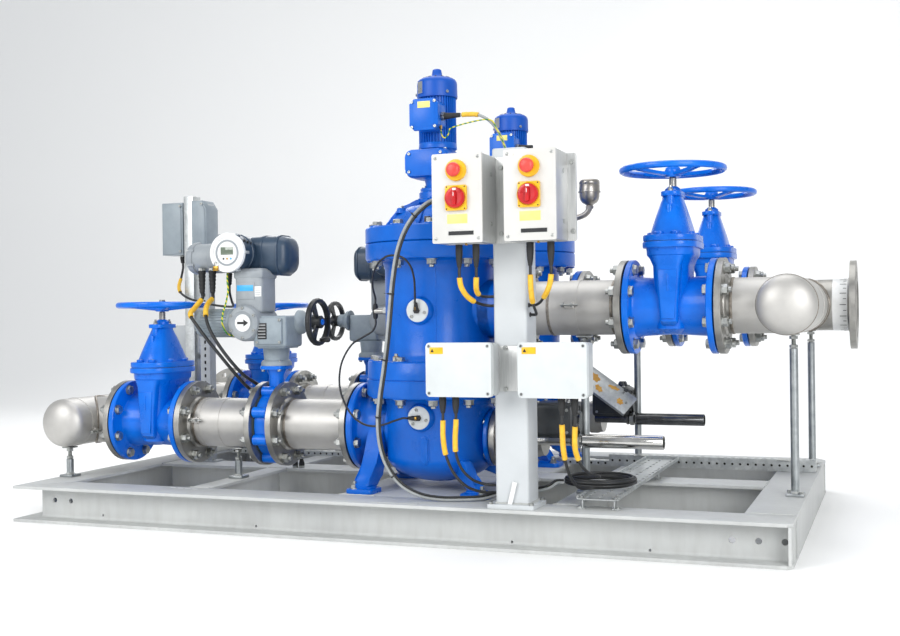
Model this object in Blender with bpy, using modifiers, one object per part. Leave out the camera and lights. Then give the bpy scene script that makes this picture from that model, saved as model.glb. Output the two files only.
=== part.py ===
"""Twin-stream strainer package: two cast strainer vessels with gearmotors, stainless
pipework, gate valves, actuated lug valves and local control boxes on a steel frame."""

from math import cos, sin, pi, radians

import bmesh
import bpy
from mathutils import Vector

# Plan: X runs along the frame from inlet to outlet, Y from the front to the back.
PLAN_CENTRE_X = -0.01225
PLAN_CENTRE_Y = -0.1128
GAP = 0.0003

# Frame of wide-flange beams
BEAM_H = 0.120
BEAM_W = 0.140
BEAM_WEB = 0.008
BEAM_FLANGE = 0.010
FRAME_LEFT = -1.290
FRAME_RIGHT = 1.235
FRAME_FRONT = -0.770
FRAME_BACK = 0.680
MID_RAIL_Y = -0.045
CROSS_W = 0.075
BEARER_W = 0.120

# Streams
FRONT_Y = -0.387
REAR_Y = 0.387
LOW_Z = 0.312
HIGH_Z = 0.692
PIPE_R = 0.08415
FLANGE_R = 0.1425
FLANGE_T = 0.022
VALVE_FACE = 0.267
LUG_FACE = 0.056

INLET_HEADER_X = -1.255
INLET_VALVE_X = -0.9528
LUG_X = -0.4936
VESSEL_X = 0.109
VESSEL_FACE = 0.279
OUTLET_VALVE_X = 0.8665
OUTLET_HEADER_X = 1.206
STUB_FACE_X = 1.373
STUB_Y = 0.079
JACK_X = -0.648
POST_X = 0.588
JACK_R = 0.0125

# Gate valve, heights above the pipe centre
WHEEL_R = 0.160
WHEEL_RISE = 0.411
STEM_RISE = 0.388

# Vessel heights above the floor
VESSEL_R = 0.176
VESSEL_FLANGE_R = 0.238
MID_FLANGE_LOW = 0.418
MID_FLANGE_HIGH = 0.530
TOP_FLANGE_LOW = 0.852
COVER_LOW = 0.905
COVER_HIGH = 0.956
BOSS_TOP = 1.072
FOOT_OUT = 0.190
DRAIN_Z = 0.286
DRAIN_R = 0.0925

# Column and boxes
COLUMN_X = 0.4605
COLUMN_Y = -0.687
COLUMN_W = 0.100
COLUMN_TOP = 1.150
BOX_DEPTH = 0.124
BOX_W = 0.148
BOX_H = 0.250
BOX_Z = 1.000
BOX_LEFT_X = 0.352
BOX_RIGHT_X = 0.5635
BOX_GLANDS = {"left": (-0.017, 0.034), "right": (-0.0185, 0.0415)}
STOP_Z = 1.077
DIAL_Z = 1.000

COLORS = {
    "steel_grey": ((0.42, 0.43, 0.43), 0.55, 0.1),
    "stainless": ((0.62, 0.61, 0.58), 0.35, 0.9),
    "valve_blue": ((0.004, 0.11, 0.52), 0.32, 0.0),
    "vessel_blue": ((0.015, 0.12, 0.36), 0.38, 0.0),
    "motor_blue": ((0.03, 0.13, 0.30), 0.4, 0.0),
    "actuator_grey": ((0.20, 0.22, 0.24), 0.45, 0.0),
    "box_grey": ((0.45, 0.46, 0.46), 0.5, 0.0),
    "red": ((0.6, 0.02, 0.02), 0.4, 0.0),
    "black": ((0.015, 0.015, 0.016), 0.5, 0.0),
    "zinc": ((0.6, 0.6, 0.6), 0.4, 0.9),
}

for old in list(bpy.data.objects):
    bpy.data.objects.remove(old, do_unlink=True)

parts = bpy.data.collections.new("strainer_package")
tools = bpy.data.collections.new("joining_shapes")
bpy.context.scene.collection.children.link(parts)
bpy.context.scene.collection.children.link(tools)

root = bpy.data.objects.new("package_origin", None)
root.location = (-PLAN_CENTRE_X, -PLAN_CENTRE_Y, 0.0)
parts.objects.link(root)

TURN = {"Z": (0, 0, 0), "-Z": (pi, 0, 0), "X": (0, pi / 2, 0), "-X": (0, -pi / 2, 0),
        "Y": (-pi / 2, 0, 0), "-Y": (pi / 2, 0, 0)}
ALONG = {"Z": (0, 0, 0), "X": (pi / 2, 0, pi / 2), "Y": (pi / 2, 0, 0)}


def place(obj, at, turn=(0, 0, 0)):
    obj.parent = root
    obj.location = at
    obj.rotation_euler = turn
    return obj


def from_bmesh(bm, at, turn=(0, 0, 0)):
    mesh = bpy.data.meshes.new("shape")
    bmesh.ops.recalc_face_normals(bm, faces=bm.faces)
    bm.to_mesh(mesh)
    bm.free()
    obj = bpy.data.objects.new("shape", mesh)
    tools.objects.link(obj)
    return place(obj, at, turn)


def box(size, at, turn=(0, 0, 0)):
    bm = bmesh.new()
    bmesh.ops.create_cube(bm, size=1.0)
    bmesh.ops.scale(bm, vec=size, verts=bm.verts)
    return from_bmesh(bm, at, turn)


def rod(radius, length, at, axis="Z", sides=20, top_radius=None, stretch=(1, 1, 1)):
    """A cylinder or cone centred at a point, its length along an axis."""
    bm = bmesh.new()
    top = radius if top_radius is None else top_radius
    bmesh.ops.create_cone(bm, cap_ends=True, segments=sides, radius1=radius, radius2=top,
                          depth=length)
    bmesh.ops.scale(bm, vec=stretch, verts=bm.verts)
    return from_bmesh(bm, at, TURN[axis])


def turned(profile, at, axis="Z", sides=20):
    """A turned solid from (radius, height) points listed from the top down."""
    bm = bmesh.new()
    last = None
    for r, h in profile:
        v = bm.verts.new((r, 0, h))
        if last is not None:
            bm.edges.new((last, v))
        last = v
    mesh = bpy.data.meshes.new("profile")
    bm.to_mesh(mesh)
    bm.free()
    obj = bpy.data.objects.new("turned", mesh)
    tools.objects.link(obj)
    screw = obj.modifiers.new("turn", "SCREW")
    screw.steps = sides
    screw.render_steps = sides
    screw.use_merge_vertices = True
    screw.merge_threshold = 0.0001
    return place(obj, at, TURN[axis])


def prism(outline, thickness, at, along="Z"):
    """A flat outline with a thickness, lying across the named axis."""
    curve = bpy.data.curves.new("outline", "CURVE")
    curve.dimensions = "2D"
    curve.fill_mode = "BOTH"
    curve.extrude = thickness / 2
    spline = curve.splines.new("POLY")
    spline.points.add(len(outline) - 1)
    for point, (u, v) in zip(spline.points, outline):
        point.co = (u, v, 0, 1)
    spline.use_cyclic_u = True
    return as_mesh(curve, at, ALONG[along])


def as_mesh(curve, at, turn=(0, 0, 0)):
    obj = bpy.data.objects.new("curve", curve)
    tools.objects.link(obj)
    bpy.context.view_layer.update()
    graph = bpy.context.evaluated_depsgraph_get()
    mesh = bpy.data.meshes.new_from_object(obj.evaluated_get(graph))
    bpy.data.objects.remove(obj, do_unlink=True)
    bm = bmesh.new()
    bm.from_mesh(mesh)
    bmesh.ops.remove_doubles(bm, verts=bm.verts, dist=0.00001)
    bmesh.ops.recalc_face_normals(bm, faces=bm.faces)
    bm.to_mesh(mesh)
    bm.free()
    solid = bpy.data.objects.new("solid", mesh)
    tools.objects.link(solid)
    return place(solid, at, turn)


def tube(points, radius, resolution=2):
    """A round tube through points, with closed ends."""
    curve = bpy.data.curves.new("tube", "CURVE")
    curve.dimensions = "3D"
    curve.bevel_depth = radius
    curve.bevel_resolution = resolution
    curve.use_fill_caps = True
    spline = curve.splines.new("POLY")
    spline.points.add(len(points) - 1)
    for point, co in zip(spline.points, points):
        point.co = (co[0], co[1], co[2], 1)
    return as_mesh(curve, (0, 0, 0))


def material(name, kind):
    color, rough, metal = COLORS[kind]
    mat = bpy.data.materials.new(name)
    mat.use_nodes = True
    shader = mat.node_tree.nodes["Principled BSDF"]
    shader.inputs["Base Color"].default_value = (*color, 1.0)
    shader.inputs["Roughness"].default_value = rough
    shader.inputs["Metallic"].default_value = metal
    return mat


def piece(name, kind, solids, cuts=()):
    """Joins solids into one named part, then takes the cuts out of it."""
    main = solids[0]
    main.name = name
    main.data.name = name
    tools.objects.unlink(main)
    parts.objects.link(main)
    for other, how in [(s, "UNION") for s in solids[1:]] + [(c, "DIFFERENCE") for c in cuts]:
        mod = main.modifiers.new(how.lower(), "BOOLEAN")
        mod.operation = how
        mod.object = other
        other.hide_render = True
        other.display_type = "WIRE"
    main.data.materials.clear()
    main.data.materials.append(material(name + "_paint", kind))
    main.data.shade_smooth()
    main.data.set_sharp_from_angle(angle=radians(35))
    return main


def beam(width, length, at, along, web_side=0):
    """A rolled beam: two flanges and a web, in the middle or at one side (+1 or -1)."""
    x, y, z = at
    web_at = web_side * (width - BEAM_WEB) / 2
    sizes = {"X": lambda w, h: (length, w, h), "Y": lambda w, h: (w, length, h)}[along]
    shift = {"X": (0, web_at, 0), "Y": (web_at, 0, 0)}[along]
    rise = (BEAM_H - BEAM_FLANGE) / 2
    return [box(sizes(width, BEAM_FLANGE), (x, y, z + rise)),
            box(sizes(width, BEAM_FLANGE), (x, y, z - rise)),
            box(sizes(BEAM_WEB, BEAM_H - BEAM_FLANGE), (x + shift[0], y + shift[1], z))]


def oblong(length, width, steps=4):
    """An outline with round corners, long side along the first axis."""
    r = width * 0.42
    a, b = length / 2 - r, width / 2 - r
    points = []
    for cx, cy, start in ((a, b, 0), (-a, b, 90), (-a, -b, 180), (a, -b, 270)):
        for k in range(steps):
            t = radians(start + 90 * k / (steps - 1))
            points.append((cx + r * cos(t), cy + r * sin(t)))
    return points


def flange(face_x, y, z, back, radius=FLANGE_R, thick=FLANGE_T):
    """A flange whose face is at face_x and whose back lies towards back (+1 or -1)."""
    return rod(radius, thick, (face_x + back * thick / 2, y, z), "X", 16)


# Frame
inner_left = FRAME_LEFT + BEAM_W + GAP
inner_right = FRAME_RIGHT - BEAM_W - GAP
mid_x = (inner_left + inner_right) / 2
rail_length = inner_right - inner_left
beam_z = BEAM_H / 2
front_rail_y = FRAME_FRONT + BEAM_W / 2
back_rail_y = FRAME_BACK - BEAM_W / 2

rail_from, rail_to = inner_left, FRAME_RIGHT
piece("rail_front", "steel_grey", beam(BEAM_W, rail_to - rail_from, (
    (rail_from + rail_to) / 2, front_rail_y, beam_z), "X"))
stand_y = 0.0
stand = [box((0.130, 0.060, 1.030), (-1.030, stand_y - 0.005, BEAM_H - 0.002 + 0.515)),
         box((0.190, 0.090, 0.205), (-1.110, stand_y + 0.030, 1.025)),
         box((0.180, 0.080, 0.146), (-1.150, stand_y + 0.030, 0.575)),
         rod(0.0115, 0.040, (-1.135, stand_y + 0.020, 0.912), "Z", 8)]
rail_glands = [rod(0.011, 0.032, (gx, gy, BEAM_H + 0.014), "Z", 8)
               for gx, gy in ((-0.588, -0.090), (-0.564, -0.085))]
piece("rail_mid", "steel_grey",
      beam(BEAM_W, rail_length, (mid_x, MID_RAIL_Y, beam_z), "X") + stand + rail_glands)
piece("rail_rear", "steel_grey", beam(BEAM_W, rail_to - rail_from, (
    (rail_from + rail_to) / 2, back_rail_y, beam_z), "X"))


def jack(x, y, top, foot=0.052):
    """A tube on a foot plate with a narrower threaded neck and a saddle."""
    plate = 0.008
    neck = 0.045
    return [box((foot, foot, plate + 0.002), (x, y, BEAM_H + plate / 2 - 0.001)),
            rod(JACK_R, top - neck - BEAM_H - plate / 2,
                (x + 0.0006, y + 0.0004, (BEAM_H + plate / 2 + top - neck) / 2), sides=12),
            rod(0.007, neck + 0.004, (x + 0.0006, y + 0.0004, top - neck / 2 - 0.002), sides=9)]


# End beams, with the jacks and posts that carry the headers
depth = FRAME_BACK - FRAME_FRONT
left_beam = beam(BEAM_W, depth, (FRAME_LEFT + BEAM_W / 2, (FRAME_FRONT + FRAME_BACK) / 2,
                                 beam_z), "Y")
under_inlet = LOW_Z - PIPE_R - GAP
piece("end_left", "steel_grey",
      left_beam + jack(INLET_HEADER_X, -0.520, under_inlet)
      + jack(INLET_HEADER_X, 0.250, under_inlet))

right_y0 = FRAME_FRONT + BEAM_W + GAP
right_y1 = FRAME_BACK - BEAM_W - GAP
right_beam = beam(BEAM_W, right_y1 - right_y0,
                  (FRAME_RIGHT - BEAM_W / 2, (right_y0 + right_y1) / 2, beam_z), "Y", 1)
under_outlet = HIGH_Z - PIPE_R - GAP
piece("end_right", "steel_grey",
      right_beam + jack(OUTLET_HEADER_X - 0.004, -0.280, under_outlet)
      + jack(OUTLET_HEADER_X - 0.004, 0.440, under_outlet))

# Cross members between the rails
bays = {"front": (FRAME_FRONT + BEAM_W + GAP, MID_RAIL_Y - BEAM_W / 2 - GAP, FRONT_Y),
        "rear": (MID_RAIL_Y + BEAM_W / 2 + GAP, FRAME_BACK - BEAM_W - GAP, REAR_Y)}
for side, (y0, y1, stream_y) in bays.items():
    span, middle = y1 - y0, (y0 + y1) / 2
    for name, x, carried in (
            ("cross_spool_", JACK_X, jack(JACK_X, stream_y, LOW_Z - PIPE_R - GAP)),
            ("cross_post_", POST_X, jack(POST_X, stream_y, under_outlet))):
        piece(name + side, "steel_grey",
              beam(CROSS_W, span, (x, middle, beam_z), "Y") + carried)
    bearer = []
    for sx in (-1, 1):
        bearer += beam(BEARER_W, span, (VESSEL_X + sx * FOOT_OUT, middle, beam_z), "Y")
    bearer.append(box((2 * FOOT_OUT, span, 0.008), (VESSEL_X, middle, BEAM_H - 0.0045)))
    piece("vessel_bearer_" + side, "steel_grey", bearer)


# Inlet header: capped in front, flanged behind, one branch to each stream
def cap_profile(radius, straight, dome):
    points = [(0, straight + dome)]
    for k in range(1, 5):
        t = radians(90 - 22.5 * k)
        points.append((radius * cos(t), straight + dome * sin(t)))
    return points


header_front, header_back = -0.550, 0.600
cap = cap_profile(PIPE_R, 0.0, 0.045)
header_length = header_back - header_front
inlet_solids = [
    turned([(r, z) for r, z in cap] + [(PIPE_R, -header_length), (0, -header_length)],
           (INLET_HEADER_X, header_front, LOW_Z), "-Y", 20),
    rod(FLANGE_R, FLANGE_T, (INLET_HEADER_X, header_back - FLANGE_T / 2, LOW_Z), "Y", 16)]
inlet_branch_face = INLET_VALVE_X - VALVE_FACE / 2 - GAP
for y in (FRONT_Y, REAR_Y):
    length = inlet_branch_face - INLET_HEADER_X
    inlet_solids.append(rod(PIPE_R - 0.0015, length,
                            (INLET_HEADER_X + length / 2, y, LOW_Z), "X", 16))
    inlet_solids.append(flange(inlet_branch_face, y, LOW_Z, -1))
bore = rod(0.0765, 0.120, (INLET_HEADER_X, header_back - 0.055, LOW_Z), "Y", 16)
piece("inlet_header", "stainless", inlet_solids, [bore])


def gate_valve(name, x, y, z):
    """Flanged body, oblong bonnet bolted on it, gland and stem."""
    half = VALVE_FACE / 2
    neck = 0.092
    body = turned([(0, half), (FLANGE_R, half), (FLANGE_R, half - 0.020), (neck, half - 0.028),
                   (neck, -half + 0.028), (FLANGE_R, -half + 0.020), (FLANGE_R, -half),
                   (0, -half)], (x, y, z), "X", 16)
    chest = prism(oblong(0.215, 0.122), 0.255, (x, y, z + 0.0475), "Z")
    chest.rotation_euler = (0, 0, pi / 2)
    plate = prism(oblong(0.250, 0.160), 0.038, (x, y, z + 0.1925), "Z")
    plate.rotation_euler = (0, 0, pi / 2)
    bonnet = rod(0.074, 0.120, (x, y, z + 0.2705), "Z", 16, 0.030, (1.0, 1.40, 1.0))
    gland = rod(0.026, 0.050, (x, y, z + 0.3300), "Z", 10)
    stem = rod(0.011, 0.060, (x, y, z + STEM_RISE - 0.030), "Z", 8)
    return piece(name, "valve_blue", [body, chest, plate, bonnet, gland, stem])


def handwheel(name, x, y, z):
    """Rim, dished spokes and hub, turning on the stem."""
    top = z + WHEEL_RISE
    bm = bmesh.new()
    rim_r, rim_t = WHEEL_R - 0.0105, 0.0105
    ring, sides = 20, 6
    rows = []
    for i in range(ring):
        a = 2 * pi * i / ring
        row = []
        for j in range(sides):
            b = 2 * pi * j / sides
            r = rim_r + rim_t * cos(b)
            row.append(bm.verts.new((r * cos(a), r * sin(a), rim_t * sin(b))))
        rows.append(row)
    for i in range(ring):
        for j in range(sides):
            bm.faces.new((rows[i][j], rows[(i + 1) % ring][j],
                          rows[(i + 1) % ring][(j + 1) % sides], rows[i][(j + 1) % sides]))
    rim = from_bmesh(bm, (x, y, top))
    drop = top - (z + STEM_RISE + GAP)
    hub = rod(0.024, 0.036, (x, y, z + STEM_RISE + GAP + 0.018), "Z", 12)
    solids = [rim]
    for k in range(4):
        a = pi / 4 + k * pi / 2
        inner = Vector((x + 0.012 * cos(a), y + 0.012 * sin(a), top - drop + 0.010))
        outer = Vector((x + rim_r * cos(a), y + rim_r * sin(a), top))
        solids.append(tube([inner, outer], 0.0085, 1))
    solids.append(hub)
    return piece(name, "valve_blue", solids)


for side, y in (("front", FRONT_Y), ("rear", REAR_Y)):
    gate_valve("inlet_gate_valve_" + side, INLET_VALVE_X, y, LOW_Z)
    handwheel("inlet_wheel_" + side, INLET_VALVE_X, y, LOW_Z)
    gate_valve("outlet_gate_valve_" + side, OUTLET_VALVE_X, y, HIGH_Z)
    handwheel("outlet_wheel_" + side, OUTLET_VALVE_X, y, HIGH_Z)


def spool(name, x0, x1, y, z):
    """A pipe with a flange at each end."""
    half = (x1 - x0) / 2
    inner = half - FLANGE_T
    return piece(name, "stainless", [
        turned([(0, half), (FLANGE_R, half), (FLANGE_R, inner), (PIPE_R, inner),
                (PIPE_R, -inner), (FLANGE_R, -inner), (FLANGE_R, -half), (0, -half)],
               ((x0 + x1) / 2, y, z), "X", 16)])


vessel_in = VESSEL_X - VESSEL_FACE
vessel_out = VESSEL_X + VESSEL_FACE
lug_in, lug_out = LUG_X - LUG_FACE / 2, LUG_X + LUG_FACE / 2
for side, y in (("front", FRONT_Y), ("rear", REAR_Y)):
    spool("inlet_spool_a_" + side, INLET_VALVE_X + VALVE_FACE / 2 + GAP, lug_in - GAP, y, LOW_Z)
    spool("inlet_spool_b_" + side, lug_out + GAP, vessel_in - GAP, y, LOW_Z)
    spool("outlet_spool_" + side, vessel_out + GAP, OUTLET_VALVE_X - VALVE_FACE / 2 - GAP, y,
          HIGH_Z)


# Lug valves and their actuators
LUG_TOP = 0.510
WHEEL_AXIS_Z = 0.657


def lug_valve(name, y):
    solids = [rod(0.1380, LUG_FACE, (LUG_X, y, LOW_Z), "X", 20),
              rod(0.028, LUG_TOP - 0.006 - LOW_Z - 0.10, (LUG_X, y, (LUG_TOP - 0.006 + LOW_Z
                                                                    + 0.10) / 2), "Z", 14),
              box((0.088, 0.100, 0.012), (LUG_X, y, LUG_TOP - 0.006))]
    return piece(name, "valve_blue", solids)


def actuator(name, y, way):
    """Quarter-turn gearbox, motor, handwheel hub and display head. way is +1 or -1."""
    x = LUG_X

    def at(dx, dy, z):
        return (x + way * dx, y + way * dy, z)

    base = rod(0.052, 0.066, at(0, 0, LUG_TOP + GAP + 0.033), "Z", 16)
    body = box((0.128, 0.120, 0.108), at(0.029, -0.040, 0.6275))
    cover = rod(0.062, 0.150, at(-0.062, -0.045, 0.657), "Y", 16)
    motor = rod(0.050, 0.150, at(-0.195, -0.045, 0.657), "X", 16)
    hub = rod(0.042, 0.052, at(0.116, 0.0, WHEEL_AXIS_Z), "X", 16)
    neck = box((0.120, 0.110, 0.150), at(-0.070, -0.045, 0.765))
    head = rod(0.066, 0.250, at(-0.110, -0.010, 0.893), "Y", 16)
    house = box((0.130, 0.130, 0.140), at(0.022, 0.010, 0.885))
    terminal = rod(0.054, 0.200, at(-0.235, 0.010, 0.885), "X", 16)
    stub_a = rod(0.0135, 0.090, at(-0.273, -0.030, 0.805), "Z", 8)
    stub_b = rod(0.0135, 0.090, at(-0.231, -0.030, 0.805), "Z", 8)
    stub_c = rod(0.0115, 0.060, at(-0.200, 0.030, 0.820), "Z", 8)
    return piece(name, "actuator_grey",
                 [body, base, cover, motor, hub, neck, head, house, terminal, stub_a, stub_b,
                  stub_c])


def actuator_wheel(name, y, way):
    x = LUG_X + way * (0.142 + GAP)
    disc = rod(0.080, 0.020, (x + way * 0.018, y, WHEEL_AXIS_Z), "X", 20)
    hub = rod(0.022, 0.034, (x + way * 0.017, y, WHEEL_AXIS_Z), "X", 14)
    grip = rod(0.009, 0.036, (x + way * 0.044, y, WHEEL_AXIS_Z - 0.060), "X", 10)
    return piece(name, "black", [disc, hub, grip])


for side, y, way in (("front", FRONT_Y, 1), ("rear", REAR_Y, -1)):
    lug_valve("lug_valve_" + side, y)
    actuator("actuator_" + side, y, way)
    actuator_wheel("actuator_wheel_" + side, y, way)


# Strainer vessels
def vessel(name, y):
    """Cast body on four feet, with inlet, outlet and drain branches."""
    low = 0.141
    body = turned([
        (0, COVER_LOW - GAP), (VESSEL_FLANGE_R, COVER_LOW - GAP),
        (VESSEL_FLANGE_R, TOP_FLANGE_LOW), (VESSEL_R, TOP_FLANGE_LOW - 0.012),
        (VESSEL_R, MID_FLANGE_HIGH + 0.010), (VESSEL_FLANGE_R, MID_FLANGE_HIGH),
        (VESSEL_FLANGE_R, MID_FLANGE_LOW), (VESSEL_R, MID_FLANGE_LOW - 0.012),
        (VESSEL_R, low + 0.075), (VESSEL_R * 0.9, low + 0.035), (VESSEL_R * 0.6, low + 0.006),
        (0, low)], (VESSEL_X, y, 0), "Z", 20)
    body.rotation_euler = (0, 0, radians(7.3))
    solids = [body]
    reach = VESSEL_FACE
    solids.append(rod(0.094, reach, (VESSEL_X - reach / 2, y, LOW_Z), "X", 16))
    solids.append(flange(vessel_in, y, LOW_Z, 1))
    solids.append(rod(0.094, reach, (VESSEL_X + reach / 2, y, HIGH_Z), "X", 16))
    solids.append(flange(vessel_out, y, HIGH_Z, -1))
    drain_reach = 0.298 - VESSEL_X
    solids.append(rod(0.052, drain_reach, (VESSEL_X + drain_reach / 2, y, DRAIN_Z), "X", 12))
    solids.append(flange(0.298, y, DRAIN_Z, -1, DRAIN_R, 0.020))
    for sx in (-1, 1):
        for sy in (-1, 1):
            foot_x, foot_y = VESSEL_X + sx * FOOT_OUT, y + sy * FOOT_OUT
            if y > 0 and sy > 0:
                foot_y = y + 0.135
            solids.append(box((0.090, 0.090, 0.014),
                              (foot_x, foot_y, BEAM_H + GAP + 0.007)))
            start = Vector((foot_x - sx * 0.010, foot_y - sy * 0.010, BEAM_H + 0.0245))
            inner = Vector((VESSEL_X + sx * 0.090, y + sy * 0.090, 0.225))
            solids.append(tube([start, inner], 0.022, 1))
    pads = [(-1, 0.690, 0.036), (-1, 0.358, 0.036)]
    for sy, z, r in pads:
        solids.append(rod(r, 0.030, (VESSEL_X, y - VESSEL_R - 0.004, z), "Y", 12))
    face = y - VESSEL_R - 0.019
    solids += [rod(0.0095, 0.024, (VESSEL_X + 0.0006, face - 0.010, 0.6895), "Y", 10),
               rod(0.0075, 0.026, (VESSEL_X, face - 0.014, 0.701), "Z", 8),
               rod(0.0095, 0.024, (VESSEL_X + 0.0006, face - 0.010, 0.3586), "Y", 10),
               rod(0.0075, 0.034, (VESSEL_X - 0.014, face - 0.014, 0.358), "X", 8),
               rod(0.010, 0.060, (VESSEL_X - VESSEL_R - 0.010, y - 0.0324, 0.6906), "X", 10),
               rod(0.0085, 0.050, (VESSEL_X - VESSEL_R - 0.038, y - 0.033, 0.690), "Z", 8)]
    return piece(name, "vessel_blue", solids)


def vessel_cover(name, y, extra=()):
    """Bolted cover with a dome and a machined boss for the gearmotor."""
    solid = turned([(0, BOSS_TOP), (0.062, BOSS_TOP), (0.066, 1.030), (0.120, 1.020),
                    (0.165, COVER_HIGH + 0.020), (0.180, COVER_HIGH), (VESSEL_FLANGE_R,
                                                                       COVER_HIGH),
                    (VESSEL_FLANGE_R, COVER_LOW), (0, COVER_LOW)], (VESSEL_X, y, 0), "Z", 20)
    return piece(name, "vessel_blue", [solid] + list(extra))


def pot(y):
    """Small stainless pot on a bent tube at the edge of the cover."""
    px, pz = 0.414, 1.130
    bend = [(0.318, COVER_HIGH - 0.004), (0.318, 0.985), (0.322, 1.005), (0.334, 1.023),
            (0.352, 1.033), (0.372, 1.037), (0.392, 1.042), (0.406, 1.053), (0.414, 1.070),
            (0.414, 1.090)]
    return [turned([(0, 0.048), (0.026, 0.048), (0.036, 0.040), (0.036, -0.040),
                    (0.026, -0.048), (0, -0.048)], (px, y, pz), "Z", 12),
            tube([(u, y, v) for u, v in bend], 0.009, 1)]


def gearmotor(name, y):
    """Gearbox, adaptor, finned stator, fan cover and terminal box, standing on the cover."""
    x = VESSEL_X
    base = BOSS_TOP + GAP
    column = turned([(0, 1.470), (0.014, 1.470), (0.018, 1.452), (0.030, 1.445),
                     (0.062, 1.430), (0.066, 1.380), (0.060, 1.378), (0.060, 1.215),
                     (0.056, 1.205), (0.050, 1.150), (0.050, base + 0.012), (0.058, base + 0.012),
                     (0.058, base), (0, base)], (x, y, 0), "Z", 20)
    gear = box((0.150, 0.140, 0.092), (x - 0.018, y, 1.163))
    terminal = box((0.098, 0.080, 0.100), (x + 0.004, y - 0.092, 1.305))
    gland = rod(0.012, 0.070, (x + 0.079, y - 0.095, 1.300), "X", 10)
    return piece(name, "motor_blue", [column, gear, terminal, gland])


def drain(name, y):
    """Drain valve with its shaft and stainless tube, and the small drive above it."""
    face = 0.298 + GAP
    solids = [
        turned([(0, 0.162), (0.055, 0.162), (0.060, 0.140), (0.060, 0.030), (DRAIN_R, 0.022),
                (DRAIN_R, 0), (0, 0)], (face, y, DRAIN_Z), "X", 16),
        box((0.140, 0.130, 0.110), (0.500, y - 0.010, DRAIN_Z + 0.060)),
        rod(0.0165, 0.180, (0.530, y - 0.050, DRAIN_Z), "X", 12),
        rod(0.0212, 0.245, (0.7175, y - 0.050, DRAIN_Z), "X", 16)]
    if y > 0:
        solids.insert(2, box((0.206, 0.088, 0.008), (0.4982, y - 0.0567, 0.3963), (0, 0.78, 0)))
    return piece(name, "stainless", solids)


for side, y in (("front", FRONT_Y), ("rear", REAR_Y)):
    vessel("vessel_" + side, y)
    vessel_cover("vessel_cover_" + side, y, pot(y) if side == "rear" else ())
    gearmotor("gearmotor_" + side, y)
    drain("drain_" + side, y)

# Outlet header: capped at both ends, with an open flanged stub
outlet_branch_face = OUTLET_VALVE_X + VALVE_FACE / 2 + GAP
header_half = 0.545
outlet_solids = [turned(
    cap_profile(PIPE_R, header_half, 0.045)
    + [(r, -z) for r, z in reversed(cap_profile(PIPE_R, header_half, 0.045))],
    (OUTLET_HEADER_X, 0, HIGH_Z), "-Y", 20)]
for y in (FRONT_Y, REAR_Y):
    length = OUTLET_HEADER_X - outlet_branch_face
    outlet_solids.append(rod(PIPE_R - 0.0015, length, (OUTLET_HEADER_X - length / 2, y, HIGH_Z),
                             "X", 16))
    outlet_solids.append(flange(outlet_branch_face, y, HIGH_Z, 1))
stub = STUB_FACE_X - OUTLET_HEADER_X
outlet_solids.append(rod(PIPE_R - 0.0015, stub, (OUTLET_HEADER_X + stub / 2, STUB_Y, HIGH_Z), "X",
                         16))
outlet_solids.append(flange(STUB_FACE_X, STUB_Y, HIGH_Z, -1))
stub_bore = rod(0.0765, 0.120, (STUB_FACE_X - 0.050, STUB_Y, HIGH_Z), "X", 16)
piece("outlet_header", "stainless", outlet_solids, [stub_bore])

# Column with its plates and junction boxes
column_z0 = BEAM_H + GAP
plate_y = COLUMN_Y - COLUMN_W / 2 - 0.003
column_solids = [
    box((COLUMN_W, COLUMN_W, COLUMN_TOP - column_z0 - 0.004),
        (COLUMN_X, COLUMN_Y, (COLUMN_TOP + column_z0 + 0.004) / 2)),
    box((0.140, 0.130, 0.012), (COLUMN_X, COLUMN_Y - 0.006, column_z0 + 0.006)),
    box((0.392, 0.008, 0.246), (0.466, plate_y, 1.000)),
    box((0.460, 0.008, 0.130), (0.469, plate_y, 0.520))]
for x0, x1 in ((0.233, 0.430), (0.508, 0.705)):
    column_solids.append(box((x1 - x0, 0.078, 0.154), ((x0 + x1) / 2, plate_y - 0.042, 0.519)))
column_solids.append(rod(0.011, 0.024, (0.440, COLUMN_Y + COLUMN_W / 2 + 0.010, 1.058), "Y",
                         10))
gland_y = plate_y - 0.042
for gx in (0.269, 0.309, 0.623, 0.660):
    column_solids.append(rod(0.011, 0.054, (gx, gland_y, 0.442 - 0.023), "Z", 10))
piece("column", "steel_grey", column_solids)

# Control boxes with a stop button and an isolator dial each
plate_front = plate_y - 0.004
box_front = plate_front - GAP - BOX_DEPTH
for side, x in (("left", BOX_LEFT_X), ("right", BOX_RIGHT_X)):
    shell = box((BOX_W, BOX_DEPTH, BOX_H), (x, plate_front - GAP - BOX_DEPTH / 2, BOX_Z))
    ring = rod(0.030, 0.016, (x, box_front - 0.006, STOP_Z), "Y", 18)
    dial_plate = box((0.062, 0.012, 0.070), (x, box_front - 0.004, DIAL_Z))
    glands = [rod(0.011, 0.070, (x + dx, box_front + 0.060, BOX_Z - BOX_H / 2 - 0.032), "Z", 10)
              for dx in BOX_GLANDS[side]]
    hole = rod(0.0125, 0.030, (x, box_front - 0.008, STOP_Z), "Y", 16)
    piece("control_box_" + side, "box_grey", [shell, ring, dial_plate] + glands, [hole])
    stem = rod(0.0118, 0.024, (x, box_front - 0.012, STOP_Z), "Y", 16)
    head = rod(0.020, 0.014, (x, box_front - 0.029, STOP_Z), "Y", 18)
    piece("stop_button_" + side, "red", [stem, head])
    knob = rod(0.024, 0.010, (x, box_front - 0.010 - GAP - 0.005, DIAL_Z), "Y", 18)
    grip = box((0.012, 0.018, 0.040), (x, box_front - 0.010 - GAP - 0.018, DIAL_Z))
    piece("isolator_dial_" + side, "red", [knob, grip])

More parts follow.
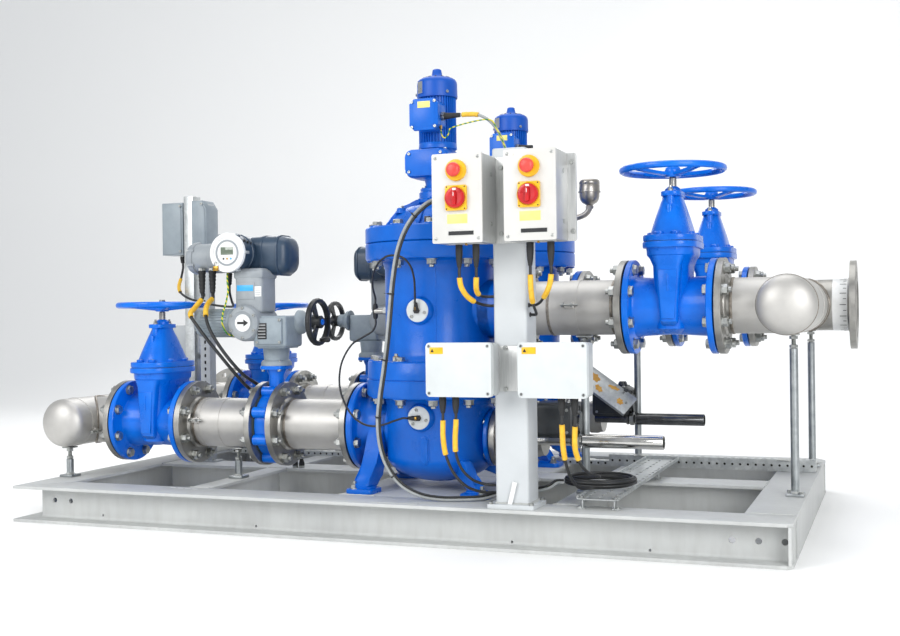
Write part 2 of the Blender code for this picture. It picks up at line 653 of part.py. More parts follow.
# Cable way: strut along the back and tray beside the column
strut_y = 0.285
way_z = BEAM_H + GAP
way_solids = [
    box((2.150, 0.041, 0.018), (0.000, strut_y, way_z + 0.009)),
    box((0.720, 0.041, 0.041), (0.865, strut_y, way_z + 0.0205)),
    box((0.120, 0.985, 0.012), (0.700, -0.207, way_z + 0.034)),
    box((0.120, 0.016, 0.034), (0.700, -0.680, way_z + 0.017)),
    box((0.120, 0.016, 0.034), (0.700, -0.050, way_z + 0.017))]
piece("cable_way", "zinc", way_solids)


# Leads. Each route is a smooth curve through its own few points, with a point every
# two or three diameters.
def route(points, diameter):
    """Evenly spaced points on a smooth curve through the given ones, square at its ends."""
    ends = [Vector(p) for p in points]
    ends = [2 * ends[0] - ends[1]] + ends + [2 * ends[-1] - ends[-2]]
    fine = []
    for k in range(1, len(ends) - 2):
        a, b, c, d = ends[k - 1:k + 3]
        for i in range(16):
            t = i / 16
            fine.append(0.5 * (2 * b + (c - a) * t + (2 * a - 5 * b + 4 * c - d) * t ** 2
                               + (3 * b - a - 3 * c + d) * t ** 3))
    fine.append(ends[-2])
    total = sum((q - p).length for p, q in zip(fine, fine[1:]))
    count = max(4, round(total / (2.9 * diameter)))
    out, done, k = [fine[0]], 0.0, 0
    for want in [total * i / count for i in range(1, count)]:
        while done + (fine[k + 1] - fine[k]).length < want:
            done += (fine[k + 1] - fine[k]).length
            k += 1
        out.append(fine[k].lerp(fine[k + 1], (want - done) / (fine[k + 1] - fine[k]).length))
    straight = 0.5 * diameter
    out.insert(1, out[0] + (ends[2] - ends[1]).normalized() * straight)
    out.append(fine[-1] + (ends[-3] - ends[-2]).normalized() * straight)
    return out + [fine[-1]]


def lead(points, diameter):
    return tube(route(points, diameter), diameter / 2, 2)


BUNDLE_D, MOTOR_D, SENSOR_D, ACTUATOR_D, BOX_LEAD_D = 0.017, 0.013, 0.008, 0.013, 0.012
COIL = (0.665, -0.515, 0.1793)
COIL_R, COIL_T = 0.095, 0.018
column_left, column_right = COLUMN_X - COLUMN_W / 2 - GAP, COLUMN_X + COLUMN_W / 2 + GAP
touch = COIL_R + COIL_T + 0.0012

LEADS = {
    "lead_bundle": (BUNDLE_D, [
        (column_left, -0.690, 1.004), (0.380, -0.690, 1.004), (0.340, -0.692, 1.010),
        (0.280, -0.705, 1.018), (0.225, -0.728, 1.010), (0.180, -0.738, 0.978),
        (0.143, -0.740, 0.930), (0.115, -0.738, 0.865), (0.098, -0.738, 0.780),
        (0.088, -0.738, 0.690), (0.078, -0.738, 0.600), (0.064, -0.736, 0.510),
        (0.049, -0.732, 0.430), (0.040, -0.727, 0.355), (0.044, -0.721, 0.285),
        (0.062, -0.714, 0.225), (0.100, -0.705, 0.172), (0.155, -0.692, 0.140),
        (0.220, -0.682, 0.1296), (0.285, -0.664, 0.1296), (0.335, -0.638, 0.1310),
        (0.380, -0.621, 0.1420), (0.430, -0.614, 0.1480), (0.490, -0.615, 0.1560),
        (0.535, -0.616, 0.1680), (COIL[0] - 0.84 * (touch + 0.022),
                                  COIL[1] - 0.5426 * (touch + 0.022), COIL[2]),
        (COIL[0] - 0.84 * touch, COIL[1] - 0.5426 * touch, COIL[2])]),
    "lead_motor": (MOTOR_D, [
        (0.2233, FRONT_Y - 0.095, 1.300), (0.248, FRONT_Y - 0.095, 1.300),
        (0.285, -0.484, 1.295), (0.322, -0.490, 1.273), (0.353, -0.501, 1.236),
        (0.378, -0.517, 1.188), (0.397, -0.532, 1.142), (0.416, -0.548, 1.104),
        (0.432, -0.567, 1.075), (0.440, -0.593, 1.058),
        (0.440, COLUMN_Y + COLUMN_W / 2 + 0.022 + GAP, 1.058)]),
    "lead_sensor_top": (SENSOR_D, [
        (VESSEL_X, -0.596, 0.7143), (VESSEL_X, -0.596, 0.730), (0.112, -0.604, 0.757),
        (0.118, -0.624, 0.790), (0.115, -0.645, 0.826), (0.092, -0.655, 0.852),
        (0.047, -0.648, 0.858), (0.000, -0.615, 0.842), (-0.045, -0.560, 0.812),
        (-0.080, -0.495, 0.780), (-0.100, -0.445, 0.757), (-0.105, FRONT_Y - 0.033, 0.734),
        (-0.105, FRONT_Y - 0.033, 0.7153)]),
    "lead_sensor_low": (SENSOR_D, [
        (0.0777, -0.596, 0.358), (0.063, -0.596, 0.358), (0.038, -0.604, 0.350),
        (0.008, -0.617, 0.339), (-0.025, -0.622, 0.334), (-0.065, -0.610, 0.339),
        (-0.115, -0.580, 0.360), (-0.162, -0.545, 0.402), (-0.194, -0.512, 0.458),
        (-0.203, -0.475, 0.524), (-0.182, -0.445, 0.580), (-0.148, -0.426, 0.606),
        (-0.118, -0.4205, 0.624), (-0.105, FRONT_Y - 0.033, 0.646),
        (-0.105, FRONT_Y - 0.033, 0.6647)]),
    "lead_actuator_a": (ACTUATOR_D, [
        (LUG_X - 0.273, FRONT_Y - 0.030, 0.7597), (LUG_X - 0.273, FRONT_Y - 0.030, 0.744),
        (-0.7735, -0.452, 0.712), (-0.766, -0.493, 0.688), (-0.734, -0.506, 0.652),
        (-0.690, -0.512, 0.604), (-0.645, -0.502, 0.548), (-0.610, -0.468, 0.487),
        (-0.594, -0.412, 0.437), (-0.592, -0.345, 0.407), (-0.592, -0.275, 0.345),
        (-0.590, -0.214, 0.272), (-0.589, -0.160, 0.220), (-0.588, -0.112, 0.198),
        (-0.588, -0.090, 0.172), (-0.588, -0.090, 0.1503)]),
    "lead_actuator_b": (ACTUATOR_D, [
        (LUG_X - 0.231, FRONT_Y - 0.030, 0.7597), (LUG_X - 0.231, FRONT_Y - 0.030, 0.744),
        (-0.721, -0.452, 0.725), (-0.707, -0.490, 0.697), (-0.684, -0.515, 0.654),
        (-0.650, -0.523, 0.602), (-0.610, -0.508, 0.540), (-0.580, -0.466, 0.484),
        (-0.569, -0.405, 0.452), (-0.568, -0.338, 0.424), (-0.568, -0.264, 0.353),
        (-0.566, -0.204, 0.282), (-0.565, -0.156, 0.232), (-0.564, -0.107, 0.206),
        (-0.564, -0.085, 0.176), (-0.564, -0.085, 0.1503)]),
    "lead_stand": (BOX_LEAD_D, [
        (-1.135, stand_y + 0.020, 0.8917), (-1.135, stand_y + 0.020, 0.872),
        (-1.130, 0.000, 0.836), (-1.119, -0.033, 0.802), (-1.092, -0.064, 0.776),
        (-1.042, -0.090, 0.753),
        (-0.965, -0.112, 0.734), (-0.885, -0.140, 0.722), (-0.805, -0.182, 0.716),
        (-0.745, -0.250, 0.718), (-0.708, -0.320, 0.734), (LUG_X - 0.200, FRONT_Y + 0.030, 0.764),
        (LUG_X - 0.200, FRONT_Y + 0.030, 0.7897)]),
}
for name, (diameter, points) in LEADS.items():
    piece(name, "black", [lead(points, diameter)])

box_gland_y = box_front + 0.060
PAIRS = {
    "lead_box_left": [
        [(0.335, box_gland_y, 0.8077), (0.335, box_gland_y, 0.785), (0.337, -0.802, 0.756),
         (0.345, -0.783, 0.731), (0.357, -0.756, 0.714), (0.373, -0.727, 0.704),
         (0.391, -0.711, 0.700), (column_left, -0.711, 0.700)],
        [(0.386, box_gland_y, 0.8077), (0.386, box_gland_y, 0.785), (0.383, -0.803, 0.761),
         (0.378, -0.785, 0.743), (0.376, -0.760, 0.732), (0.380, -0.736, 0.727),
         (0.393, -0.721, 0.726), (column_left, -0.721, 0.726)]],
    "lead_box_right": [
        [(0.545, box_gland_y, 0.8077), (0.545, box_gland_y, 0.785), (0.544, -0.803, 0.752),
         (0.541, -0.785, 0.722), (0.538, -0.757, 0.697), (0.535, -0.727, 0.681),
         (0.528, -0.704, 0.673), (column_right, -0.704, 0.673)],
        [(0.605, box_gland_y, 0.8077), (0.605, box_gland_y, 0.785), (0.599, -0.803, 0.757),
         (0.585, -0.787, 0.734), (0.567, -0.763, 0.718), (0.550, -0.736, 0.707),
         (0.530, -0.716, 0.700), (column_right, -0.716, 0.700)]],
    "lead_junction_left": [
        [(0.269, gland_y, 0.3917), (0.269, gland_y, 0.365), (0.269, -0.782, 0.320),
         (0.275, -0.775, 0.268), (0.293, -0.758, 0.215), (0.322, -0.732, 0.176),
         (0.357, -0.696, 0.157), (0.388, -0.673, 0.154), (column_left, -0.673, 0.154)],
        [(0.309, gland_y, 0.3917), (0.309, gland_y, 0.365), (0.306, -0.782, 0.322),
         (0.306, -0.777, 0.276), (0.317, -0.762, 0.232), (0.338, -0.735, 0.199),
         (0.365, -0.706, 0.182), (0.392, -0.691, 0.178), (column_left, -0.691, 0.178)]],
}
TIES = {"lead_box_left": ((0.371, -0.730, 0.705), (0.378, -0.745, 0.729)),
        "lead_box_right": ((0.5365, -0.742, 0.688), (0.553, -0.741, 0.710)),
        "lead_junction_left": ((0.345, -0.708, 0.162), (0.349, -0.722, 0.191))}
for name, pair in PAIRS.items():
    tie = tube([Vector(p) for p in TIES[name]], 0.004, 1)
    piece(name, "black", [lead(pair[0], BOX_LEAD_D), tie, lead(pair[1], BOX_LEAD_D)])

ring = []
for k in range(8):
    t = 2 * pi * k / 8
    ring.append((COIL_R + COIL_T * cos(t), -COIL_T * sin(t)))
bm = bmesh.new()
loop = [bm.verts.new((r, 0, h)) for r, h in ring]
for p, q in zip(loop, loop[1:] + loop[:1]):
    bm.edges.new((p, q))
ring_mesh = bpy.data.meshes.new("coil_profile")
bm.to_mesh(ring_mesh)
bm.free()
coil = bpy.data.objects.new("coil", ring_mesh)
tools.objects.link(coil)
turn = coil.modifiers.new("turn", "SCREW")
turn.steps = turn.render_steps = 20
turn.use_merge_vertices = True
turn.merge_threshold = 0.0001
place(coil, COIL)
piece("lead_coil", "black", [
    coil,
    lead([(0.623, gland_y, 0.3917), (0.623, gland_y, 0.365), (0.624, -0.772, 0.290),
          (0.632, -0.725, 0.225), (0.640, -0.660, 0.192), (0.644, -0.606, 0.182)], BOX_LEAD_D),
    lead([(0.660, gland_y, 0.3917), (0.660, gland_y, 0.365), (0.656, -0.772, 0.290),
          (0.660, -0.728, 0.232), (0.668, -0.665, 0.197), (0.670, -0.608, 0.182)], BOX_LEAD_D)])
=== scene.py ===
from math import atan2, cos, hypot, pi, radians, sin, sqrt

import bmesh
import bpy
from mathutils import Matrix, Vector


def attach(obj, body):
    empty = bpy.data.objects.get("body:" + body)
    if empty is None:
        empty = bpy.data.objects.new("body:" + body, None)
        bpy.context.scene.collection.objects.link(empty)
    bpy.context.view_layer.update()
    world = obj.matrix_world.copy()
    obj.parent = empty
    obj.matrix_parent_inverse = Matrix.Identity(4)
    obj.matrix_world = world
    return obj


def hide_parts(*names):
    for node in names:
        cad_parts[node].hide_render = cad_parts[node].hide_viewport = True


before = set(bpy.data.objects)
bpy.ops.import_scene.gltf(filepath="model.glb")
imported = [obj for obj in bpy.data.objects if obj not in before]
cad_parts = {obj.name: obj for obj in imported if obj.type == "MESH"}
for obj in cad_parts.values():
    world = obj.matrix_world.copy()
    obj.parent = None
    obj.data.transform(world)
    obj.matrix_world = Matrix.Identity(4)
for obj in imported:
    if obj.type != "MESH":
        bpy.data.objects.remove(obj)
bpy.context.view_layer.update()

# The shapes below are placed on the package's plan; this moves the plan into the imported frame.
planShift = Vector((0.01225, 0.1128, 0.0))

plan = {"streams": {"front": -0.387, "rear": 0.387}, "lowZ": 0.312, "highZ": 0.692,
        "pipe": 0.08415, "boltCircle": 0.12, "valveHalf": 0.1335, "gap": 0.0003,
        "inletHeaderX": -1.255, "inletValveX": -0.9528, "lugX": -0.4936, "vesselX": 0.109,
        "vesselIn": -0.17, "vesselOut": 0.388, "outletValveX": 0.8665, "outletHeaderX": 1.206}


def mm(*points):
    return [(u / 1000, v / 1000) for u, v in points]


def linear(hexColor):
    values = [int(hexColor[i:i + 2], 16) / 255 for i in (1, 3, 5)]
    return tuple(v / 12.92 if v <= 0.04045 else ((v + 0.055) / 1.055) ** 2.4
                 for v in values) + (1.0,)


def addNode(tree, kind, inputs=None, links=None, **settings):
    node = tree.nodes.new(kind)
    for key, value in settings.items():
        setattr(node, key, value)
    for key, value in (inputs or {}).items():
        node.inputs[key].default_value = value
    for key, source in (links or {}).items():
        tree.links.new(source, node.inputs[key])
    return node


# Finishes
def makeFinish(name, look):
    material = bpy.data.materials.new(name)
    material.use_nodes = True
    tree = material.node_tree
    shader = tree.nodes["Principled BSDF"]
    shader.inputs["Metallic"].default_value = look.get("metallic", 0.0)
    shader.inputs["Specular IOR Level"].default_value = look.get("specular", 0.5)
    shader.inputs["Coat Weight"].default_value = look.get("coat", 0.0)
    shader.inputs["Coat Roughness"].default_value = look.get("coatRoughness", 0.1)
    coords = addNode(tree, "ShaderNodeTexCoord")
    mapped = addNode(tree, "ShaderNodeMapping", {"Scale": look.get("stretch", (1.0, 1.0, 1.0))},
                     {"Vector": coords.outputs["Object"]})
    cloud = addNode(tree, "ShaderNodeTexNoise", {"Scale": 1000 / look["cloud"], "Detail": 5.0,
                                                 "Roughness": 0.6},
                    {"Vector": mapped.outputs["Vector"]})
    ramp = addNode(tree, "ShaderNodeValToRGB", links={"Fac": cloud.outputs["Fac"]})
    ramp.color_ramp.elements[0].position = 0.5 - look.get("spread", 0.2)
    ramp.color_ramp.elements[1].position = 0.5 + look.get("spread", 0.2)
    ramp.color_ramp.elements[0].color = linear(look["dark"])
    ramp.color_ramp.elements[1].color = linear(look["light"])
    color = ramp.outputs["Color"]
    grain = addNode(tree, "ShaderNodeTexNoise", {"Scale": 1000 / look["grain"], "Detail": 3.0},
                    {"Vector": mapped.outputs["Vector"]})
    if look.get("spangle"):
        # zinc crystals: flat patches, each a little lighter or darker
        cells = addNode(tree, "ShaderNodeTexVoronoi", {"Scale": 1000 / look["spangle"]},
                        {"Vector": coords.outputs["Object"]})
        patch = addNode(tree, "ShaderNodeSeparateColor", links={"Color": cells.outputs["Color"]})
        mixed = addNode(tree, "ShaderNodeMix", {"Factor": 0.5}, data_type="RGBA",
                        blend_type="MULTIPLY")
        tree.links.new(color, mixed.inputs["A"])
        shade = addNode(tree, "ShaderNodeMapRange", {"To Min": 0.72, "To Max": 1.0},
                        {"Value": patch.outputs["Red"]})
        tree.links.new(shade.outputs["Result"], mixed.inputs["B"])
        color = mixed.outputs["Result"]
    if look.get("grime"):
        # dust and run marks that thin out upwards over the grimeSpan of heights
        low, high = look["grimeSpan"]
        depth = addNode(tree, "ShaderNodeSeparateXYZ", links={"Vector": coords.outputs["Object"]})
        level = addNode(tree, "ShaderNodeMapRange",
                        {"From Min": low, "From Max": high, "To Min": look["grime"],
                         "To Max": 0.0}, {"Value": depth.outputs["Z"]})
        runs = addNode(tree, "ShaderNodeMapping", {"Scale": (14.0, 14.0, 2.5)},
                       {"Vector": coords.outputs["Object"]})
        streak = addNode(tree, "ShaderNodeTexNoise", {"Scale": 3.0, "Detail": 6.0},
                         {"Vector": runs.outputs["Vector"]})
        sharp = addNode(tree, "ShaderNodeMapRange", {"From Min": 0.42, "From Max": 0.72},
                        {"Value": streak.outputs["Fac"]})
        amount = addNode(tree, "ShaderNodeMath",
                         links={0: level.outputs["Result"], 1: sharp.outputs["Result"]},
                         operation="MULTIPLY", use_clamp=True)
        soiled = addNode(tree, "ShaderNodeMix", {"B": linear(look.get("grimeColor", "#6a6253"))},
                         data_type="RGBA")
        tree.links.new(amount.outputs["Value"], soiled.inputs["Factor"])
        tree.links.new(color, soiled.inputs["A"])
        color = soiled.outputs["Result"]
    tree.links.new(color, shader.inputs["Base Color"])
    rough = look["roughness"]
    gloss = addNode(tree, "ShaderNodeMapRange",
                    {"From Min": 0.3, "From Max": 0.7, "To Min": rough[0], "To Max": rough[1]},
                    {"Value": cloud.outputs["Fac"]})
    tree.links.new(gloss.outputs["Result"], shader.inputs["Roughness"])
    bump = addNode(tree, "ShaderNodeBump",
                   {"Strength": look["bump"], "Distance": look.get("relief", 0.0006)},
                   {"Height": grain.outputs["Fac"]})
    tree.links.new(bump.outputs["Normal"], shader.inputs["Normal"])
    return material


def look(dark, light, cloud, roughness, grain, bump, **more):
    # cloud: slow change of colour and gloss, grain: fine bump, both sizes in millimetres
    return {"dark": dark, "light": light, "cloud": cloud, "roughness": roughness, "grain": grain,
            "bump": bump, **more}


looks = {
    # deep-drawn stainless pot: smooth, with wide soft reflections
    "pressedStainless": look("#8b8782", "#a8a49f", 60, (0.26, 0.36), 2, 0.04, metallic=0.95),
    # grey paint of the slim sheet enclosures: semi-gloss, a slight peel
    "enclosurePaint": look("#7d878d", "#929ca2", 120, (0.34, 0.46), 3, 0.08),
    # dark slate paint on the actuator heads: semi-gloss over die casting
    "actuatorSlate": look("#24364a", "#32465a", 90, (0.3, 0.42), 3, 0.14),
    # near-black paint on the drain drives: satin, the casting shows faintly
    "drivePaint": look("#202325", "#313538", 60, (0.34, 0.48), 3, 0.2),
    # light grey powder coat on the column: even satin
    "columnPaint": look("#bcc0c2", "#caced0", 260, (0.4, 0.52), 6, 0.1),
    # off-white painted lids of the control boxes: smooth satin
    "lidPaint": look("#c8c7c3", "#d1d0cc", 120, (0.34, 0.42), 2, 0.05),
    # rolled steel under satin two-pack paint: soft sheen, slight peel, dust low down
    "framePaint": look("#b4b6b5", "#c6c8c6", 260, (0.42, 0.58), 6, 0.12, grime=0.2,
                       grimeSpan=(0.0, 0.22), grimeColor="#84817a"),
    # pickled and passivated stainless pipe: dull even grey with faint clouds
    "pickledStainless": look("#b3b1ad", "#c6c4c0", 120, (0.42, 0.54), 3, 0.05, metallic=0.68),
    # machined stainless flange faces and rims: brighter, finer
    "turnedStainless": look("#8f8e8a", "#aeaca7", 40, (0.32, 0.46), 1.5, 0.05, metallic=0.9),
    # ground weld bead: browner and rougher than the pipe beside it
    "weldBead": look("#77706a", "#a49d92", 12, (0.35, 0.55), 4, 0.5, metallic=1.0, relief=0.0012),
    # polished tube: clear reflections
    "polishedTube": look("#b9b8b4", "#d6d5d1", 60, (0.1, 0.18), 2, 0.02, metallic=1.0),
    # brushed stainless sheet of the boxes: streaks along the length
    "brushedSheet": look("#b7b8b7", "#cbccca", 30, (0.34, 0.46), 2, 0.08, metallic=0.7,
                         stretch=(6.0, 6.0, 0.4)),
    # fusion-bonded epoxy on the gate valves: deep bright blue, soft over the casting
    "valveEnamel": look("#005fc8", "#006fdc", 80, (0.24, 0.34), 5, 0.16, specular=0.3, coat=0.1,
                        coatRoughness=0.08),
    # gloss enamel on sand-cast iron: a shade darker, the casting's grain shows
    "castEnamel": look("#005abc", "#0066ce", 110, (0.26, 0.36), 5, 0.5, relief=0.0011,
                       specular=0.3, coat=0.1, coatRoughness=0.1),
    # satin spray paint on the gearmotors
    "motorPaint": look("#005abc", "#0466cc", 70, (0.3, 0.4), 3, 0.2, specular=0.35),
    # the same paint over pressed sheet: deeper blue, smoother
    "fanCoverPaint": look("#0649a6", "#0a55b6", 60, (0.34, 0.46), 2, 0.12, specular=0.35),
    # powder coat on the actuator castings: pale blue-grey, fine texture
    "actuatorPaint": look("#7f8a92", "#929da4", 50, (0.42, 0.55), 2, 0.3),
    # neutral grey coat on the actuators' covers and necks
    "actuatorGrey": look("#888e93", "#9aa0a4", 60, (0.4, 0.52), 2, 0.2),
    # moulded plastics: even colour and a soft sheen, rubber duller
    "lidPlastic": look("#c6cbcb", "#d0d4d4", 90, (0.36, 0.46), 1.5, 0.08),
    "boxPlastic": look("#a9adae", "#bcc0c0", 90, (0.4, 0.5), 1.5, 0.1),
    "blackPlastic": look("#131416", "#1e2022", 40, (0.34, 0.5), 2, 0.12),
    "blackRubber": look("#18191a", "#242526", 30, (0.55, 0.72), 2, 0.2),
    "stopRed": look("#d03a33", "#de4c43", 30, (0.3, 0.4), 2, 0.05),
    "redPlastic": look("#a80f14", "#c4161b", 30, (0.25, 0.35), 2, 0.05),
    "yellowPlastic": look("#dfa911", "#efbd1f", 30, (0.3, 0.42), 2, 0.05),
    "whitePlastic": look("#dcdddb", "#eceded", 40, (0.25, 0.35), 2, 0.05),
    # printed film of the bare labels: flat colour, slight sheen
    "bareLabel": look("#c9cbc6", "#d8dad5", 20, (0.3, 0.4), 2, 0.02),
    "yellowLabel": look("#e2d873", "#ece184", 20, (0.35, 0.45), 2, 0.02),
    "blueLabel": look("#2f9bd8", "#45abe2", 20, (0.3, 0.4), 2, 0.02),
    # cable jackets and marker sleeves: extruded plastic, faint grain
    "greyJacket": look("#8b8f90", "#a3a7a7", 30, (0.42, 0.55), 2, 0.08),
    "blackJacket": look("#1a1b1c", "#2a2b2c", 30, (0.4, 0.55), 2, 0.08),
    "yellowSleeve": look("#d9a51c", "#ecc03a", 15, (0.4, 0.55), 2, 0.1),
    # paint over the welds, a little rougher and darker than the steel beside them
    "frameBead": look("#a5a7a5", "#bbbdba", 20, (0.5, 0.62), 5, 0.5, relief=0.001),
    # fibre gasket: matt grey-green edge
    "gasketSheet": look("#3c4a44", "#4d5b55", 20, (0.6, 0.75), 2, 0.1),
    # zinc-plated tube of the jacks and posts: blue-grey, nearly smooth
    "zincTube": look("#8e9496", "#b0b4b5", 45, (0.3, 0.44), 3, 0.06, metallic=0.9),
    # hot-dip zinc on strut, tray and sheet channel: crystals show as flat patches
    "zincSheet": look("#bcc0c0", "#d6d9d8", 35, (0.32, 0.48), 3, 0.06, metallic=0.8, spangle=9),
    # zinc-plated bolts, nuts and screws: bright, with small clouds
    "zincBolt": look("#9fa19f", "#bcbebb", 8, (0.28, 0.42), 1.5, 0.1, metallic=1.0),
    # dark oxidised metal of the shaft housings
    "darkChrome": look("#4b4c4d", "#6e6f70", 40, (0.15, 0.28), 3, 0.05, metallic=1.0),
    # brass fittings and padlock: warm, lightly tarnished
    "brass": look("#a8823a", "#c49b4c", 12, (0.25, 0.38), 2, 0.05, metallic=1.0),
    # bare rating plates: rolled aluminium
    "silverPlate": look("#b8babc", "#cccecf", 30, (0.25, 0.35), 2, 0.03, metallic=1.0),
    # display window: glossy green-grey glass
    "displayGlass": look("#5e6a5c", "#74806f", 40, (0.06, 0.1), 4, 0.01, coat=0.8,
                         coatRoughness=0.03),
    # torn remains of protective film: crinkled, half gloss
    "orangeFilm": look("#c98a2e", "#e3b255", 20, (0.3, 0.45), 6, 0.4, relief=0.002),
    # painted shade: dull dark finish for the boxes that fill the hollows behind the perforated
    # strips
    "boreShade": look("#2b2a28", "#4a4844", 60, (0.45, 0.6), 3, 0.1, metallic=0.6),
}
finishes = {name: makeFinish(name, look) for name, look in looks.items()}


def earthWireFinish():
    # green jacket with yellow stripes, as on every earth wire
    material = bpy.data.materials.new("earthJacket")
    material.use_nodes = True
    tree = material.node_tree
    shader = tree.nodes["Principled BSDF"]
    coords = addNode(tree, "ShaderNodeTexCoord")
    waves = addNode(tree, "ShaderNodeTexWave", {"Scale": 34.0, "Distortion": 1.5},
                    {"Vector": coords.outputs["Object"]}, bands_direction="DIAGONAL")
    ramp = addNode(tree, "ShaderNodeValToRGB", links={"Fac": waves.outputs["Fac"]})
    ramp.color_ramp.interpolation = "CONSTANT"
    ramp.color_ramp.elements[0].color = linear("#2f7d3a")
    ramp.color_ramp.elements[1].position = 0.55
    ramp.color_ramp.elements[1].color = linear("#d3c529")
    tree.links.new(ramp.outputs["Color"], shader.inputs["Base Color"])
    shader.inputs["Roughness"].default_value = 0.45
    return material


finishes["earthJacket"] = earthWireFinish()
print("finishes made")


# Mesh tools. Each adds a shape to a bmesh, on the plan, and gives its faces a finish index.
fourCorners = [(-1, -1), (-1, 1), (1, -1), (1, 1)]
hexSides = 6
sharpFrom = radians(38)
turns = {"Z": Matrix.Identity(4), "-Z": Matrix.Rotation(pi, 4, "X"),
         "X": Matrix.Rotation(pi / 2, 4, "Y"), "-X": Matrix.Rotation(-pi / 2, 4, "Y"),
         "Y": Matrix.Rotation(-pi / 2, 4, "X"), "-Y": Matrix.Rotation(pi / 2, 4, "X")}


def put(bm, verts, at, turn, finish):
    spin = turns[turn] if isinstance(turn, str) else turn
    bmesh.ops.transform(bm, matrix=Matrix.Translation(Vector(at)) @ spin, verts=verts)
    for face in {f for v in verts for f in v.link_faces}:
        face.material_index = finish
        face.smooth = True


def addBox(bm, size, at, finish=0, turn="Z", round=0.0, steps=2):
    made = bmesh.ops.create_cube(bm, size=1.0)["verts"]
    bmesh.ops.scale(bm, vec=size, verts=made)
    if round:
        edges = list({e for v in made for e in v.link_edges})
        made = bmesh.ops.bevel(bm, geom=edges, offset=round, segments=steps, profile=0.5,
                               affect="EDGES")["verts"]
    put(bm, made, at, turn, finish)


def addTurned(bm, profile, at, axis="Z", sides=40, finish=0):
    # profile: (radius, height) from the top down, ends on the axis or left open
    rings, made = [], []
    closed = profile[0] == profile[-1]
    for radius, height in profile[:-1] if closed else profile:
        if radius < 1e-6:
            ring = [bm.verts.new((0, 0, height))]
        else:
            ring = [bm.verts.new((radius * cos(2 * pi * k / sides),
                                  radius * sin(2 * pi * k / sides), height)) for k in range(sides)]
        rings.append(ring)
        made += ring
    if closed:
        rings.append(rings[0])
    for upper, lower in zip(rings, rings[1:]):
        for k in range(sides):
            n = (k + 1) % sides
            if len(upper) == 1 and len(lower) == 1:
                break
            if len(upper) == 1:
                bm.faces.new((upper[0], lower[k], lower[n]))
            elif len(lower) == 1:
                bm.faces.new((upper[k], lower[0], upper[n]))
            else:
                bm.faces.new((upper[k], lower[k], lower[n], upper[n]))
    put(bm, made, at, axis, finish)


def addRod(bm, radius, length, at, axis="Z", sides=24, finish=0, top=None, edge=0.0):
    # a cylinder or cone centred at a point, with a small chamfer at both ends
    top = radius if top is None else top
    half = length / 2
    profile = [(0, half), (top - edge, half), (top, half - edge), (radius, -half + edge),
               (radius - edge, -half), (0, -half)] if edge else [(0, half), (top, half),
                                                                 (radius, -half), (0, -half)]
    addTurned(bm, profile, at, axis, sides, finish)


def addSweep(bm, path, radius, sides, finish=0):
    # a tube along points, its ends closed; radius is one number or one for each point
    points = [Vector(p) for p in path]
    tangent = (points[1] - points[0]).normalized()
    side = tangent.orthogonal().normalized()
    rings, made = [], []
    for i, point in enumerate(points):
        before, after = points[max(i - 1, 0)], points[min(i + 1, len(points) - 1)]
        fresh = (after - before).normalized()
        side = (side - fresh * side.dot(fresh)).normalized()
        other = fresh.cross(side)
        width = radius[i] if isinstance(radius, (list, tuple)) else radius
        ring = [bm.verts.new(point + side * width * cos(2 * pi * k / sides)
                             + other * width * sin(2 * pi * k / sides)) for k in range(sides)]
        rings.append(ring)
        made += ring
    for first, second in zip(rings, rings[1:]):
        for k in range(sides):
            n = (k + 1) % sides
            bm.faces.new((first[k], first[n], second[n], second[k]))
    bm.faces.new(list(reversed(rings[0])))
    bm.faces.new(rings[-1])
    put(bm, made, (0, 0, 0), "Z", finish)


def addPlate(bm, outline, thick, at, turn="Z", finish=0, round=0.0):
    # a flat outline, given once round, with a thickness
    low = [bm.verts.new((u, v, -thick / 2)) for u, v in outline]
    high = [bm.verts.new((u, v, thick / 2)) for u, v in outline]
    top = bm.faces.new(high)
    base = bm.faces.new(list(reversed(low)))
    count = len(outline)
    for k in range(count):
        n = (k + 1) % count
        bm.faces.new((low[k], low[n], high[n], high[k]))
    made = low + high
    if round:
        edges = list(set(top.edges) | set(base.edges))
        made = bmesh.ops.bevel(bm, geom=edges, offset=round, segments=2, profile=0.5,
                               affect="EDGES")["verts"]
        made = list(set(made) | {v for v in low + high if v.is_valid})
    put(bm, made, at, turn, finish)


def addMesh(bm, mesh, at, turn="Z", finish=None):
    placed = mesh.copy()
    placed.transform(Matrix.Translation(Vector(at))
                     @ (turns[turn] if isinstance(turn, str) else turn))
    count = len(placed.polygons)
    if finish is not None:
        placed.polygons.foreach_set("material_index", [finish] * count)
    placed.polygons.foreach_set("use_smooth", [True] * count)
    bm.from_mesh(placed)
    bpy.data.meshes.remove(placed)


def roundedOutline(length, width, radius, steps=6):
    a, b = length / 2 - radius, width / 2 - radius
    points = []
    for cx, cy, start in ((a, b, 0), (-a, b, 90), (-a, -b, 180), (a, -b, 270)):
        for k in range(steps + 1):
            t = radians(start + 90 * k / steps)
            points.append((cx + radius * cos(t), cy + radius * sin(t)))
    return points


def hexProfile(radius, thick):
    # a hexagon nut or head with its corners turned off
    return [(0, thick / 2), (radius * 0.86, thick / 2), (radius, thick / 2 - radius * 0.1),
            (radius, -thick / 2), (0, -thick / 2)]


def addHex(bm, radius, thick, at, axis="Z", finish=0):
    addTurned(bm, hexProfile(radius, thick), at, axis, hexSides, finish)


def disc(radius, high, low):
    # profile of a plain disc from one height down to another
    return [(0, high), (radius, high), (radius, low), (0, low)]


def band(inner, outer, high, low):
    # profile of an open ring with a square section
    return [(inner, high), (outer, high), (outer, low), (inner, low), (inner, high)]


def around(count, start=0):
    # angles spread evenly over a circle, from a start in degrees
    return [radians(start + 360 * k / count) for k in range(count)]


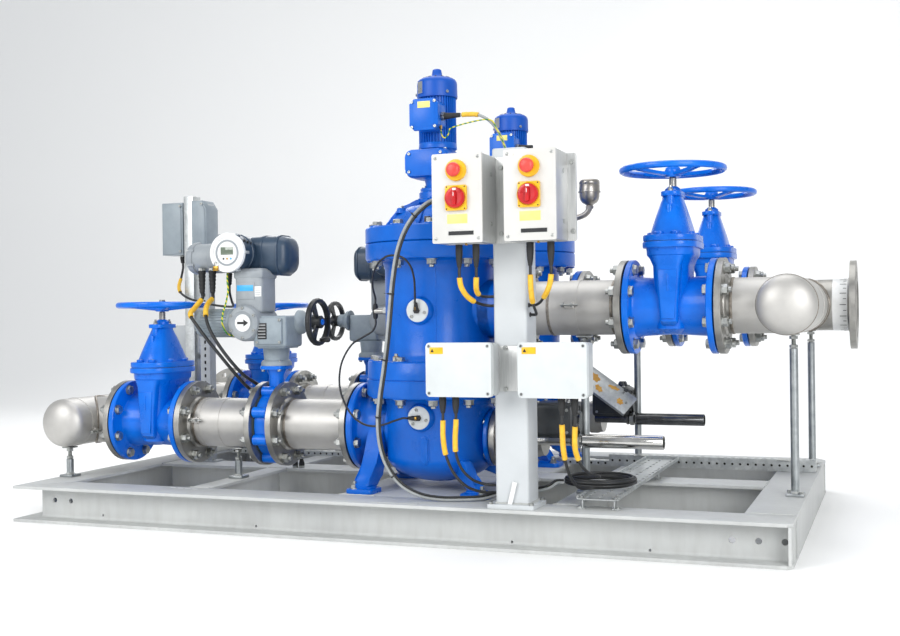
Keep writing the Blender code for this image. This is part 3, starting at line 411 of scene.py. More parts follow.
def finishPiece(name, bm, used, body="package", nodes=()):
    mesh = bpy.data.meshes.new(name)
    bmesh.ops.transform(bm, matrix=Matrix.Translation(planShift), verts=bm.verts)
    bm.normal_update()
    bm.to_mesh(mesh)
    bm.free()
    for key in used:
        mesh.materials.append(finishes[key])
    mesh.set_sharp_from_angle(angle=sharpFrom)
    obj = bpy.data.objects.new(name, mesh)
    bpy.context.scene.collection.objects.link(obj)
    if nodes:
        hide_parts(*nodes)
    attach(obj, body)
    return obj


# Geometry Nodes: one tree sets copies round a circle, the other sets them along a line
def startTree(name, sizes):
    tree = bpy.data.node_groups.new(name, "GeometryNodeTree")
    tree.interface.new_socket("Geometry", in_out="OUTPUT", socket_type="NodeSocketGeometry")
    for label, kind in sizes:
        tree.interface.new_socket(label, in_out="INPUT", socket_type=kind)
    return tree, addNode(tree, "NodeGroupInput"), addNode(tree, "NodeGroupOutput")


def endTree(tree, given, result, copies):
    solid = addNode(tree, "GeometryNodeRealizeInstances", links={"Geometry": copies})
    coated = addNode(tree, "GeometryNodeSetMaterial",
                     links={"Geometry": solid.outputs["Geometry"],
                            "Material": given.outputs["Finish"]})
    tree.links.new(coated.outputs["Geometry"], result.inputs["Geometry"])


def ringTree():
    tree, given, result = startTree("copies round a circle",
                                    [("Part", "NodeSocketObject"), ("Count", "NodeSocketInt"),
                                     ("Radius", "NodeSocketFloat"), ("Start", "NodeSocketFloat"),
                                     ("Step", "NodeSocketFloat"),
                                     ("Finish", "NodeSocketMaterial")])
    points = addNode(tree, "GeometryNodeMeshLine", {"Offset": (0, 0, 0)},
                     {"Count": given.outputs["Count"]})
    index = addNode(tree, "GeometryNodeInputIndex")
    turned = addNode(tree, "ShaderNodeMath",
                     links={0: index.outputs["Index"], 1: given.outputs["Step"],
                            2: given.outputs["Start"]}, operation="MULTIPLY_ADD")
    angles = addNode(tree, "ShaderNodeCombineXYZ", links={"Z": turned.outputs["Value"]})
    part = addNode(tree, "GeometryNodeObjectInfo", links={"Object": given.outputs["Part"]})
    shifted = addNode(tree, "ShaderNodeCombineXYZ", links={"X": given.outputs["Radius"]})
    moved = addNode(tree, "GeometryNodeTransform",
                    links={"Geometry": part.outputs["Geometry"],
                           "Translation": shifted.outputs["Vector"]})
    copies = addNode(tree, "GeometryNodeInstanceOnPoints",
                     links={"Points": points.outputs["Mesh"],
                            "Instance": moved.outputs["Geometry"],
                            "Rotation": angles.outputs["Vector"]})
    endTree(tree, given, result, copies.outputs["Instances"])
    return tree


def rowTree():
    tree, given, result = startTree("copies along a line",
                                    [("Part", "NodeSocketObject"), ("Count", "NodeSocketInt"),
                                     ("Spacing", "NodeSocketVector"),
                                     ("Finish", "NodeSocketMaterial")])
    points = addNode(tree, "GeometryNodeMeshLine",
                     links={"Count": given.outputs["Count"], "Offset": given.outputs["Spacing"]})
    part = addNode(tree, "GeometryNodeObjectInfo", links={"Object": given.outputs["Part"]})
    copies = addNode(tree, "GeometryNodeInstanceOnPoints",
                     links={"Points": points.outputs["Mesh"],
                            "Instance": part.outputs["Geometry"]})
    endTree(tree, given, result, copies.outputs["Instances"])
    return tree


trees = {"ring": ringTree(), "row": rowTree()}


def repeated(kind, build, **sizes):
    # build draws one copy in a bmesh; the tree repeats it and the result is a plain mesh
    bm = bmesh.new()
    build(bm)
    one = bpy.data.meshes.new("one copy")
    bm.to_mesh(one)
    bm.free()
    part = bpy.data.objects.new("one copy", one)
    carrier = bpy.data.objects.new("repeated", bpy.data.meshes.new("repeated"))
    for obj in (part, carrier):
        bpy.context.scene.collection.objects.link(obj)
    modifier = carrier.modifiers.new("copies", "NODES")
    modifier.node_group = trees[kind]
    sizes["Part"] = part
    sizes["Finish"] = finishes["zincBolt"]
    for item in trees[kind].interface.items_tree:
        if item.in_out == "INPUT":
            modifier[item.identifier] = sizes[item.name]
    graph = bpy.context.evaluated_depsgraph_get()
    mesh = bpy.data.meshes.new_from_object(carrier.evaluated_get(graph))
    mesh.materials.clear()
    for obj in (carrier, part):
        bpy.data.objects.remove(obj, do_unlink=True)
    return mesh


def roundCircle(build, count, radius, start=0.0):
    return repeated("ring", build, Count=count, Radius=radius, Start=radians(start),
                    Step=2 * pi / count)


def alongLine(build, count, spacing):
    return repeated("row", build, Count=count, Spacing=spacing)


def nutOnStud(size, out=0.01):
    # washer, hexagon nut and the stud's end, standing on a flange
    def build(bm):
        addTurned(bm, disc(size * 0.92, 0.003, 0), (0, 0, 0), sides=14)
        addHex(bm, size * 0.8, size * 0.78, (0, 0, 0.003 + size * 0.39))
        addRod(bm, size * 0.42, out, (0, 0, 0.003 + size * 0.78 + out / 2), sides=8, edge=0.001)
    return build


def boltHead(size):
    def build(bm):
        addTurned(bm, disc(size * 0.9, 0.0025, 0), (0, 0, 0), sides=12)
        addHex(bm, size * 0.78, size * 0.55, (0, 0, 0.0025 + size * 0.27))
    return build


flangeNuts = roundCircle(nutOnStud(0.02), 8, plan["boltCircle"], 22.5)
flangeHeads = roundCircle(boltHead(0.02), 8, plan["boltCircle"], 22.5)
print("bolt circles made")

# Camera, as solved from the flanges, the frame and the columns in the photograph
cameraSet = {"lens": 47.19, "sensor": 36.0, "place": (1.5053, -3.9423, 0.6734), "yaw": 20.959,
             "pitch": 0.1241, "roll": -0.7296}


def makeCamera(settings):
    yaw, pitch, roll = (radians(settings[k]) for k in ("yaw", "pitch", "roll"))
    ahead = Vector((-sin(yaw) * cos(pitch), cos(yaw) * cos(pitch), -sin(pitch)))
    right = Vector((cos(yaw), sin(yaw), 0))
    up = right.cross(ahead)
    level, upright = right * cos(roll) + up * sin(roll), up * cos(roll) - right * sin(roll)
    data = bpy.data.cameras.new("camera")
    data.lens, data.sensor_width = settings["lens"], settings["sensor"]
    camera = bpy.data.objects.new("camera", data)
    turned = Matrix((level, upright, -ahead)).transposed().to_4x4()
    camera.matrix_world = Matrix.Translation(Vector(settings["place"]) + planShift) @ turned
    bpy.context.scene.collection.objects.link(camera)
    bpy.context.scene.camera = camera


makeCamera(cameraSet)

studio = {"floor": "#fafaf9", "size": 16.0, "backdropY": 5.5, "curve": 2.0,
          "lamps": [("key", (-2.6, -5.2, 3.2), 3.0, 175), ("fill", (4.2, -4.8, 2.4), 3.0, 205),
                    ("top", (0.0, 0.6, 4.8), 4.0, 105), ("back", (-2.5, 4.0, 3.4), 2.5, 60)],
          "skyTint": (0.521, 0.538, 0.56, 1.0), "seenTint": (1.0, 1.0, 1.0, 1.0)}


def makeStudio(settings):
    bm = bmesh.new()
    half = settings["size"] / 2
    curve, wall = settings["curve"], settings["backdropY"]
    section = [(-half, 0.0)]
    for k in range(13):
        t = radians(90 * k / 12)
        section.append((wall - curve + curve * sin(t), curve - curve * cos(t)))
    section.append((wall, 7.0))
    rows = [[bm.verts.new((x, y, z)) for y, z in section] for x in (-half, half)]
    for k in range(len(section) - 1):
        face = bm.faces.new((rows[0][k], rows[1][k], rows[1][k + 1], rows[0][k + 1]))
        face.smooth = True
    mesh = bpy.data.meshes.new("studio_floor")
    bm.to_mesh(mesh)
    bm.free()
    floor = bpy.data.objects.new("studio_floor", mesh)
    paper = bpy.data.materials.new("studioPaper")
    paper.use_nodes = True
    shader = paper.node_tree.nodes["Principled BSDF"]
    shader.inputs["Base Color"].default_value = linear(settings["floor"])
    shader.inputs["Roughness"].default_value = 0.9
    mesh.materials.append(paper)
    bpy.context.scene.collection.objects.link(floor)
    world = bpy.data.worlds.new("studio")
    bpy.context.scene.world = world
    world.use_nodes = True
    # the sky lights the object softly, and the camera sees it as plain white all around
    tree = world.node_tree
    ray = addNode(tree, "ShaderNodeLightPath")
    tint = addNode(tree, "ShaderNodeMix", {"A": settings["skyTint"], "B": settings["seenTint"]},
                   {"Factor": ray.outputs["Is Camera Ray"]}, data_type="RGBA")
    tree.links.new(tint.outputs["Result"], tree.nodes["Background"].inputs["Color"])
    for name, place, size, power in settings["lamps"]:
        data = bpy.data.lights.new(name, "AREA")
        data.size, data.energy = size, power
        lamp = bpy.data.objects.new(name, data)
        lamp.location = place
        lamp.rotation_euler = (Vector((0, 0, 0.6))
                               - Vector(place)).to_track_quat("-Z", "Y").to_euler()
        bpy.context.scene.collection.objects.link(lamp)
    bpy.context.scene.view_settings.view_transform = "Standard"
    bpy.context.scene.view_settings.look = "None"


makeStudio(studio)
print("camera and studio made")


# Cords. Each route is the one that the solids follow, through the same points.
columnX, columnHalf = 0.4605, 0.05
columnLeft = columnX - columnHalf - plan["gap"]
columnRight = columnX + columnHalf + plan["gap"]
junctionY, boxGlandY = -0.782, -0.8083
streamFront = plan["streams"]["front"]
coil = {"centre": (0.665, -0.515, 0.1793), "radius": 0.095, "thick": 0.018, "wire": 0.009,
        "turns": 6.83}
touch = coil["radius"] + coil["thick"] + 0.0012


def besideCoil(away):
    # a point at the coil's height, on the side where the bundle reaches it
    x, y, z = coil["centre"]
    return (x - 0.84 * away, y - 0.5426 * away, z)


routes = {
    "bundle": [
        (columnLeft, -0.69, 1.004), (0.38, -0.69, 1.004), (0.34, -0.692, 1.01),
        (0.28, -0.705, 1.018), (0.225, -0.728, 1.01), (0.18, -0.738, 0.978),
        (0.143, -0.74, 0.93), (0.115, -0.738, 0.865), (0.098, -0.738, 0.78),
        (0.088, -0.738, 0.69), (0.078, -0.738, 0.6), (0.064, -0.736, 0.51),
        (0.049, -0.732, 0.43), (0.04, -0.727, 0.355), (0.044, -0.721, 0.285),
        (0.062, -0.714, 0.225), (0.1, -0.705, 0.172), (0.155, -0.692, 0.14),
        (0.22, -0.682, 0.1296), (0.285, -0.664, 0.1296), (0.335, -0.638, 0.131),
        (0.38, -0.621, 0.142), (0.43, -0.614, 0.148), (0.49, -0.615, 0.156),
        (0.535, -0.616, 0.168), besideCoil(touch + 0.022), besideCoil(touch)],
    "motor": [
        (0.2233, streamFront - 0.095, 1.3), (0.248, streamFront - 0.095, 1.3),
        (0.285, -0.484, 1.295), (0.322, -0.49, 1.273), (0.353, -0.501, 1.236),
        (0.378, -0.517, 1.188), (0.397, -0.532, 1.142), (0.416, -0.548, 1.104),
        (0.432, -0.567, 1.075), (0.44, -0.593, 1.058), (0.44, -0.6147, 1.058)],
    "sensor_lead_top": [
        (0.109, -0.596, 0.7143), (0.109, -0.596, 0.73), (0.112, -0.604, 0.757),
        (0.118, -0.624, 0.79), (0.115, -0.645, 0.826), (0.092, -0.655, 0.852),
        (0.047, -0.648, 0.858), (0.0, -0.615, 0.842), (-0.045, -0.56, 0.812),
        (-0.08, -0.495, 0.78), (-0.1, -0.445, 0.757), (-0.105, streamFront - 0.033, 0.734),
        (-0.105, streamFront - 0.033, 0.7153)],
    "sensor_lead_low": [
        (0.0777, -0.596, 0.358), (0.063, -0.596, 0.358), (0.038, -0.604, 0.35),
        (0.008, -0.617, 0.339), (-0.025, -0.622, 0.334), (-0.065, -0.61, 0.339),
        (-0.115, -0.58, 0.36), (-0.162, -0.545, 0.402), (-0.194, -0.512, 0.458),
        (-0.203, -0.475, 0.524), (-0.182, -0.445, 0.58), (-0.148, -0.426, 0.606),
        (-0.118, -0.4205, 0.624), (-0.105, streamFront - 0.033, 0.646),
        (-0.105, streamFront - 0.033, 0.6647)],
    "actuator_lead_a": [
        (-0.7666, -0.417, 0.7597), (-0.7666, -0.417, 0.744), (-0.7735, -0.452, 0.712),
        (-0.766, -0.493, 0.688), (-0.734, -0.506, 0.652), (-0.69, -0.512, 0.604),
        (-0.645, -0.502, 0.548), (-0.61, -0.468, 0.487), (-0.594, -0.412, 0.437),
        (-0.592, -0.345, 0.407), (-0.592, -0.275, 0.345), (-0.59, -0.214, 0.272),
        (-0.589, -0.16, 0.22), (-0.588, -0.112, 0.198), (-0.588, -0.09, 0.172),
        (-0.588, -0.09, 0.1503)],
    "actuator_lead_b": [
        (-0.7246, -0.417, 0.7597), (-0.7246, -0.417, 0.744), (-0.721, -0.452, 0.725),
        (-0.707, -0.49, 0.697), (-0.684, -0.515, 0.654), (-0.65, -0.523, 0.602),
        (-0.61, -0.508, 0.54), (-0.58, -0.466, 0.484), (-0.569, -0.405, 0.452),
        (-0.568, -0.338, 0.424), (-0.568, -0.264, 0.353), (-0.566, -0.204, 0.282),
        (-0.565, -0.156, 0.232), (-0.564, -0.107, 0.206), (-0.564, -0.085, 0.176),
        (-0.564, -0.085, 0.1503)],
    "stand_lead": [
        (-1.135, 0.02, 0.8917), (-1.135, 0.02, 0.872), (-1.13, 0.0, 0.836),
        (-1.119, -0.033, 0.802), (-1.092, -0.064, 0.776), (-1.042, -0.09, 0.753),
        (-0.965, -0.112, 0.734), (-0.885, -0.14, 0.722), (-0.805, -0.182, 0.716),
        (-0.745, -0.25, 0.718), (-0.708, -0.32, 0.734), (-0.6936, -0.357, 0.764),
        (-0.6936, -0.357, 0.7897)],
    "box_left_lead_a": [
        (0.335, boxGlandY, 0.8077), (0.335, boxGlandY, 0.785), (0.337, -0.802, 0.756),
        (0.345, -0.783, 0.731), (0.357, -0.756, 0.714), (0.373, -0.727, 0.704),
        (0.391, -0.711, 0.7), (columnLeft, -0.711, 0.7)],
    "box_left_lead_b": [
        (0.386, boxGlandY, 0.8077), (0.386, boxGlandY, 0.785), (0.383, -0.803, 0.761),
        (0.378, -0.785, 0.743), (0.376, -0.76, 0.732), (0.38, -0.736, 0.727),
        (0.393, -0.721, 0.726), (columnLeft, -0.721, 0.726)],
    "box_right_lead_a": [
        (0.545, boxGlandY, 0.8077), (0.545, boxGlandY, 0.785), (0.544, -0.803, 0.752),
        (0.541, -0.785, 0.722), (0.538, -0.757, 0.697), (0.535, -0.727, 0.681),
        (0.528, -0.704, 0.673), (columnRight, -0.704, 0.673)],
    "box_right_lead_b": [
        (0.605, boxGlandY, 0.8077), (0.605, boxGlandY, 0.785), (0.599, -0.803, 0.757),
        (0.585, -0.787, 0.734), (0.567, -0.763, 0.718), (0.55, -0.736, 0.707),
        (0.53, -0.716, 0.7), (columnRight, -0.716, 0.7)],
    "junction_lead_a": [
        (0.269, junctionY, 0.3917), (0.269, junctionY, 0.365), (0.269, -0.782, 0.32),
        (0.275, -0.775, 0.268), (0.293, -0.758, 0.215), (0.322, -0.732, 0.176),
        (0.357, -0.696, 0.157), (0.388, -0.673, 0.154), (columnLeft, -0.673, 0.154)],
    "junction_lead_b": [
        (0.309, junctionY, 0.3917), (0.309, junctionY, 0.365), (0.306, -0.782, 0.322),
        (0.306, -0.777, 0.276), (0.317, -0.762, 0.232), (0.338, -0.735, 0.199),
        (0.365, -0.706, 0.182), (0.392, -0.691, 0.178), (columnLeft, -0.691, 0.178)],
}


def smoothRoute(points, spacing=0.006):
    # an even walk along the smooth curve that goes through the given points
    ends = [Vector(p) for p in points]
    ends = [2 * ends[0] - ends[1]] + ends + [2 * ends[-1] - ends[-2]]
    fine = []
    for k in range(1, len(ends) - 2):
        a, b, c, d = ends[k - 1:k + 3]
        for i in range(24):
            t = i / 24
            fine.append(0.5 * (2 * b + (c - a) * t + (2 * a - 5 * b + 4 * c - d) * t ** 2
                               + (3 * b - a - 3 * c + d) * t ** 3))
    fine.append(ends[-2])
    total = sum((q - p).length for p, q in zip(fine, fine[1:]))
    count = max(8, round(total / spacing))
    walk, done, k = [fine[0]], 0.0, 0
    for i in range(1, count):
        want = total * i / count
        while done + (fine[k + 1] - fine[k]).length < want:
            done += (fine[k + 1] - fine[k]).length
            k += 1
        walk.append(fine[k].lerp(fine[k + 1], (want - done) / (fine[k + 1] - fine[k]).length))
    return walk + [fine[-1]]


def strand(path, away, angle):
    # the same route, moved sideways by a fixed amount, for one of several cords tied together
    moved = []
    side = Vector((0, 1, 0))
    for i, point in enumerate(path):
        ahead = (path[min(i + 1, len(path) - 1)] - path[max(i - 1, 0)]).normalized()
        side = (side - ahead * side.dot(ahead)).normalized()
        other = ahead.cross(side)
        moved.append(point + (side * cos(angle) + other * sin(angle)) * away)
    return moved


def makeCord(name, path, diameter, finish, nodes):
    data = bpy.data.curves.new(name, "CURVE")
    data.dimensions = "3D"
    data.bevel_depth = diameter / 2
    data.bevel_resolution = 3
    data.use_fill_caps = True
    spline = data.splines.new("POLY")
    spline.points.add(len(path) - 1)
    for point, at in zip(spline.points, path):
        point.co = (*(at + planShift), 1)
    spline.use_smooth = True
    data.materials.append(finishes[finish])
    obj = bpy.data.objects.new(name, data)
    bpy.context.scene.collection.objects.link(obj)
    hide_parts(*nodes)
    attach(obj, "package")


def makeSleeve(name, path, start, end, radius):
    # a marker sleeve pushed over the cord; start and end are shares of the route
    first, last = int(start * (len(path) - 1)), int(end * (len(path) - 1))
    stretch = path[first:last + 1]
    bm = bmesh.new()
    addSweep(bm, stretch, radius, 14)
    return finishPiece(name, bm, ["yellowSleeve"])


def makeTies(name, path, shares, radius):
    bm = bmesh.new()
    for share in shares:
        k = int(share * (len(path) - 1))
        k = min(max(k, 1), len(path) - 2)
        ahead = (path[k + 1] - path[k - 1]).normalized()
        turn = ahead.to_track_quat("Z", "Y").to_matrix().to_4x4()
        addTurned(bm, band(radius - 0.001, radius + 0.0007, 0.0022, -0.0022), path[k], turn, 16)
        addBox(bm, (0.005, 0.0045, 0.005), path[k] + turn.to_3x3()
               @ Vector((0, radius + 0.002, 0)), turn=turn, round=0.0008)
        addBox(bm, (0.0026, 0.014, 0.0012), path[k] + turn.to_3x3()
               @ Vector((0, radius + 0.009, 0)), turn=turn)
    return finishPiece(name, bm, ["blackPlastic"])


# name, solid, spacing of the drawn points, diameter, sleeve's share of the route and radius
leads = [
    ("sensor_lead_top", "lead_sensor_top", 0.004, 0.0065, None, None),
    ("sensor_lead_low", "lead_sensor_low", 0.004, 0.0065, None, None),
    ("actuator_lead_a", "lead_actuator_a", 0.006, 0.0115, (0.03, 0.14), 0.0092),
    ("actuator_lead_b", "lead_actuator_b", 0.006, 0.0115, (0.03, 0.14), 0.0092),
    ("stand_lead", "lead_stand", 0.006, 0.009, (0.1, 0.22), 0.007),
    ("box_left_lead_a", "lead_box_left", 0.004, 0.0085, (0.15, 0.62), 0.0078),
    ("box_left_lead_b", "lead_box_left", 0.004, 0.0085, (0.18, 0.6), 0.0078),
    ("box_right_lead_a", "lead_box_right", 0.004, 0.0085, (0.12, 0.55), 0.0078),
    ("box_right_lead_b", "lead_box_right", 0.004, 0.0085, (0.12, 0.55), 0.0078),
    ("junction_lead_a", "lead_junction_left", 0.004, 0.0085, (0.06, 0.34), 0.0078),
    ("junction_lead_b", "lead_junction_left", 0.004, 0.0085, (0.06, 0.36), 0.0078)]


def makeCords():
    bundle = smoothRoute(routes["bundle"])
    ties = makeTies("bundle_ties", bundle, (0.165, 0.315, 0.44, 0.545, 0.66), 0.0085)
    makeCord("bundle_grey_cable", strand(bundle, 0.0036, -1.35), 0.009, "greyJacket",
             ["lead_bundle"])
    makeCord("bundle_black_cable", strand(bundle, 0.0047, 1.35), 0.007, "blackJacket",
             ["lead_bundle"])
    makeCord("bundle_earth_wire", strand(bundle, 0.0052, 0.1), 0.005, "earthJacket",
             ["lead_bundle"])
    motor = smoothRoute(routes["motor"])
    sleeve = makeSleeve("motor_lead_sleeve", motor, 0.02, 0.15, 0.0078)
    makeCord("motor_lead", strand(motor, 0.0012, 0.0), 0.0095, "greyJacket", ["lead_motor"])
    # earth wire: out under the terminal box, up to the motor lead and along it
    mx, my = plan["vesselX"], motor[0].y
    along = [p + Vector((0.004, -0.0078, -0.002)) for p in motor[16:-4:8]]
    wire = smoothRoute([(mx + 0.044, my + 0.01, 1.262), (mx + 0.048, my + 0.004, 1.248),
                        (mx + 0.054, my, 1.236), (mx + 0.063, my, 1.232),
                        (mx + 0.076, my - 0.004, 1.243), (mx + 0.092, my - 0.008, 1.262)]
                       + [tuple(p) for p in along], 0.005)
    makeCord("motor_earth_wire", wire, 0.0042, "earthJacket", ["lead_motor"])
    for name, node, spacing, diameter, span, sleeveRadius in leads:
        path = smoothRoute(routes[name], spacing)
        sleeves = [makeSleeve(name + "_sleeve", path, *span, sleeveRadius)] if span else []
        makeCord(name, path, diameter, "blackJacket", [node])


def makeCoil(settings):
    # one cable leaves the right junction box, lies in a coil and goes back to the box; spots
    # holds each turn's place in the pile, in wire diameters outwards and up
    cx, cy, cz = settings["centre"]
    wire, ring = settings["wire"], settings["radius"]
    down = [(0.623, junctionY, 0.3917), (0.623, junctionY, 0.365), (0.624, -0.772, 0.29),
            (0.628, -0.735, 0.226), (0.634, -0.69, 0.19), (0.641, -0.653, 0.173),
            (0.655, -0.624, 0.1695)]
    spots = [(0, -1), (-1, -0.5), (-1, 0.5), (0, 0), (1, -0.5), (1, 0.5), (0, 1)]
    steps = 18
    total = settings["turns"] * steps
    winding = []
    for k in range(int(total) + 1):
        turn = k / steps
        low, high = (spots[min(int(turn) + n, len(spots) - 1)] for n in (0, 1))
        share = turn - int(turn)
        share = share * share * (3 - 2 * share)
        out, rise = (low[i] * (1 - share) + high[i] * share for i in (0, 1))
        angle = radians(-78) + 2 * pi * turn
        reach = ring + out * wire * 0.95
        winding.append((cx + reach * cos(angle), cy + reach * sin(angle), cz + rise * wire * 0.98))
    up = [(0.69, -0.64, 0.205), (0.676, -0.69, 0.222), (0.664, -0.735, 0.25), (0.657, -0.772, 0.3),
          (0.66, junctionY, 0.365), (0.66, junctionY, 0.3917)]
    path = smoothRoute(down + winding + up, 0.005)
    sleeves = [makeSleeve("coil_lead_sleeve_down", path, 0.006, 0.026, 0.0078),
               makeSleeve("coil_lead_sleeve_up", path, 0.974, 0.994, 0.0078)]
    makeCord("coil_lead", path, wire, "blackJacket", ["lead_coil"])


makeCords()
makeCoil(coil)
print("cords made")


# Base frame. Rolled beams mitred at the left corners, welded members between them.
base = {"left": -1.29, "right": 1.235, "front": -0.77, "back": 0.68, "width": 0.14, "height": 0.12,
        "flange": 0.01, "web": 0.008, "root": 0.01, "midY": -0.045,
        "webHoles": [(-1.171, 0.0674, 0.0085), (-1.106, 0.0669, 0.0085), (1.0708, 0.0584, 0.009),
                     (1.1406, 0.0592, 0.009), (1.2094, 0.06, 0.009), (-0.976, 0.0246, 0.004),
                     (-0.3965, 0.019, 0.004), (0.4475, 0.0175, 0.004), (0.848, 0.0175, 0.004)],
        "members": mm((-648, 75), (-81, 120), (299, 120), (588, 75))}


def flare(width, height, web, root, side):
    # the web of a beam with the rounded roots that join it to the flanges
    a, b = -web / 2, web / 2
    shift = side * (width - web) / 2
    half = height / 2
    points = []
    for edge, up in ((b, -1), (b, 1), (a, 1), (a, -1)):
        outward = 1 if edge == b else -1
        if side == outward:
            points.append((edge + shift, up * half))
            continue
        arc = [(edge + shift + outward * root * (1 - sin(t)), up * (half - root * (1 - cos(t))))
               for t in (radians(90 * k / 4) for k in range(5))]
        points += arc if (up == -1) == (outward == 1) else arc[::-1]
    return points


def addBeamWeb(bm, settings, start, end, at, along, side=0):
    inner = settings["height"] - 2 * settings["flange"] + 0.001
    outline = flare(settings["width"], inner, settings["web"], settings["root"], side)
    middle = (start + end) / 2
    if along == "X":
        outline = [(v, u) for u, v in reversed(outline)]
        addPlate(bm, outline, end - start, (middle, at, settings["height"] / 2), "X")
    else:
        addPlate(bm, outline, end - start, (at, middle, settings["height"] / 2), "Y")


def addFlat(bm, outline, low, high, finish=0, round=0.0012):
    addPlate(bm, outline, high - low, (0, 0, (low + high) / 2), "Z", finish, round)


def rectangle(x0, x1, y0, y1):
    return [(x0, y0), (x1, y0), (x1, y1), (x0, y1)]


def cutHoles(bm, build, used=("framePaint",)):
    # takes the shapes drawn by build out of the shapes in the bmesh
    meshes = []
    cutters = bmesh.new()
    build(cutters)
    for source in (bm, cutters):
        mesh = bpy.data.meshes.new("carving")
        source.to_mesh(mesh)
        for key in used:
            mesh.materials.append(finishes[key])
        meshes.append(bpy.data.objects.new("carving", mesh))
        bpy.context.scene.collection.objects.link(meshes[-1])
    cutters.free()
    modifier = meshes[0].modifiers.new("cut", "BOOLEAN")
    modifier.operation, modifier.solver, modifier.object = "DIFFERENCE", "EXACT", meshes[1]
    graph = bpy.context.evaluated_depsgraph_get()
    carved = bpy.data.meshes.new_from_object(meshes[0].evaluated_get(graph))
    bm.clear()
    bm.from_mesh(carved)
    for obj in meshes:
        bpy.data.objects.remove(obj, do_unlink=True)


def addBead(bm, start, end, radius=0.003, finish=1):
    # a run of weld with a slightly uneven width
    a, b = Vector(start), Vector(end)
    count = max(4, int((b - a).length / 0.008))
    path = [a.lerp(b, k / count) for k in range(count + 1)]
    widths = [radius * (1 + 0.14 * sin(k * 2.3) + 0.08 * sin(k * 5.1)) for k in range(count + 1)]
    addSweep(bm, path, widths, 6, finish)


def makeBaseFrame(settings):
    x0, x1, y0, y1 = (settings[k] for k in ("left", "right", "front", "back"))
    w, h, f = settings["width"], settings["height"], settings["flange"]
    front, back = y0 + w / 2, y1 - w / 2
    bm = bmesh.new()
    addBeamWeb(bm, settings, x0 + w / 2 - 0.004, x1, front, "X")

    def holes(cutters):
        for x, z, r in settings["webHoles"]:
            addRod(cutters, r, 0.06, (x, front, z), "Y", 20)
    cutHoles(bm, holes)
    addBeamWeb(bm, settings, x0 + w / 2 - 0.004, x1, back, "X")
    addBeamWeb(bm, settings, y0 + w / 2 + 0.004, y1 - w / 2 - 0.004, x0 + w / 2, "Y")
    addBeamWeb(bm, settings, y0 + w, y1 - w, x1 - w / 2, "Y", 1)
    for end in (y0, y1 - w):
        addBox(bm, (settings["web"], w - 0.004, h - 2 * f + 0.001),
               (x1 - 0.008, end + w / 2, h / 2))
    addBeamWeb(bm, settings, x0 + w, x1 - w, settings["midY"], "X")
    cut = 0.016
    for low in (0.0, h - f):
        high = low + f
        addFlat(bm, [(x0, y0), (x1 - cut, y0), (x1, y0 + cut), (x1, y0 + w), (x0 + w, y0 + w)],
                low, high)
        addFlat(bm, [(x0 + w, y1 - w), (x1, y1 - w), (x1, y1 - 3 * cut), (x1 - 2 * cut, y1),
                     (x0, y1)], low, high)
        addFlat(bm, [(x0, y0), (x0 + w, y0 + w), (x0 + w, y1 - w), (x0, y1)], low, high)
        addFlat(bm, rectangle(x1 - w, x1, y0 + w, y1 - w), low, high)
        addFlat(bm, rectangle(x0 + w, x1 - w, settings["midY"] - w / 2, settings["midY"] + w / 2),
                low, high)
    bays = ((y0 + w, settings["midY"] - w / 2), (settings["midY"] + w / 2, y1 - w))
    for start, end in bays:
        for x, wide in settings["members"]:
            member = dict(settings, width=wide)
            addBeamWeb(bm, member, start, end, x, "Y")
            for low in (0.0, h - f):
                addFlat(bm, rectangle(x - wide / 2, x + wide / 2, start, end), low, low + f)
            for y in (start, end):
                addBead(bm, (x - wide / 2, y, h - 0.0005), (x + wide / 2, y, h - 0.0005))
                for side in (-1, 1):
                    addBead(bm, (x + side * (settings["web"] / 2 + 0.001), y, f + 0.008),
                            (x + side * (settings["web"] / 2 + 0.001), y, h - f - 0.008))
        addFlat(bm, rectangle(-0.021, 0.239, start + 0.004, end - 0.004), h - 0.0085, h - 0.0006)
    for y, inward in ((y0 + w, 1), (y1 - w, -1)):
        for x in (x0 + w, x1 - w):
            addBead(bm, (x, y + inward * 0.002, f + 0.004), (x, y + inward * 0.002, h - f - 0.004))
    for y in (y0 + w, y1 - w):
        addBead(bm, (x1 - w + 0.004, y, h - 0.0005), (x1 - 0.004, y, h - 0.0005))
    for x in (x0 + w, x1 - w):
        addBead(bm, (x, settings["midY"] - w / 2, h - 0.0005),
                (x, settings["midY"] + w / 2, h - 0.0005))
    # flat strips left on the top flange beside the column and a few chalk-white rub marks
    addFlat(bm, rectangle(0.02, 0.17, y0 + 0.022, y0 + 0.04), h, h + 0.0012, 0, 0.0004)
    rub = roundedOutline(0.02, 0.006, 0.0025, 3)
    for k in range(4):
        mark = [(u - 0.735 + 0.03 * k, v - 0.655 - 0.003 * k) for u, v in rub]
        addFlat(bm, mark, h, h + 0.0003, 2, 0.0)
    finishPiece("base_frame", bm, ["framePaint", "frameBead", "whitePlastic"],
                nodes=["rail_front", "rail_rear", "rail_mid", "end_left", "end_right",
                       "cross_spool_front", "cross_spool_rear", "cross_post_front",
                       "cross_post_rear", "vessel_bearer_front", "vessel_bearer_rear"])


makeBaseFrame(base)

# Jacks and posts: foot plate, tube, threaded neck with two nuts and a saddle under the pipe
jacks = {"tube": 0.0125, "neck": 0.007, "neckLength": 0.045, "foot": 0.052,
         "low": mm((-1255, -520), (-1255, 250), (-648, -387), (-648, 387)),
         "high": mm((1202, -280), (1202, 440), (588, -387), (588, 387))}


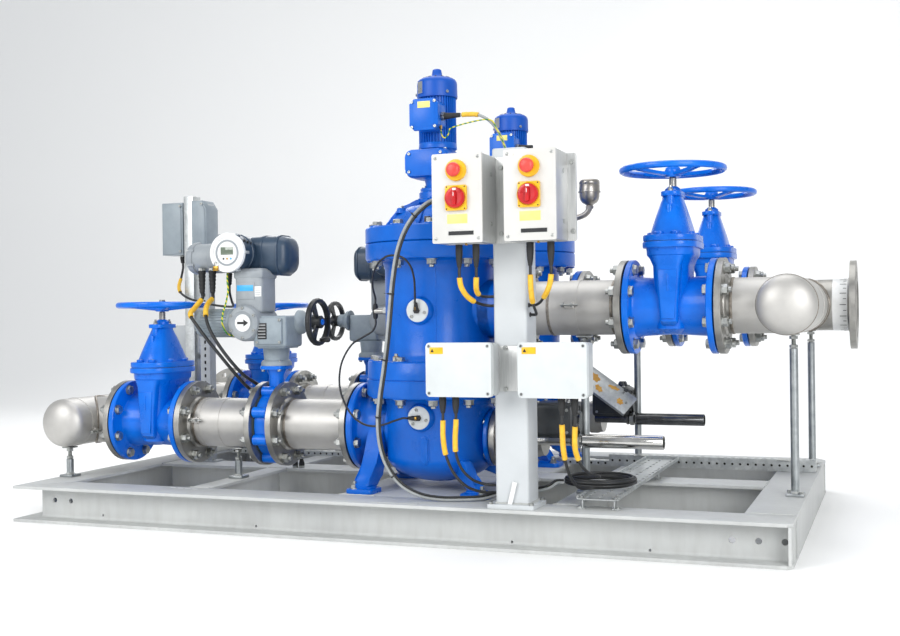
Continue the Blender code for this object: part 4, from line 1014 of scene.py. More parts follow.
def addThread(bm, radius, start, end, at, finish):
    # a threaded rod drawn as fine rings
    count = int((end - start) / 0.0018)
    profile = [(0, end)]
    for k in range(count):
        z = end - (end - start) * k / count
        profile += [(radius * 0.88, z), (radius, z - 0.0009)]
    profile.append((0, start))
    addTurned(bm, profile, at, "Z", 12, finish)


def makeJacks(settings):
    bm = bmesh.new()
    for group, pipeZ in (("low", plan["lowZ"]), ("high", plan["highZ"])):
        top = pipeZ - plan["pipe"] - plan["gap"]
        for n, (x, y) in enumerate(settings[group]):
            foot = settings["foot"]
            addBox(bm, (foot, foot, 0.008), (x, y, 0.1245), 0, round=0.001)
            tubeTop = top - settings["neckLength"]
            addRod(bm, settings["tube"], tubeTop - 0.128, (x, y, (tubeTop + 0.128) / 2), sides=28,
                   finish=0, edge=0.0012)
            addWeld(bm, settings["tube"], (x, y, 0.13), "Z", 1, 20)
            addThread(bm, settings["neck"], tubeTop - 0.002, top - 0.004, (x, y, 0), 2)
            for z in (tubeTop + 0.006, top - 0.013):
                addHex(bm, 0.0125, 0.009, (x, y, z), "Z", 2)
            saddle = Vector((x, y, top - 0.004))
            flat = "Y" if group == "high" and n < 2 or x < -1.0 else "X"
            size = (0.034, 0.044, 0.005) if flat == "Y" else (0.044, 0.034, 0.005)
            addBox(bm, size, saddle, 2, round=0.001)
            for sx in (-1, 1):
                addMesh(bm, smallHead, (x + sx * 0.019, y - sx * 0.019, 0.1285), "Z", 2)
    finishPiece("jacks", bm, ["zincTube", "frameBead", "zincBolt"],
                nodes=["end_left", "end_right", "cross_spool_front", "cross_spool_rear",
                       "cross_post_front", "cross_post_rear"])


def addWeld(bm, radius, at, axis="Z", finish=1, sides=44):
    addTurned(bm, [(radius - 0.001, 0.0055), (radius + 0.0016, 0.0035), (radius + 0.0024, 0),
                   (radius + 0.0016, -0.0035), (radius - 0.001, -0.0055),
                   (radius - 0.001, 0.0055)], at, axis, sides, finish)


smallHead = roundCircle(boltHead(0.0085), 1, 0.0)
makeJacks(jacks)
print("frame made")

# Pipework
pipe = {"radius": 0.08415, "bore": 0.0765, "face": 0.106, "hub": 0.0905, "thick": 0.022,
        "rim": 0.1425}
facing = {"X": Vector((1, 0, 0)), "-X": Vector((-1, 0, 0)), "Y": Vector((0, 1, 0)),
          "-Y": Vector((0, -1, 0)), "Z": Vector((0, 0, 1)), "-Z": Vector((0, 0, -1))}
opposite = {"X": "-X", "-X": "X", "Y": "-Y", "-Y": "Y"}


def addPipeFlange(bm, at, direction, settings, bolts, depth=0.0, reach=0.044):
    # direction is where the sealing face looks; depth > 0 gives an open bore
    r, t = settings["radius"], settings["thick"]
    start = [(0, -depth), (settings["bore"], -depth), (settings["bore"], 0)] if depth else [(0, 0)]
    profile = start + [(settings["face"], 0), (settings["face"], -0.002),
                       (settings["rim"] - 0.001, -0.002), (settings["rim"], -0.003),
                       (settings["rim"], 0.001 - t), (settings["rim"] - 0.001, -t),
                       (settings["hub"], -t), (settings["hub"] - 0.001, -t - 0.003),
                       (r + 0.001, -t - 0.007), (r, -t - 0.008), (r, -reach), (0, -reach)]
    addTurned(bm, profile, at, direction, 56, 3)
    addWeld(bm, r, Vector(at) - facing[direction] * (reach - 0.002), direction)
    if bolts:
        addMesh(bm, bolts, Vector(at) - facing[direction] * t, opposite[direction], 2)


def addGasket(bm, at, direction, finish):
    addTurned(bm, band(0.08, 0.1165, 0.0012, -0.0012), at, direction, 40, finish)


def addSaddleWeld(bm, centre, sign, pipeRadius, branchRadius):
    # the bead where a branch along X meets a header along Y
    x, y, z = centre
    path = []
    for k in range(49):
        t = 2 * pi * k / 48
        out = sqrt(max(pipeRadius ** 2 - (branchRadius * sin(t)) ** 2, 0.0002 ** 2))
        path.append((x + sign * max(out, 0.012), y + (branchRadius + 0.001) * cos(t),
                     z + (branchRadius + 0.001) * sin(t)))
    widths = [0.0042 * (1 + 0.12 * sin(k * 2.9)) for k in range(49)]
    widths[-1] = widths[0]
    addSweep(bm, path, widths, 8, 1)


def addStrap(bm, at, axis, radius, width, angle):
    # a band clamp, closed at the given angle round the pipe
    addTurned(bm, band(radius - 0.0002, radius + 0.0014, width / 2, -width / 2), at, axis, 48)
    spin = turns[axis] @ Matrix.Rotation(radians(angle), 4, "Z")
    for side in (-1, 1):
        spot = spin @ Vector((radius + 0.005, side * 0.009, 0))
        addBox(bm, (0.01, 0.003, width * 0.8), Vector(at) + spot, 0, spin, 0.0006)
    # closing: a pin along the pipe through a small plate, with a nut at each end
    addBox(bm, (0.004, 0.016, 0.03), Vector(at) + spin @ Vector((radius + 0.0105, 0, 0)), 0, spin,
           0.001)
    pin = Vector(at) + spin @ Vector((radius + 0.0135, 0, 0))
    addRod(bm, 0.0032, 0.054, pin, spin, 12, 2, edge=0.0008)
    for end in (-0.0205, 0.0075):
        spot = Vector(at) + spin @ Vector((radius + 0.0135, 0, end))
        addHex(bm, 0.0068, 0.007, spot, spin, 2)


def domeProfile(radius, start, rise):
    points = [(0, start + rise)]
    for k in range(1, 12):
        t = radians(90 - 7.5 * k)
        points.append((radius * cos(t), start + rise * sin(t)))
    return points + [(radius, start)]


pipeFinishes = ["pickledStainless", "weldBead", "zincBolt", "turnedStainless", "gasketSheet"]


def cutBoltHoles(bm, x, y, z, axis):
    # eight through holes on the flange's bolt circle, in an open flange that faces along axis
    def boltHoles(cutters):
        for t in around(8, 22.5):
            u, v = plan["boltCircle"] * cos(t), plan["boltCircle"] * sin(t)
            at = (x + u, y, z + v) if axis == "Y" else (x, y + u, z + v)
            addRod(cutters, 0.011, 0.06, at, axis, 16)
    cutHoles(bm, boltHoles, pipeFinishes)


def makeInletHeader(settings):
    x, z = plan["inletHeaderX"], plan["lowZ"]
    front, back, r = -0.55, 0.6, settings["radius"]
    bm = bmesh.new()
    addTurned(bm, domeProfile(r, 0.0, 0.045) + [(r, front - back + 0.13),
                                                (0, front - back + 0.13)], (x, front, z), "-Y", 64)
    addWeld(bm, r, (x, front + 0.01, z), "Y")
    addWeld(bm, r, (x, -0.1, z), "Y")
    addPipeFlange(bm, (x, back, z), "Y", settings, None, depth=0.115, reach=0.13)
    cutBoltHoles(bm, x, back, z, "Y")
    face = plan["inletValveX"] - plan["valveHalf"] - plan["gap"]
    for y in plan["streams"].values():
        branch = r - 0.0015
        addRod(bm, branch, face - 0.044 - x, ((face - 0.044 + x) / 2, y, z), "X", 56)
        addSaddleWeld(bm, (x, y, z), 1, r, branch)
        small = dict(settings, radius=branch)
        addPipeFlange(bm, (face, y, z), "X", small, flangeNuts)
        addGasket(bm, (face, y, z), "X", 4)
    addStrap(bm, (x, -0.492, z), "Y", r, 0.014, 20)
    addStrap(bm, (x, 0.29, z), "Y", r, 0.014, 20)
    finishPiece("inlet_header", bm, pipeFinishes, nodes=["inlet_header"])


def makeOutletHeader(settings):
    x, z, r = plan["outletHeaderX"], plan["highZ"], settings["radius"]
    half = 0.545
    bm = bmesh.new()
    upper = domeProfile(r, half, 0.045)
    addTurned(bm, upper + [(a, -b) for a, b in reversed(upper)], (x, 0, z), "-Y", 64)
    for y in (-half + 0.008, half - 0.008, -0.08):
        addWeld(bm, r, (x, y, z), "Y")
    face = plan["outletValveX"] + plan["valveHalf"] + plan["gap"]
    branch = r - 0.0015
    small = dict(settings, radius=branch)
    for y in plan["streams"].values():
        addRod(bm, branch, x - face - 0.044, ((face + 0.044 + x) / 2, y, z), "X", 56)
        addSaddleWeld(bm, (x, y, z), -1, r, branch)
        addPipeFlange(bm, (face, y, z), "-X", small, flangeNuts)
        addGasket(bm, (face, y, z), "X", 4)
    stubY, stubFace = 0.079, 1.373
    stub = bmesh.new()
    addPipeFlange(stub, (stubFace, stubY, z), "X", small, None, depth=0.105, reach=0.12)
    cutBoltHoles(stub, stubFace, stubY, z, "X")
    mesh = bpy.data.meshes.new("outlet stub")
    stub.to_mesh(mesh)
    stub.free()
    addMesh(bm, mesh, (0, 0, 0))
    addRod(bm, branch, stubFace - 0.12 - x, ((stubFace - 0.12 + x) / 2, stubY, z), "X", 56)
    addSaddleWeld(bm, (x, stubY, z), 1, r, branch)
    addStrap(bm, (x, -0.254, z), "Y", r, 0.014, 200)
    addStrap(bm, (x, 0.414, z), "Y", r, 0.014, 200)
    # white measuring band with plain ticks, taped round the stub behind its flange
    addTurned(bm, band(branch, branch + 0.0008, 0.046, 0), (stubFace - 0.075, stubY, z), "X", 56,
              5)
    for k, t in enumerate(around(28)):
        long = 0.02 if k % 2 else 0.01
        addBox(bm, (0.0006, 0.0018, long), (stubFace - 0.032 - long / 2,
                                            stubY + (branch + 0.001) * sin(t),
                                            z + (branch + 0.001) * cos(t)), 6,
               Matrix.Rotation(-t, 4, "X") @ Matrix.Rotation(-pi / 2, 4, "Y"))
    finishPiece("outlet_header", bm, pipeFinishes + ["whitePlastic", "blackPlastic"],
                nodes=["outlet_header"])


def makeSpool(name, x0, x1, y, z, settings, straps=()):
    bm = bmesh.new()
    r = settings["radius"]
    addPipeFlange(bm, (x0, y, z), "-X", settings, flangeNuts)
    addPipeFlange(bm, (x1, y, z), "X", settings, flangeNuts)
    addRod(bm, r, x1 - x0 - 0.088, ((x0 + x1) / 2, y, z), "X", 60)
    for at in (x0, x1):
        addGasket(bm, (at, y, z), "X", 4)
    for x, width, angle in straps:
        addStrap(bm, (x, y, z), "X", r, width, angle)
    if "outlet" in name:
        addWeld(bm, r, (x0 + 0.105, y, z), "X")
    finishPiece(name, bm, pipeFinishes, nodes=[name])


makeInletHeader(pipe)
makeOutletHeader(pipe)
for side, y in plan["streams"].items():
    lugIn, lugOut = plan["lugX"] - 0.028, plan["lugX"] + 0.028
    valve = plan["valveHalf"] + plan["gap"]
    outletFace = plan["outletValveX"] - valve
    makeSpool("inlet_spool_a_" + side, plan["inletValveX"] + valve, lugIn - plan["gap"], y,
              plan["lowZ"], pipe, [(-0.76, 0.012, 262), (-0.69, 0.026, 80)])
    makeSpool("inlet_spool_b_" + side, lugOut + plan["gap"], plan["vesselIn"] - plan["gap"], y,
              plan["lowZ"], pipe)
    makeSpool("outlet_spool_" + side, plan["vesselOut"] + plan["gap"], outletFace, y,
              plan["highZ"], pipe, [(0.566, 0.034, 265)])
print("pipework made")

# Gate valves: flanged body with a guide rib, bolted bonnet joint, shouldered bonnet, gland, stem
gate = {"half": 0.1335, "rim": 0.1425, "thick": 0.02, "neck": 0.09, "chestY": 0.215,
        "chestX": 0.122, "plateY": 0.25, "plateX": 0.16, "plateLow": 0.1735, "plateHigh": 0.2115,
        "bonnetTop": 0.3305, "stemTop": 0.388}


def addLoft(bm, outlines, at, finish=0, turn="Z"):
    # joins outlines given as (height, points), from the bottom up, all with equal point counts
    rings, made = [], []
    for height, points in outlines:
        ring = [bm.verts.new((u, v, height)) for u, v in points]
        rings.append(ring)
        made += ring
    count = len(rings[0])
    for low, high in zip(rings, rings[1:]):
        for k in range(count):
            n = (k + 1) % count
            bm.faces.new((low[k], low[n], high[n], high[k]))
    bm.faces.new(list(reversed(rings[0])))
    bm.faces.new(rings[-1])
    put(bm, made, at, turn, finish)


def softBox(x, y, radius):
    return roundedOutline(x, y, radius, 5)


def makeGateValve(name, x, y, z, settings, nodes):
    bm = bmesh.new()
    half, rim, t = settings["half"], settings["rim"], settings["thick"]
    neck = settings["neck"]
    for direction in ("X", "-X"):
        face = Vector((x, y, z)) + facing[direction] * half
        addTurned(bm, [(0, 0), (0.106, 0), (0.106, -0.002), (rim - 0.002, -0.002), (rim, -0.004),
                       (rim, 0.002 - t), (rim - 0.002, -t), (neck + 0.012, -t),
                       (neck + 0.003, -t - 0.004), (neck, -t - 0.012),
                       (neck - 0.004, -half * 0.72), (neck - 0.006, -half), (0, -half)], face,
                  direction, 56)
        addMesh(bm, flangeHeads, face - facing[direction] * t, opposite[direction], 1)
    # chest: casing that holds the wedge, with a narrow guide rib down its front and back
    cy, cx = settings["chestY"], settings["chestX"]
    addLoft(bm, [(-0.08, softBox(0.05, 0.12, 0.022)), (-0.066, softBox(0.084, 0.164, 0.034)),
                 (0.02, softBox(0.1, 0.178, 0.04)), (0.12, softBox(0.106, 0.178, 0.042)),
                 (0.142, softBox(0.124, 0.2, 0.05)), (0.152, softBox(cx * 1.14, cy * 1.03, 0.056)),
                 (0.174, softBox(cx * 1.16, cy * 1.05, 0.056))], (x, y, z))
    addLoft(bm, [(-0.056, softBox(0.04, 0.176, 0.01)), (-0.044, softBox(0.052, 0.206, 0.012)),
                 (0.04, softBox(0.064, cy, 0.013)), (0.124, softBox(0.078, cy, 0.015)),
                 (0.15, softBox(0.1, cy * 1.02, 0.022))], (x, y, z))
    for side in (-1, 1):
        guide = mm((-19, -36), (19, -36), (28, 108), (-28, 108))
        addPlate(bm, guide, 0.005, (x, y + side * (cy / 2 - 0.0005), z), "-Y", 0, 0.0018)
        addBox(bm, (0.006, 0.004, 0.05), (x, y + side * (cy / 2 + 0.002), z + 0.07), 0,
               round=0.0012)
    # bonnet joint: two thick flanges with eight socket screws between them
    py, px = settings["plateY"], settings["plateX"]
    low, high = settings["plateLow"], settings["plateHigh"]
    middle = (low + high) / 2
    for a, b, shrink in ((low, middle - 0.0008, 0.0), (middle + 0.0008, high, 0.003)):
        addPlate(bm, roundedOutline(px - shrink, py - shrink, 0.062), b - a,
                 (x, y, z + (a + b) / 2), "Z", 0, 0.003)
    addPlate(bm, roundedOutline(px - 0.01, py - 0.01, 0.058), 0.003, (x, y, z + middle), "Z", 2)
    for t in around(8, 22.5):
        sx, sy = (px / 2 - 0.019) * cos(t) * 1.02, (py / 2 - 0.02) * sin(t) * 1.02
        addRod(bm, 0.0135, 0.01, (x + sx, y + sy, z + high + 0.0045), sides=20, edge=0.002)
        addRod(bm, 0.0075, 0.003, (x + sx, y + sy, z + high + 0.0085), sides=16, finish=1,
               edge=0.0008)
        addRod(bm, 0.0125, 0.012, (x + sx, y + sy, z + low - 0.0045), sides=18, edge=0.002)
    # bonnet: shouldered dome narrowing to twin columns and the gland block
    top = settings["bonnetTop"]
    addLoft(bm, [(high - 0.002, softBox(0.12, 0.2, 0.05)),
                 (high + 0.008, softBox(0.117, 0.194, 0.05)),
                 (high + 0.032, softBox(0.105, 0.172, 0.046)),
                 (high + 0.06, softBox(0.09, 0.142, 0.04)),
                 (high + 0.09, softBox(0.072, 0.11, 0.032)),
                 (high + 0.11, softBox(0.06, 0.088, 0.028)),
                 (top + 0.004, softBox(0.056, 0.078, 0.027))], (x, y, z))
    for side in (-1, 1):
        addRod(bm, 0.0155, top - high - 0.01, (x, y + side * 0.042, z + (top + high) / 2 + 0.004),
               sides=20, top=0.0115)
        addBox(bm, (0.014, 0.03, top - high - 0.03),
               (x, y + side * 0.052, z + (top + high) / 2 - 0.012), 0, round=0.004)
    addPlate(bm, roundedOutline(0.06, 0.112, 0.024), 0.014, (x, y, z + top + 0.006), "Z", 0, 0.003)
    for side in (-1, 1):
        addMesh(bm, glandBolt, (x, y + side * 0.042, z + top + 0.013), "Z", 1)
    addTurned(bm, mm((0, 360), (14, 360), (18, 357), (24, 352), (24.5, 338), (26, 336), (26, 325),
                     (0, 325)), (x, y, z), "Z", 32)
    addTurned(bm, [(0, settings["stemTop"]), (0.0085, settings["stemTop"]),
                   (0.011, settings["stemTop"] - 0.003), (0.011, 0.33), (0, 0.33)], (x, y, z), "Z",
              24, 3)
    finishPiece(name, bm, ["valveEnamel", "zincBolt", "gasketSheet", "turnedStainless"],
                nodes=nodes)


glandBolt = roundCircle(nutOnStud(0.009, 0.007), 1, 0.0)

wheelSet = {"radius": 0.16, "rise": 0.411, "hubLow": 0.3883, "spokes": 4, "rim": 0.0105,
            "sections": 12, "start": 0.018}
barSides = [(0, 4, 5, 1), (1, 5, 6, 2), (2, 6, 7, 3), (3, 7, 4, 0)]
barEnds = [(0, 1, 2, 3), (4, 7, 6, 5)]


def makeHandwheel(name, x, y, z, settings):
    bm = bmesh.new()
    top = z + settings["rise"]
    outer, inner, t = settings["radius"], settings["radius"] - 0.03, settings["rim"]
    # rim: broad, slightly cupped section, rounded on the outside
    profile = [(inner + 0.002, 0.004), (inner + 0.01, 0.0085), (outer - 0.008, t * 0.98),
               (outer - 0.002, 0.0065), (outer, 0.0005), (outer - 0.002, -0.0065),
               (outer - 0.008, -t * 0.98), (outer - 0.014, -0.0085), (outer - 0.017, -0.001),
               (inner + 0.006, 0.0005), (inner + 0.0015, -0.0015), (inner, 0.001),
               (inner + 0.002, 0.004)]
    addTurned(bm, profile, (x, y, top), "Z", 72)
    hubLow = z + settings["hubLow"]
    addTurned(bm, mm((0, 36), (12.5, 36), (12.5, 30), (19, 30), (22.5, 27), (24, 20), (24, 3),
                     (22, 0), (0, 0)), (x, y, hubLow), "Z", 32)
    addHex(bm, 0.0115, 0.008, (x, y, hubLow + 0.038), "Z", 1)
    addRod(bm, 0.0165, 0.0022, (x, y, hubLow + 0.0325), sides=24, finish=1)
    # dished spokes: flat ribs that sweep down from the rim and flare out to meet it
    sections, start = settings["sections"], settings["start"]
    for t in around(settings["spokes"], 45):
        spin = Matrix.Rotation(t, 4, "Z")
        for step in range(sections):
            ends = []
            for s in (step / sections, (step + 1) / sections):
                reach = start + (inner + 0.006 - start) * s
                drop = -0.013 + 0.014 * s ** 1.6
                flareOut = 0.0095 + 0.003 * (1 - s) ** 2 + 0.013 * max(0, s - 0.75) ** 1.4 * 3
                ends.append((reach, drop, flareOut))
            (r0, h0, w0), (r1, h1, w1) = ends
            tall0, tall1 = 0.0052, 0.0044
            verts = [bm.verts.new(spin @ Vector(p))
                     for p in ((r0, -w0, h0 - tall0), (r0, w0, h0 - tall0), (r0, w0, h0 + tall0),
                               (r0, -w0, h0 + tall0), (r1, -w1, h1 - tall1), (r1, w1, h1 - tall1),
                               (r1, w1, h1 + tall1), (r1, -w1, h1 + tall1))]
            closed = barEnds[:step == 0] + barEnds[1:1 + (step == sections - 1)]
            for face in barSides + closed:
                bm.faces.new([verts[i] for i in face])
            put(bm, verts, (x, y, top), "Z", 0)
        rib = [bm.verts.new(spin @ Vector(p)) for p in ((0.02, -0.0025, -0.02),
                                                        (0.02, 0.0025, -0.02),
                                                        (0.02, 0.0025, -0.012),
                                                        (0.02, -0.0025, -0.012),
                                                        (inner - 0.004, -0.0022, -0.0085),
                                                        (inner - 0.004, 0.0022, -0.0085),
                                                        (inner - 0.004, 0.0022, -0.001),
                                                        (inner - 0.004, -0.0022, -0.001))]
        for face in barSides + barEnds:
            bm.faces.new([rib[i] for i in face])
        put(bm, rib, (x, y, top), "Z", 0)
    bmesh.ops.remove_doubles(bm, verts=bm.verts, dist=0.00002)
    finishPiece(name, bm, ["valveEnamel", "zincBolt"], body=name, nodes=[name])


for side, y in plan["streams"].items():
    for way, x, z in (("inlet", plan["inletValveX"], plan["lowZ"]),
                      ("outlet", plan["outletValveX"], plan["highZ"])):
        node = way + "_gate_valve_" + side
        makeGateValve(node, x, y, z, gate, [node])
        makeHandwheel(way + "_wheel_" + side, x, y, z, wheelSet)
print("gate valves made")

# Lug valves: thin body with eight tapped bosses between two pipe flanges
lug = {"radius": 0.108, "half": 0.028, "boss": 0.0185, "neck": 0.026, "top": 0.51}


def makeLugValve(name, y, settings):
    x, z = plan["lugX"], plan["lowZ"]
    bm = bmesh.new()
    h, r = settings["half"], settings["radius"]
    addTurned(bm, [(0, h - 0.001), (0.1, h - 0.001), (0.101, h), (r, h), (r + 0.006, h - 0.004),
                   (r + 0.006, 0.004 - h), (r, -h), (0.101, -h), (0.1, 0.001 - h), (0, 0.001 - h)],
              (x, y, z), "X", 56)
    for t in around(8, 22.5):
        spot = (x, y + plan["boltCircle"] * cos(t), z + plan["boltCircle"] * sin(t))
        addRod(bm, settings["boss"], 2 * h - 0.002, spot, "X", 24, edge=0.002)
        inward = (x, y + 0.104 * cos(t), z + 0.104 * sin(t))
        addBox(bm, (2 * h - 0.006, 0.032, 0.02), inward, 0, Matrix.Rotation(t - pi / 2, 4, "X"),
               0.002)
    top = settings["top"]
    addTurned(bm, [(0, top - 0.01), (0.034, top - 0.01), (0.032, top - 0.02),
                   (settings["neck"], top - 0.034), (settings["neck"], 0.44), (0.03, 0.425),
                   (0.036, 0.41), (0, 0.405)], (x, y, 0), "Z", 36)
    addPlate(bm, roundedOutline(0.088, 0.1, 0.02), 0.012, (x, y, top - 0.006), "Z", 0, 0.002)
    for sx, sy in fourCorners:
        addMesh(bm, smallHead, (x + sx * 0.031, y + sy * 0.037, top - 0.012), "-Z", 1)
    # cast rib and a small drain plug low on the body
    addBox(bm, (0.01, 0.052, 0.07), (x, y, 0.455), 0, round=0.003)
    addRod(bm, 0.012, 0.02, (x, y, z - r - 0.012), "Z", 20, edge=0.002)
    addHex(bm, 0.008, 0.007, (x, y, z - r - 0.024), "Z", 1)
    finishPiece(name, bm, ["valveEnamel", "zincBolt"], nodes=[name])


# Actuators: worm gearbox, motor, display head and terminal housing. The rear one is turned
# round, so every place is given from the stem and mirrored through it.
drive = {"base": 0.5103, "axis": 0.657, "headZ": 0.893, "headR": 0.066, "terminalZ": 0.885,
         "motorAt": (-0.195, -0.045), "indicatorAt": (-0.062, -0.045), "headAt": (-0.11, -0.01),
         "ridge": 0.066, "frontDome": 0.78, "rearDome": 0.55}


def makeActuator(side, y, way, settings):
    bm = bmesh.new()
    x = plan["lugX"]
    spin = Matrix.Identity(4) if way == 1 else Matrix.Rotation(pi, 4, "Z")

    def at(dx, dy, z):
        return (x + way * dx, y + way * dy, z)

    def facingWay(axis):
        return spin @ turns[axis]

    paint, grey, screw, silver, glass, white, black, label, brass, rubber, slate, earth = range(12)
    base, axis = settings["base"], settings["axis"]
    headZ, headR = settings["headZ"], settings["headR"]
    motorAt = at(*settings["motorAt"], axis)
    indicatorAt = at(*settings["indicatorAt"], axis)
    headAt = at(*settings["headAt"], headZ)
    addTurned(bm, mm((0, 66), (45, 66), (45, 50), (42, 20), (50, 14), (52, 10), (52, 0), (0, 0)),
              at(0, 0, base), "Z", 40, paint)
    for t in around(4, 45):
        addMesh(bm, smallHead, at(0.043 * cos(t), 0.043 * sin(t), base + 0.0115), "Z", screw)
    # gearbox with a square cover, a dark plate and fine ribs
    addBox(bm, (0.126, 0.118, 0.106), at(0.029, -0.04, 0.6275), paint, spin, 0.01, 3)
    addBox(bm, (0.1, 0.01, 0.088), at(0.029, -0.101, 0.6285), paint, spin, 0.003)
    addBox(bm, (0.034, 0.003, 0.054), at(0.006, -0.1065, 0.629), black, spin, 0.001)
    for k in range(5):
        addBox(bm, (0.028, 0.002, 0.0028), at(0.006, -0.1082, 0.649 - 0.01 * k), silver, spin)
    for sx, sz in fourCorners:
        addMesh(bm, socketScrew, at(0.029 + sx * 0.043, -0.106, 0.6285 + sz * 0.037),
                facingWay("-Y"), screw)
    addBox(bm, (0.104, 0.096, 0.008), at(0.029, -0.04, 0.5745), paint, spin, 0.003)
    addTurned(bm, mm((0, 26), (22, 26), (26, 22), (26, 4), (30, 0), (34, -8), (40, -14), (42, -26),
                     (0, -26)), at(0.116, 0, axis), facingWay("X"), 40, paint)
    # motor lying along the pipe, with cooling ribs and a bolted end cover
    addTurned(bm, mm((0, 75), (40, 75), (46, 70), (46, 62), (44.5, 60), (44.5, -52), (50, -54),
                     (50, -64), (46, -70), (30, -75), (0, -75)), motorAt, facingWay("-X"), 48,
              paint)
    ribs = roundCircle(motorRib, 28, 0.045)
    addMesh(bm, ribs, motorAt, facingWay("X"), paint)
    for t in around(4, 45):
        addMesh(bm, socketScrew, at(-0.2695, -0.045 + 0.034 * cos(t), axis + 0.034 * sin(t)),
                facingWay("-X"), screw)
    # round indicator cover over a white disc with a black arrow
    addTurned(bm, mm((0, 70), (30, 70), (34, 71), (40, 75), (48, 74), (56, 70), (60, 60), (62, 52),
                     (62, -60), (58, -70), (50, -75), (0, -75)), indicatorAt, facingWay("-Y"), 56,
              grey)
    addTurned(bm, disc(0.029, 0.0724, 0.069), indicatorAt, facingWay("-Y"), 40, white)
    addPlate(bm, mm((-20, -4), (4, -4), (4, -12), (22, 0), (4, 12), (4, 4), (-20, 4)), 0.0006,
             at(-0.062, -0.1178, axis), facingWay("-Y"), black)
    for t in around(6, 30):
        addMesh(bm, socketScrew, at(-0.062 + 0.05 * cos(t), -0.1178, axis + 0.05 * sin(t)),
                facingWay("-Y"), screw)
    # neck between gearbox and head, with a bare blue label
    addBox(bm, (0.106, 0.1, 0.152), at(-0.052, -0.045, 0.765), grey, spin, 0.014, 3)
    addBox(bm, (0.112, 0.104, 0.03), at(-0.052, -0.045, 0.82), grey, spin, 0.008, 3)
    addBox(bm, (0.072, 0.006, 0.056), at(-0.062, -0.0945, 0.764), grey, spin, 0.002)
    addBox(bm, (0.062, 0.0012, 0.02), at(-0.062, -0.098, 0.774), label, spin, 0.0004)
    addBox(bm, (0.026, 0.001, 0.034), at(-0.014, -0.0955, 0.762), white, spin, 0.0003)
    for k in range(4):
        addBox(bm, (0.02, 0.0006, 0.0022), at(-0.014, -0.0962, 0.7735 - 0.0075 * k), silver, spin)
    # head: round housing across the pipe with a white bezel and a display
    addTurned(bm, [(0, 0.119), (headR - 0.01, 0.119), (headR - 0.006, 0.123),
                   (headR - 0.002, 0.122), (headR, 0.118), (headR, 0.108), (headR - 0.003, 0.106),
                   (headR - 0.003, 0.06), (headR, 0.058), (headR, 0.046), (headR - 0.004, 0.044),
                   (headR - 0.004, -0.1), (headR - 0.01, -0.116), (headR - 0.024, -0.125),
                   (0, -0.125)], headAt, facingWay("-Y"), 60, slate)
    addTurned(bm, [(0, 0.1196), (headR - 0.014, 0.1196), (headR - 0.0135, 0.1236),
                   (headR - 0.006, 0.1242), (headR - 0.001, 0.1228), (headR + 0.0006, 0.1185),
                   (headR + 0.0006, 0.112), (0, 0.112)], headAt, facingWay("-Y"), 60, white)
    addTurned(bm, [(headR - 0.028, 0.1218), (headR - 0.025, 0.1226), (headR - 0.022, 0.1218),
                   (headR - 0.022, 0.117), (headR - 0.028, 0.117), (headR - 0.028, 0.1218)],
              headAt, facingWay("-Y"), 52, grey)
    addBox(bm, (0.056, 0.003, 0.034), at(-0.11, -0.1296, headZ + 0.006), white, spin, 0.001)
    addBox(bm, (0.048, 0.002, 0.026), at(-0.11, -0.1311, headZ + 0.006), glass, spin, 0.0006)
    for k in range(3):
        addRod(bm, 0.0034, 0.003, at(-0.124 + 0.014 * k, -0.13, headZ - 0.02), facingWay("-Y"), 16,
               (black, brass, label)[k], edge=0.0006)
    for k in range(4):
        addBox(bm, (0.006, 0.006, 0.009), at(-0.0555, -0.108 + 0.02 * k, headZ + 0.04 - 0.004 * k),
               black, spin, 0.001)
    for t in around(6):
        addBox(bm, (0.014, 0.022, 0.01), at(-0.11 + (headR - 0.001) * cos(t), -0.116,
                                            headZ + (headR - 0.001) * sin(t)), grey,
               spin @ Matrix.Rotation(-t, 4, "Y"), 0.002)
    # padlock that holds the selector
    addBox(bm, (0.019, 0.007, 0.016), at(-0.15, -0.137, headZ - 0.052), brass, spin, 0.0015)
    shackle = [at(dx, -0.137, headZ - drop) for dx, drop in ((-0.156, 0.046), (-0.156, 0.036),
                                                             (-0.153, 0.031), (-0.15, 0.0295),
                                                             (-0.147, 0.031), (-0.144, 0.036),
                                                             (-0.144, 0.046))]
    addSweep(bm, shackle, 0.0014, 8, screw)
    # electronics housing: rounded, with clamp ridges and a domed end
    dome = settings[side + "Dome"]
    outlines = []
    for height, tall, deep in ((-0.094, 0.06, 0.054), (-0.088, 0.066, 0.06),
                               (-0.046, 0.067, 0.062), (-0.044, 0.0695, 0.0645),
                               (-0.036, 0.0695, 0.0645), (-0.034, 0.067, 0.062),
                               (0.018, 0.066, 0.061), (0.02, 0.069, 0.064), (0.028, 0.069, 0.064),
                               (0.03, 0.065, 0.06), (0.044, 0.062, 0.057), (0.056, 0.056, 0.051),
                               (0.065, 0.047, 0.042), (0.071, 0.034, 0.03),
                               (0.0735, 0.016, 0.014)):
        outlines.append((height * (dome if height > 0 else 1),
                         softBox(2 * tall, 2 * deep, min(tall, deep) * 0.62)))
    addLoft(bm, outlines, at(0.013, 0.01, settings["terminalZ"]), slate, facingWay("X"))
    for t in (radians(angle) for angle in (35, 145, 215, 325)):
        addRod(bm, 0.005, 0.018, at(-0.027, 0.01 + settings["ridge"] * cos(t),
                                    settings["terminalZ"] + settings["ridge"] * sin(t)),
               facingWay("X"), 12, screw, edge=0.001)
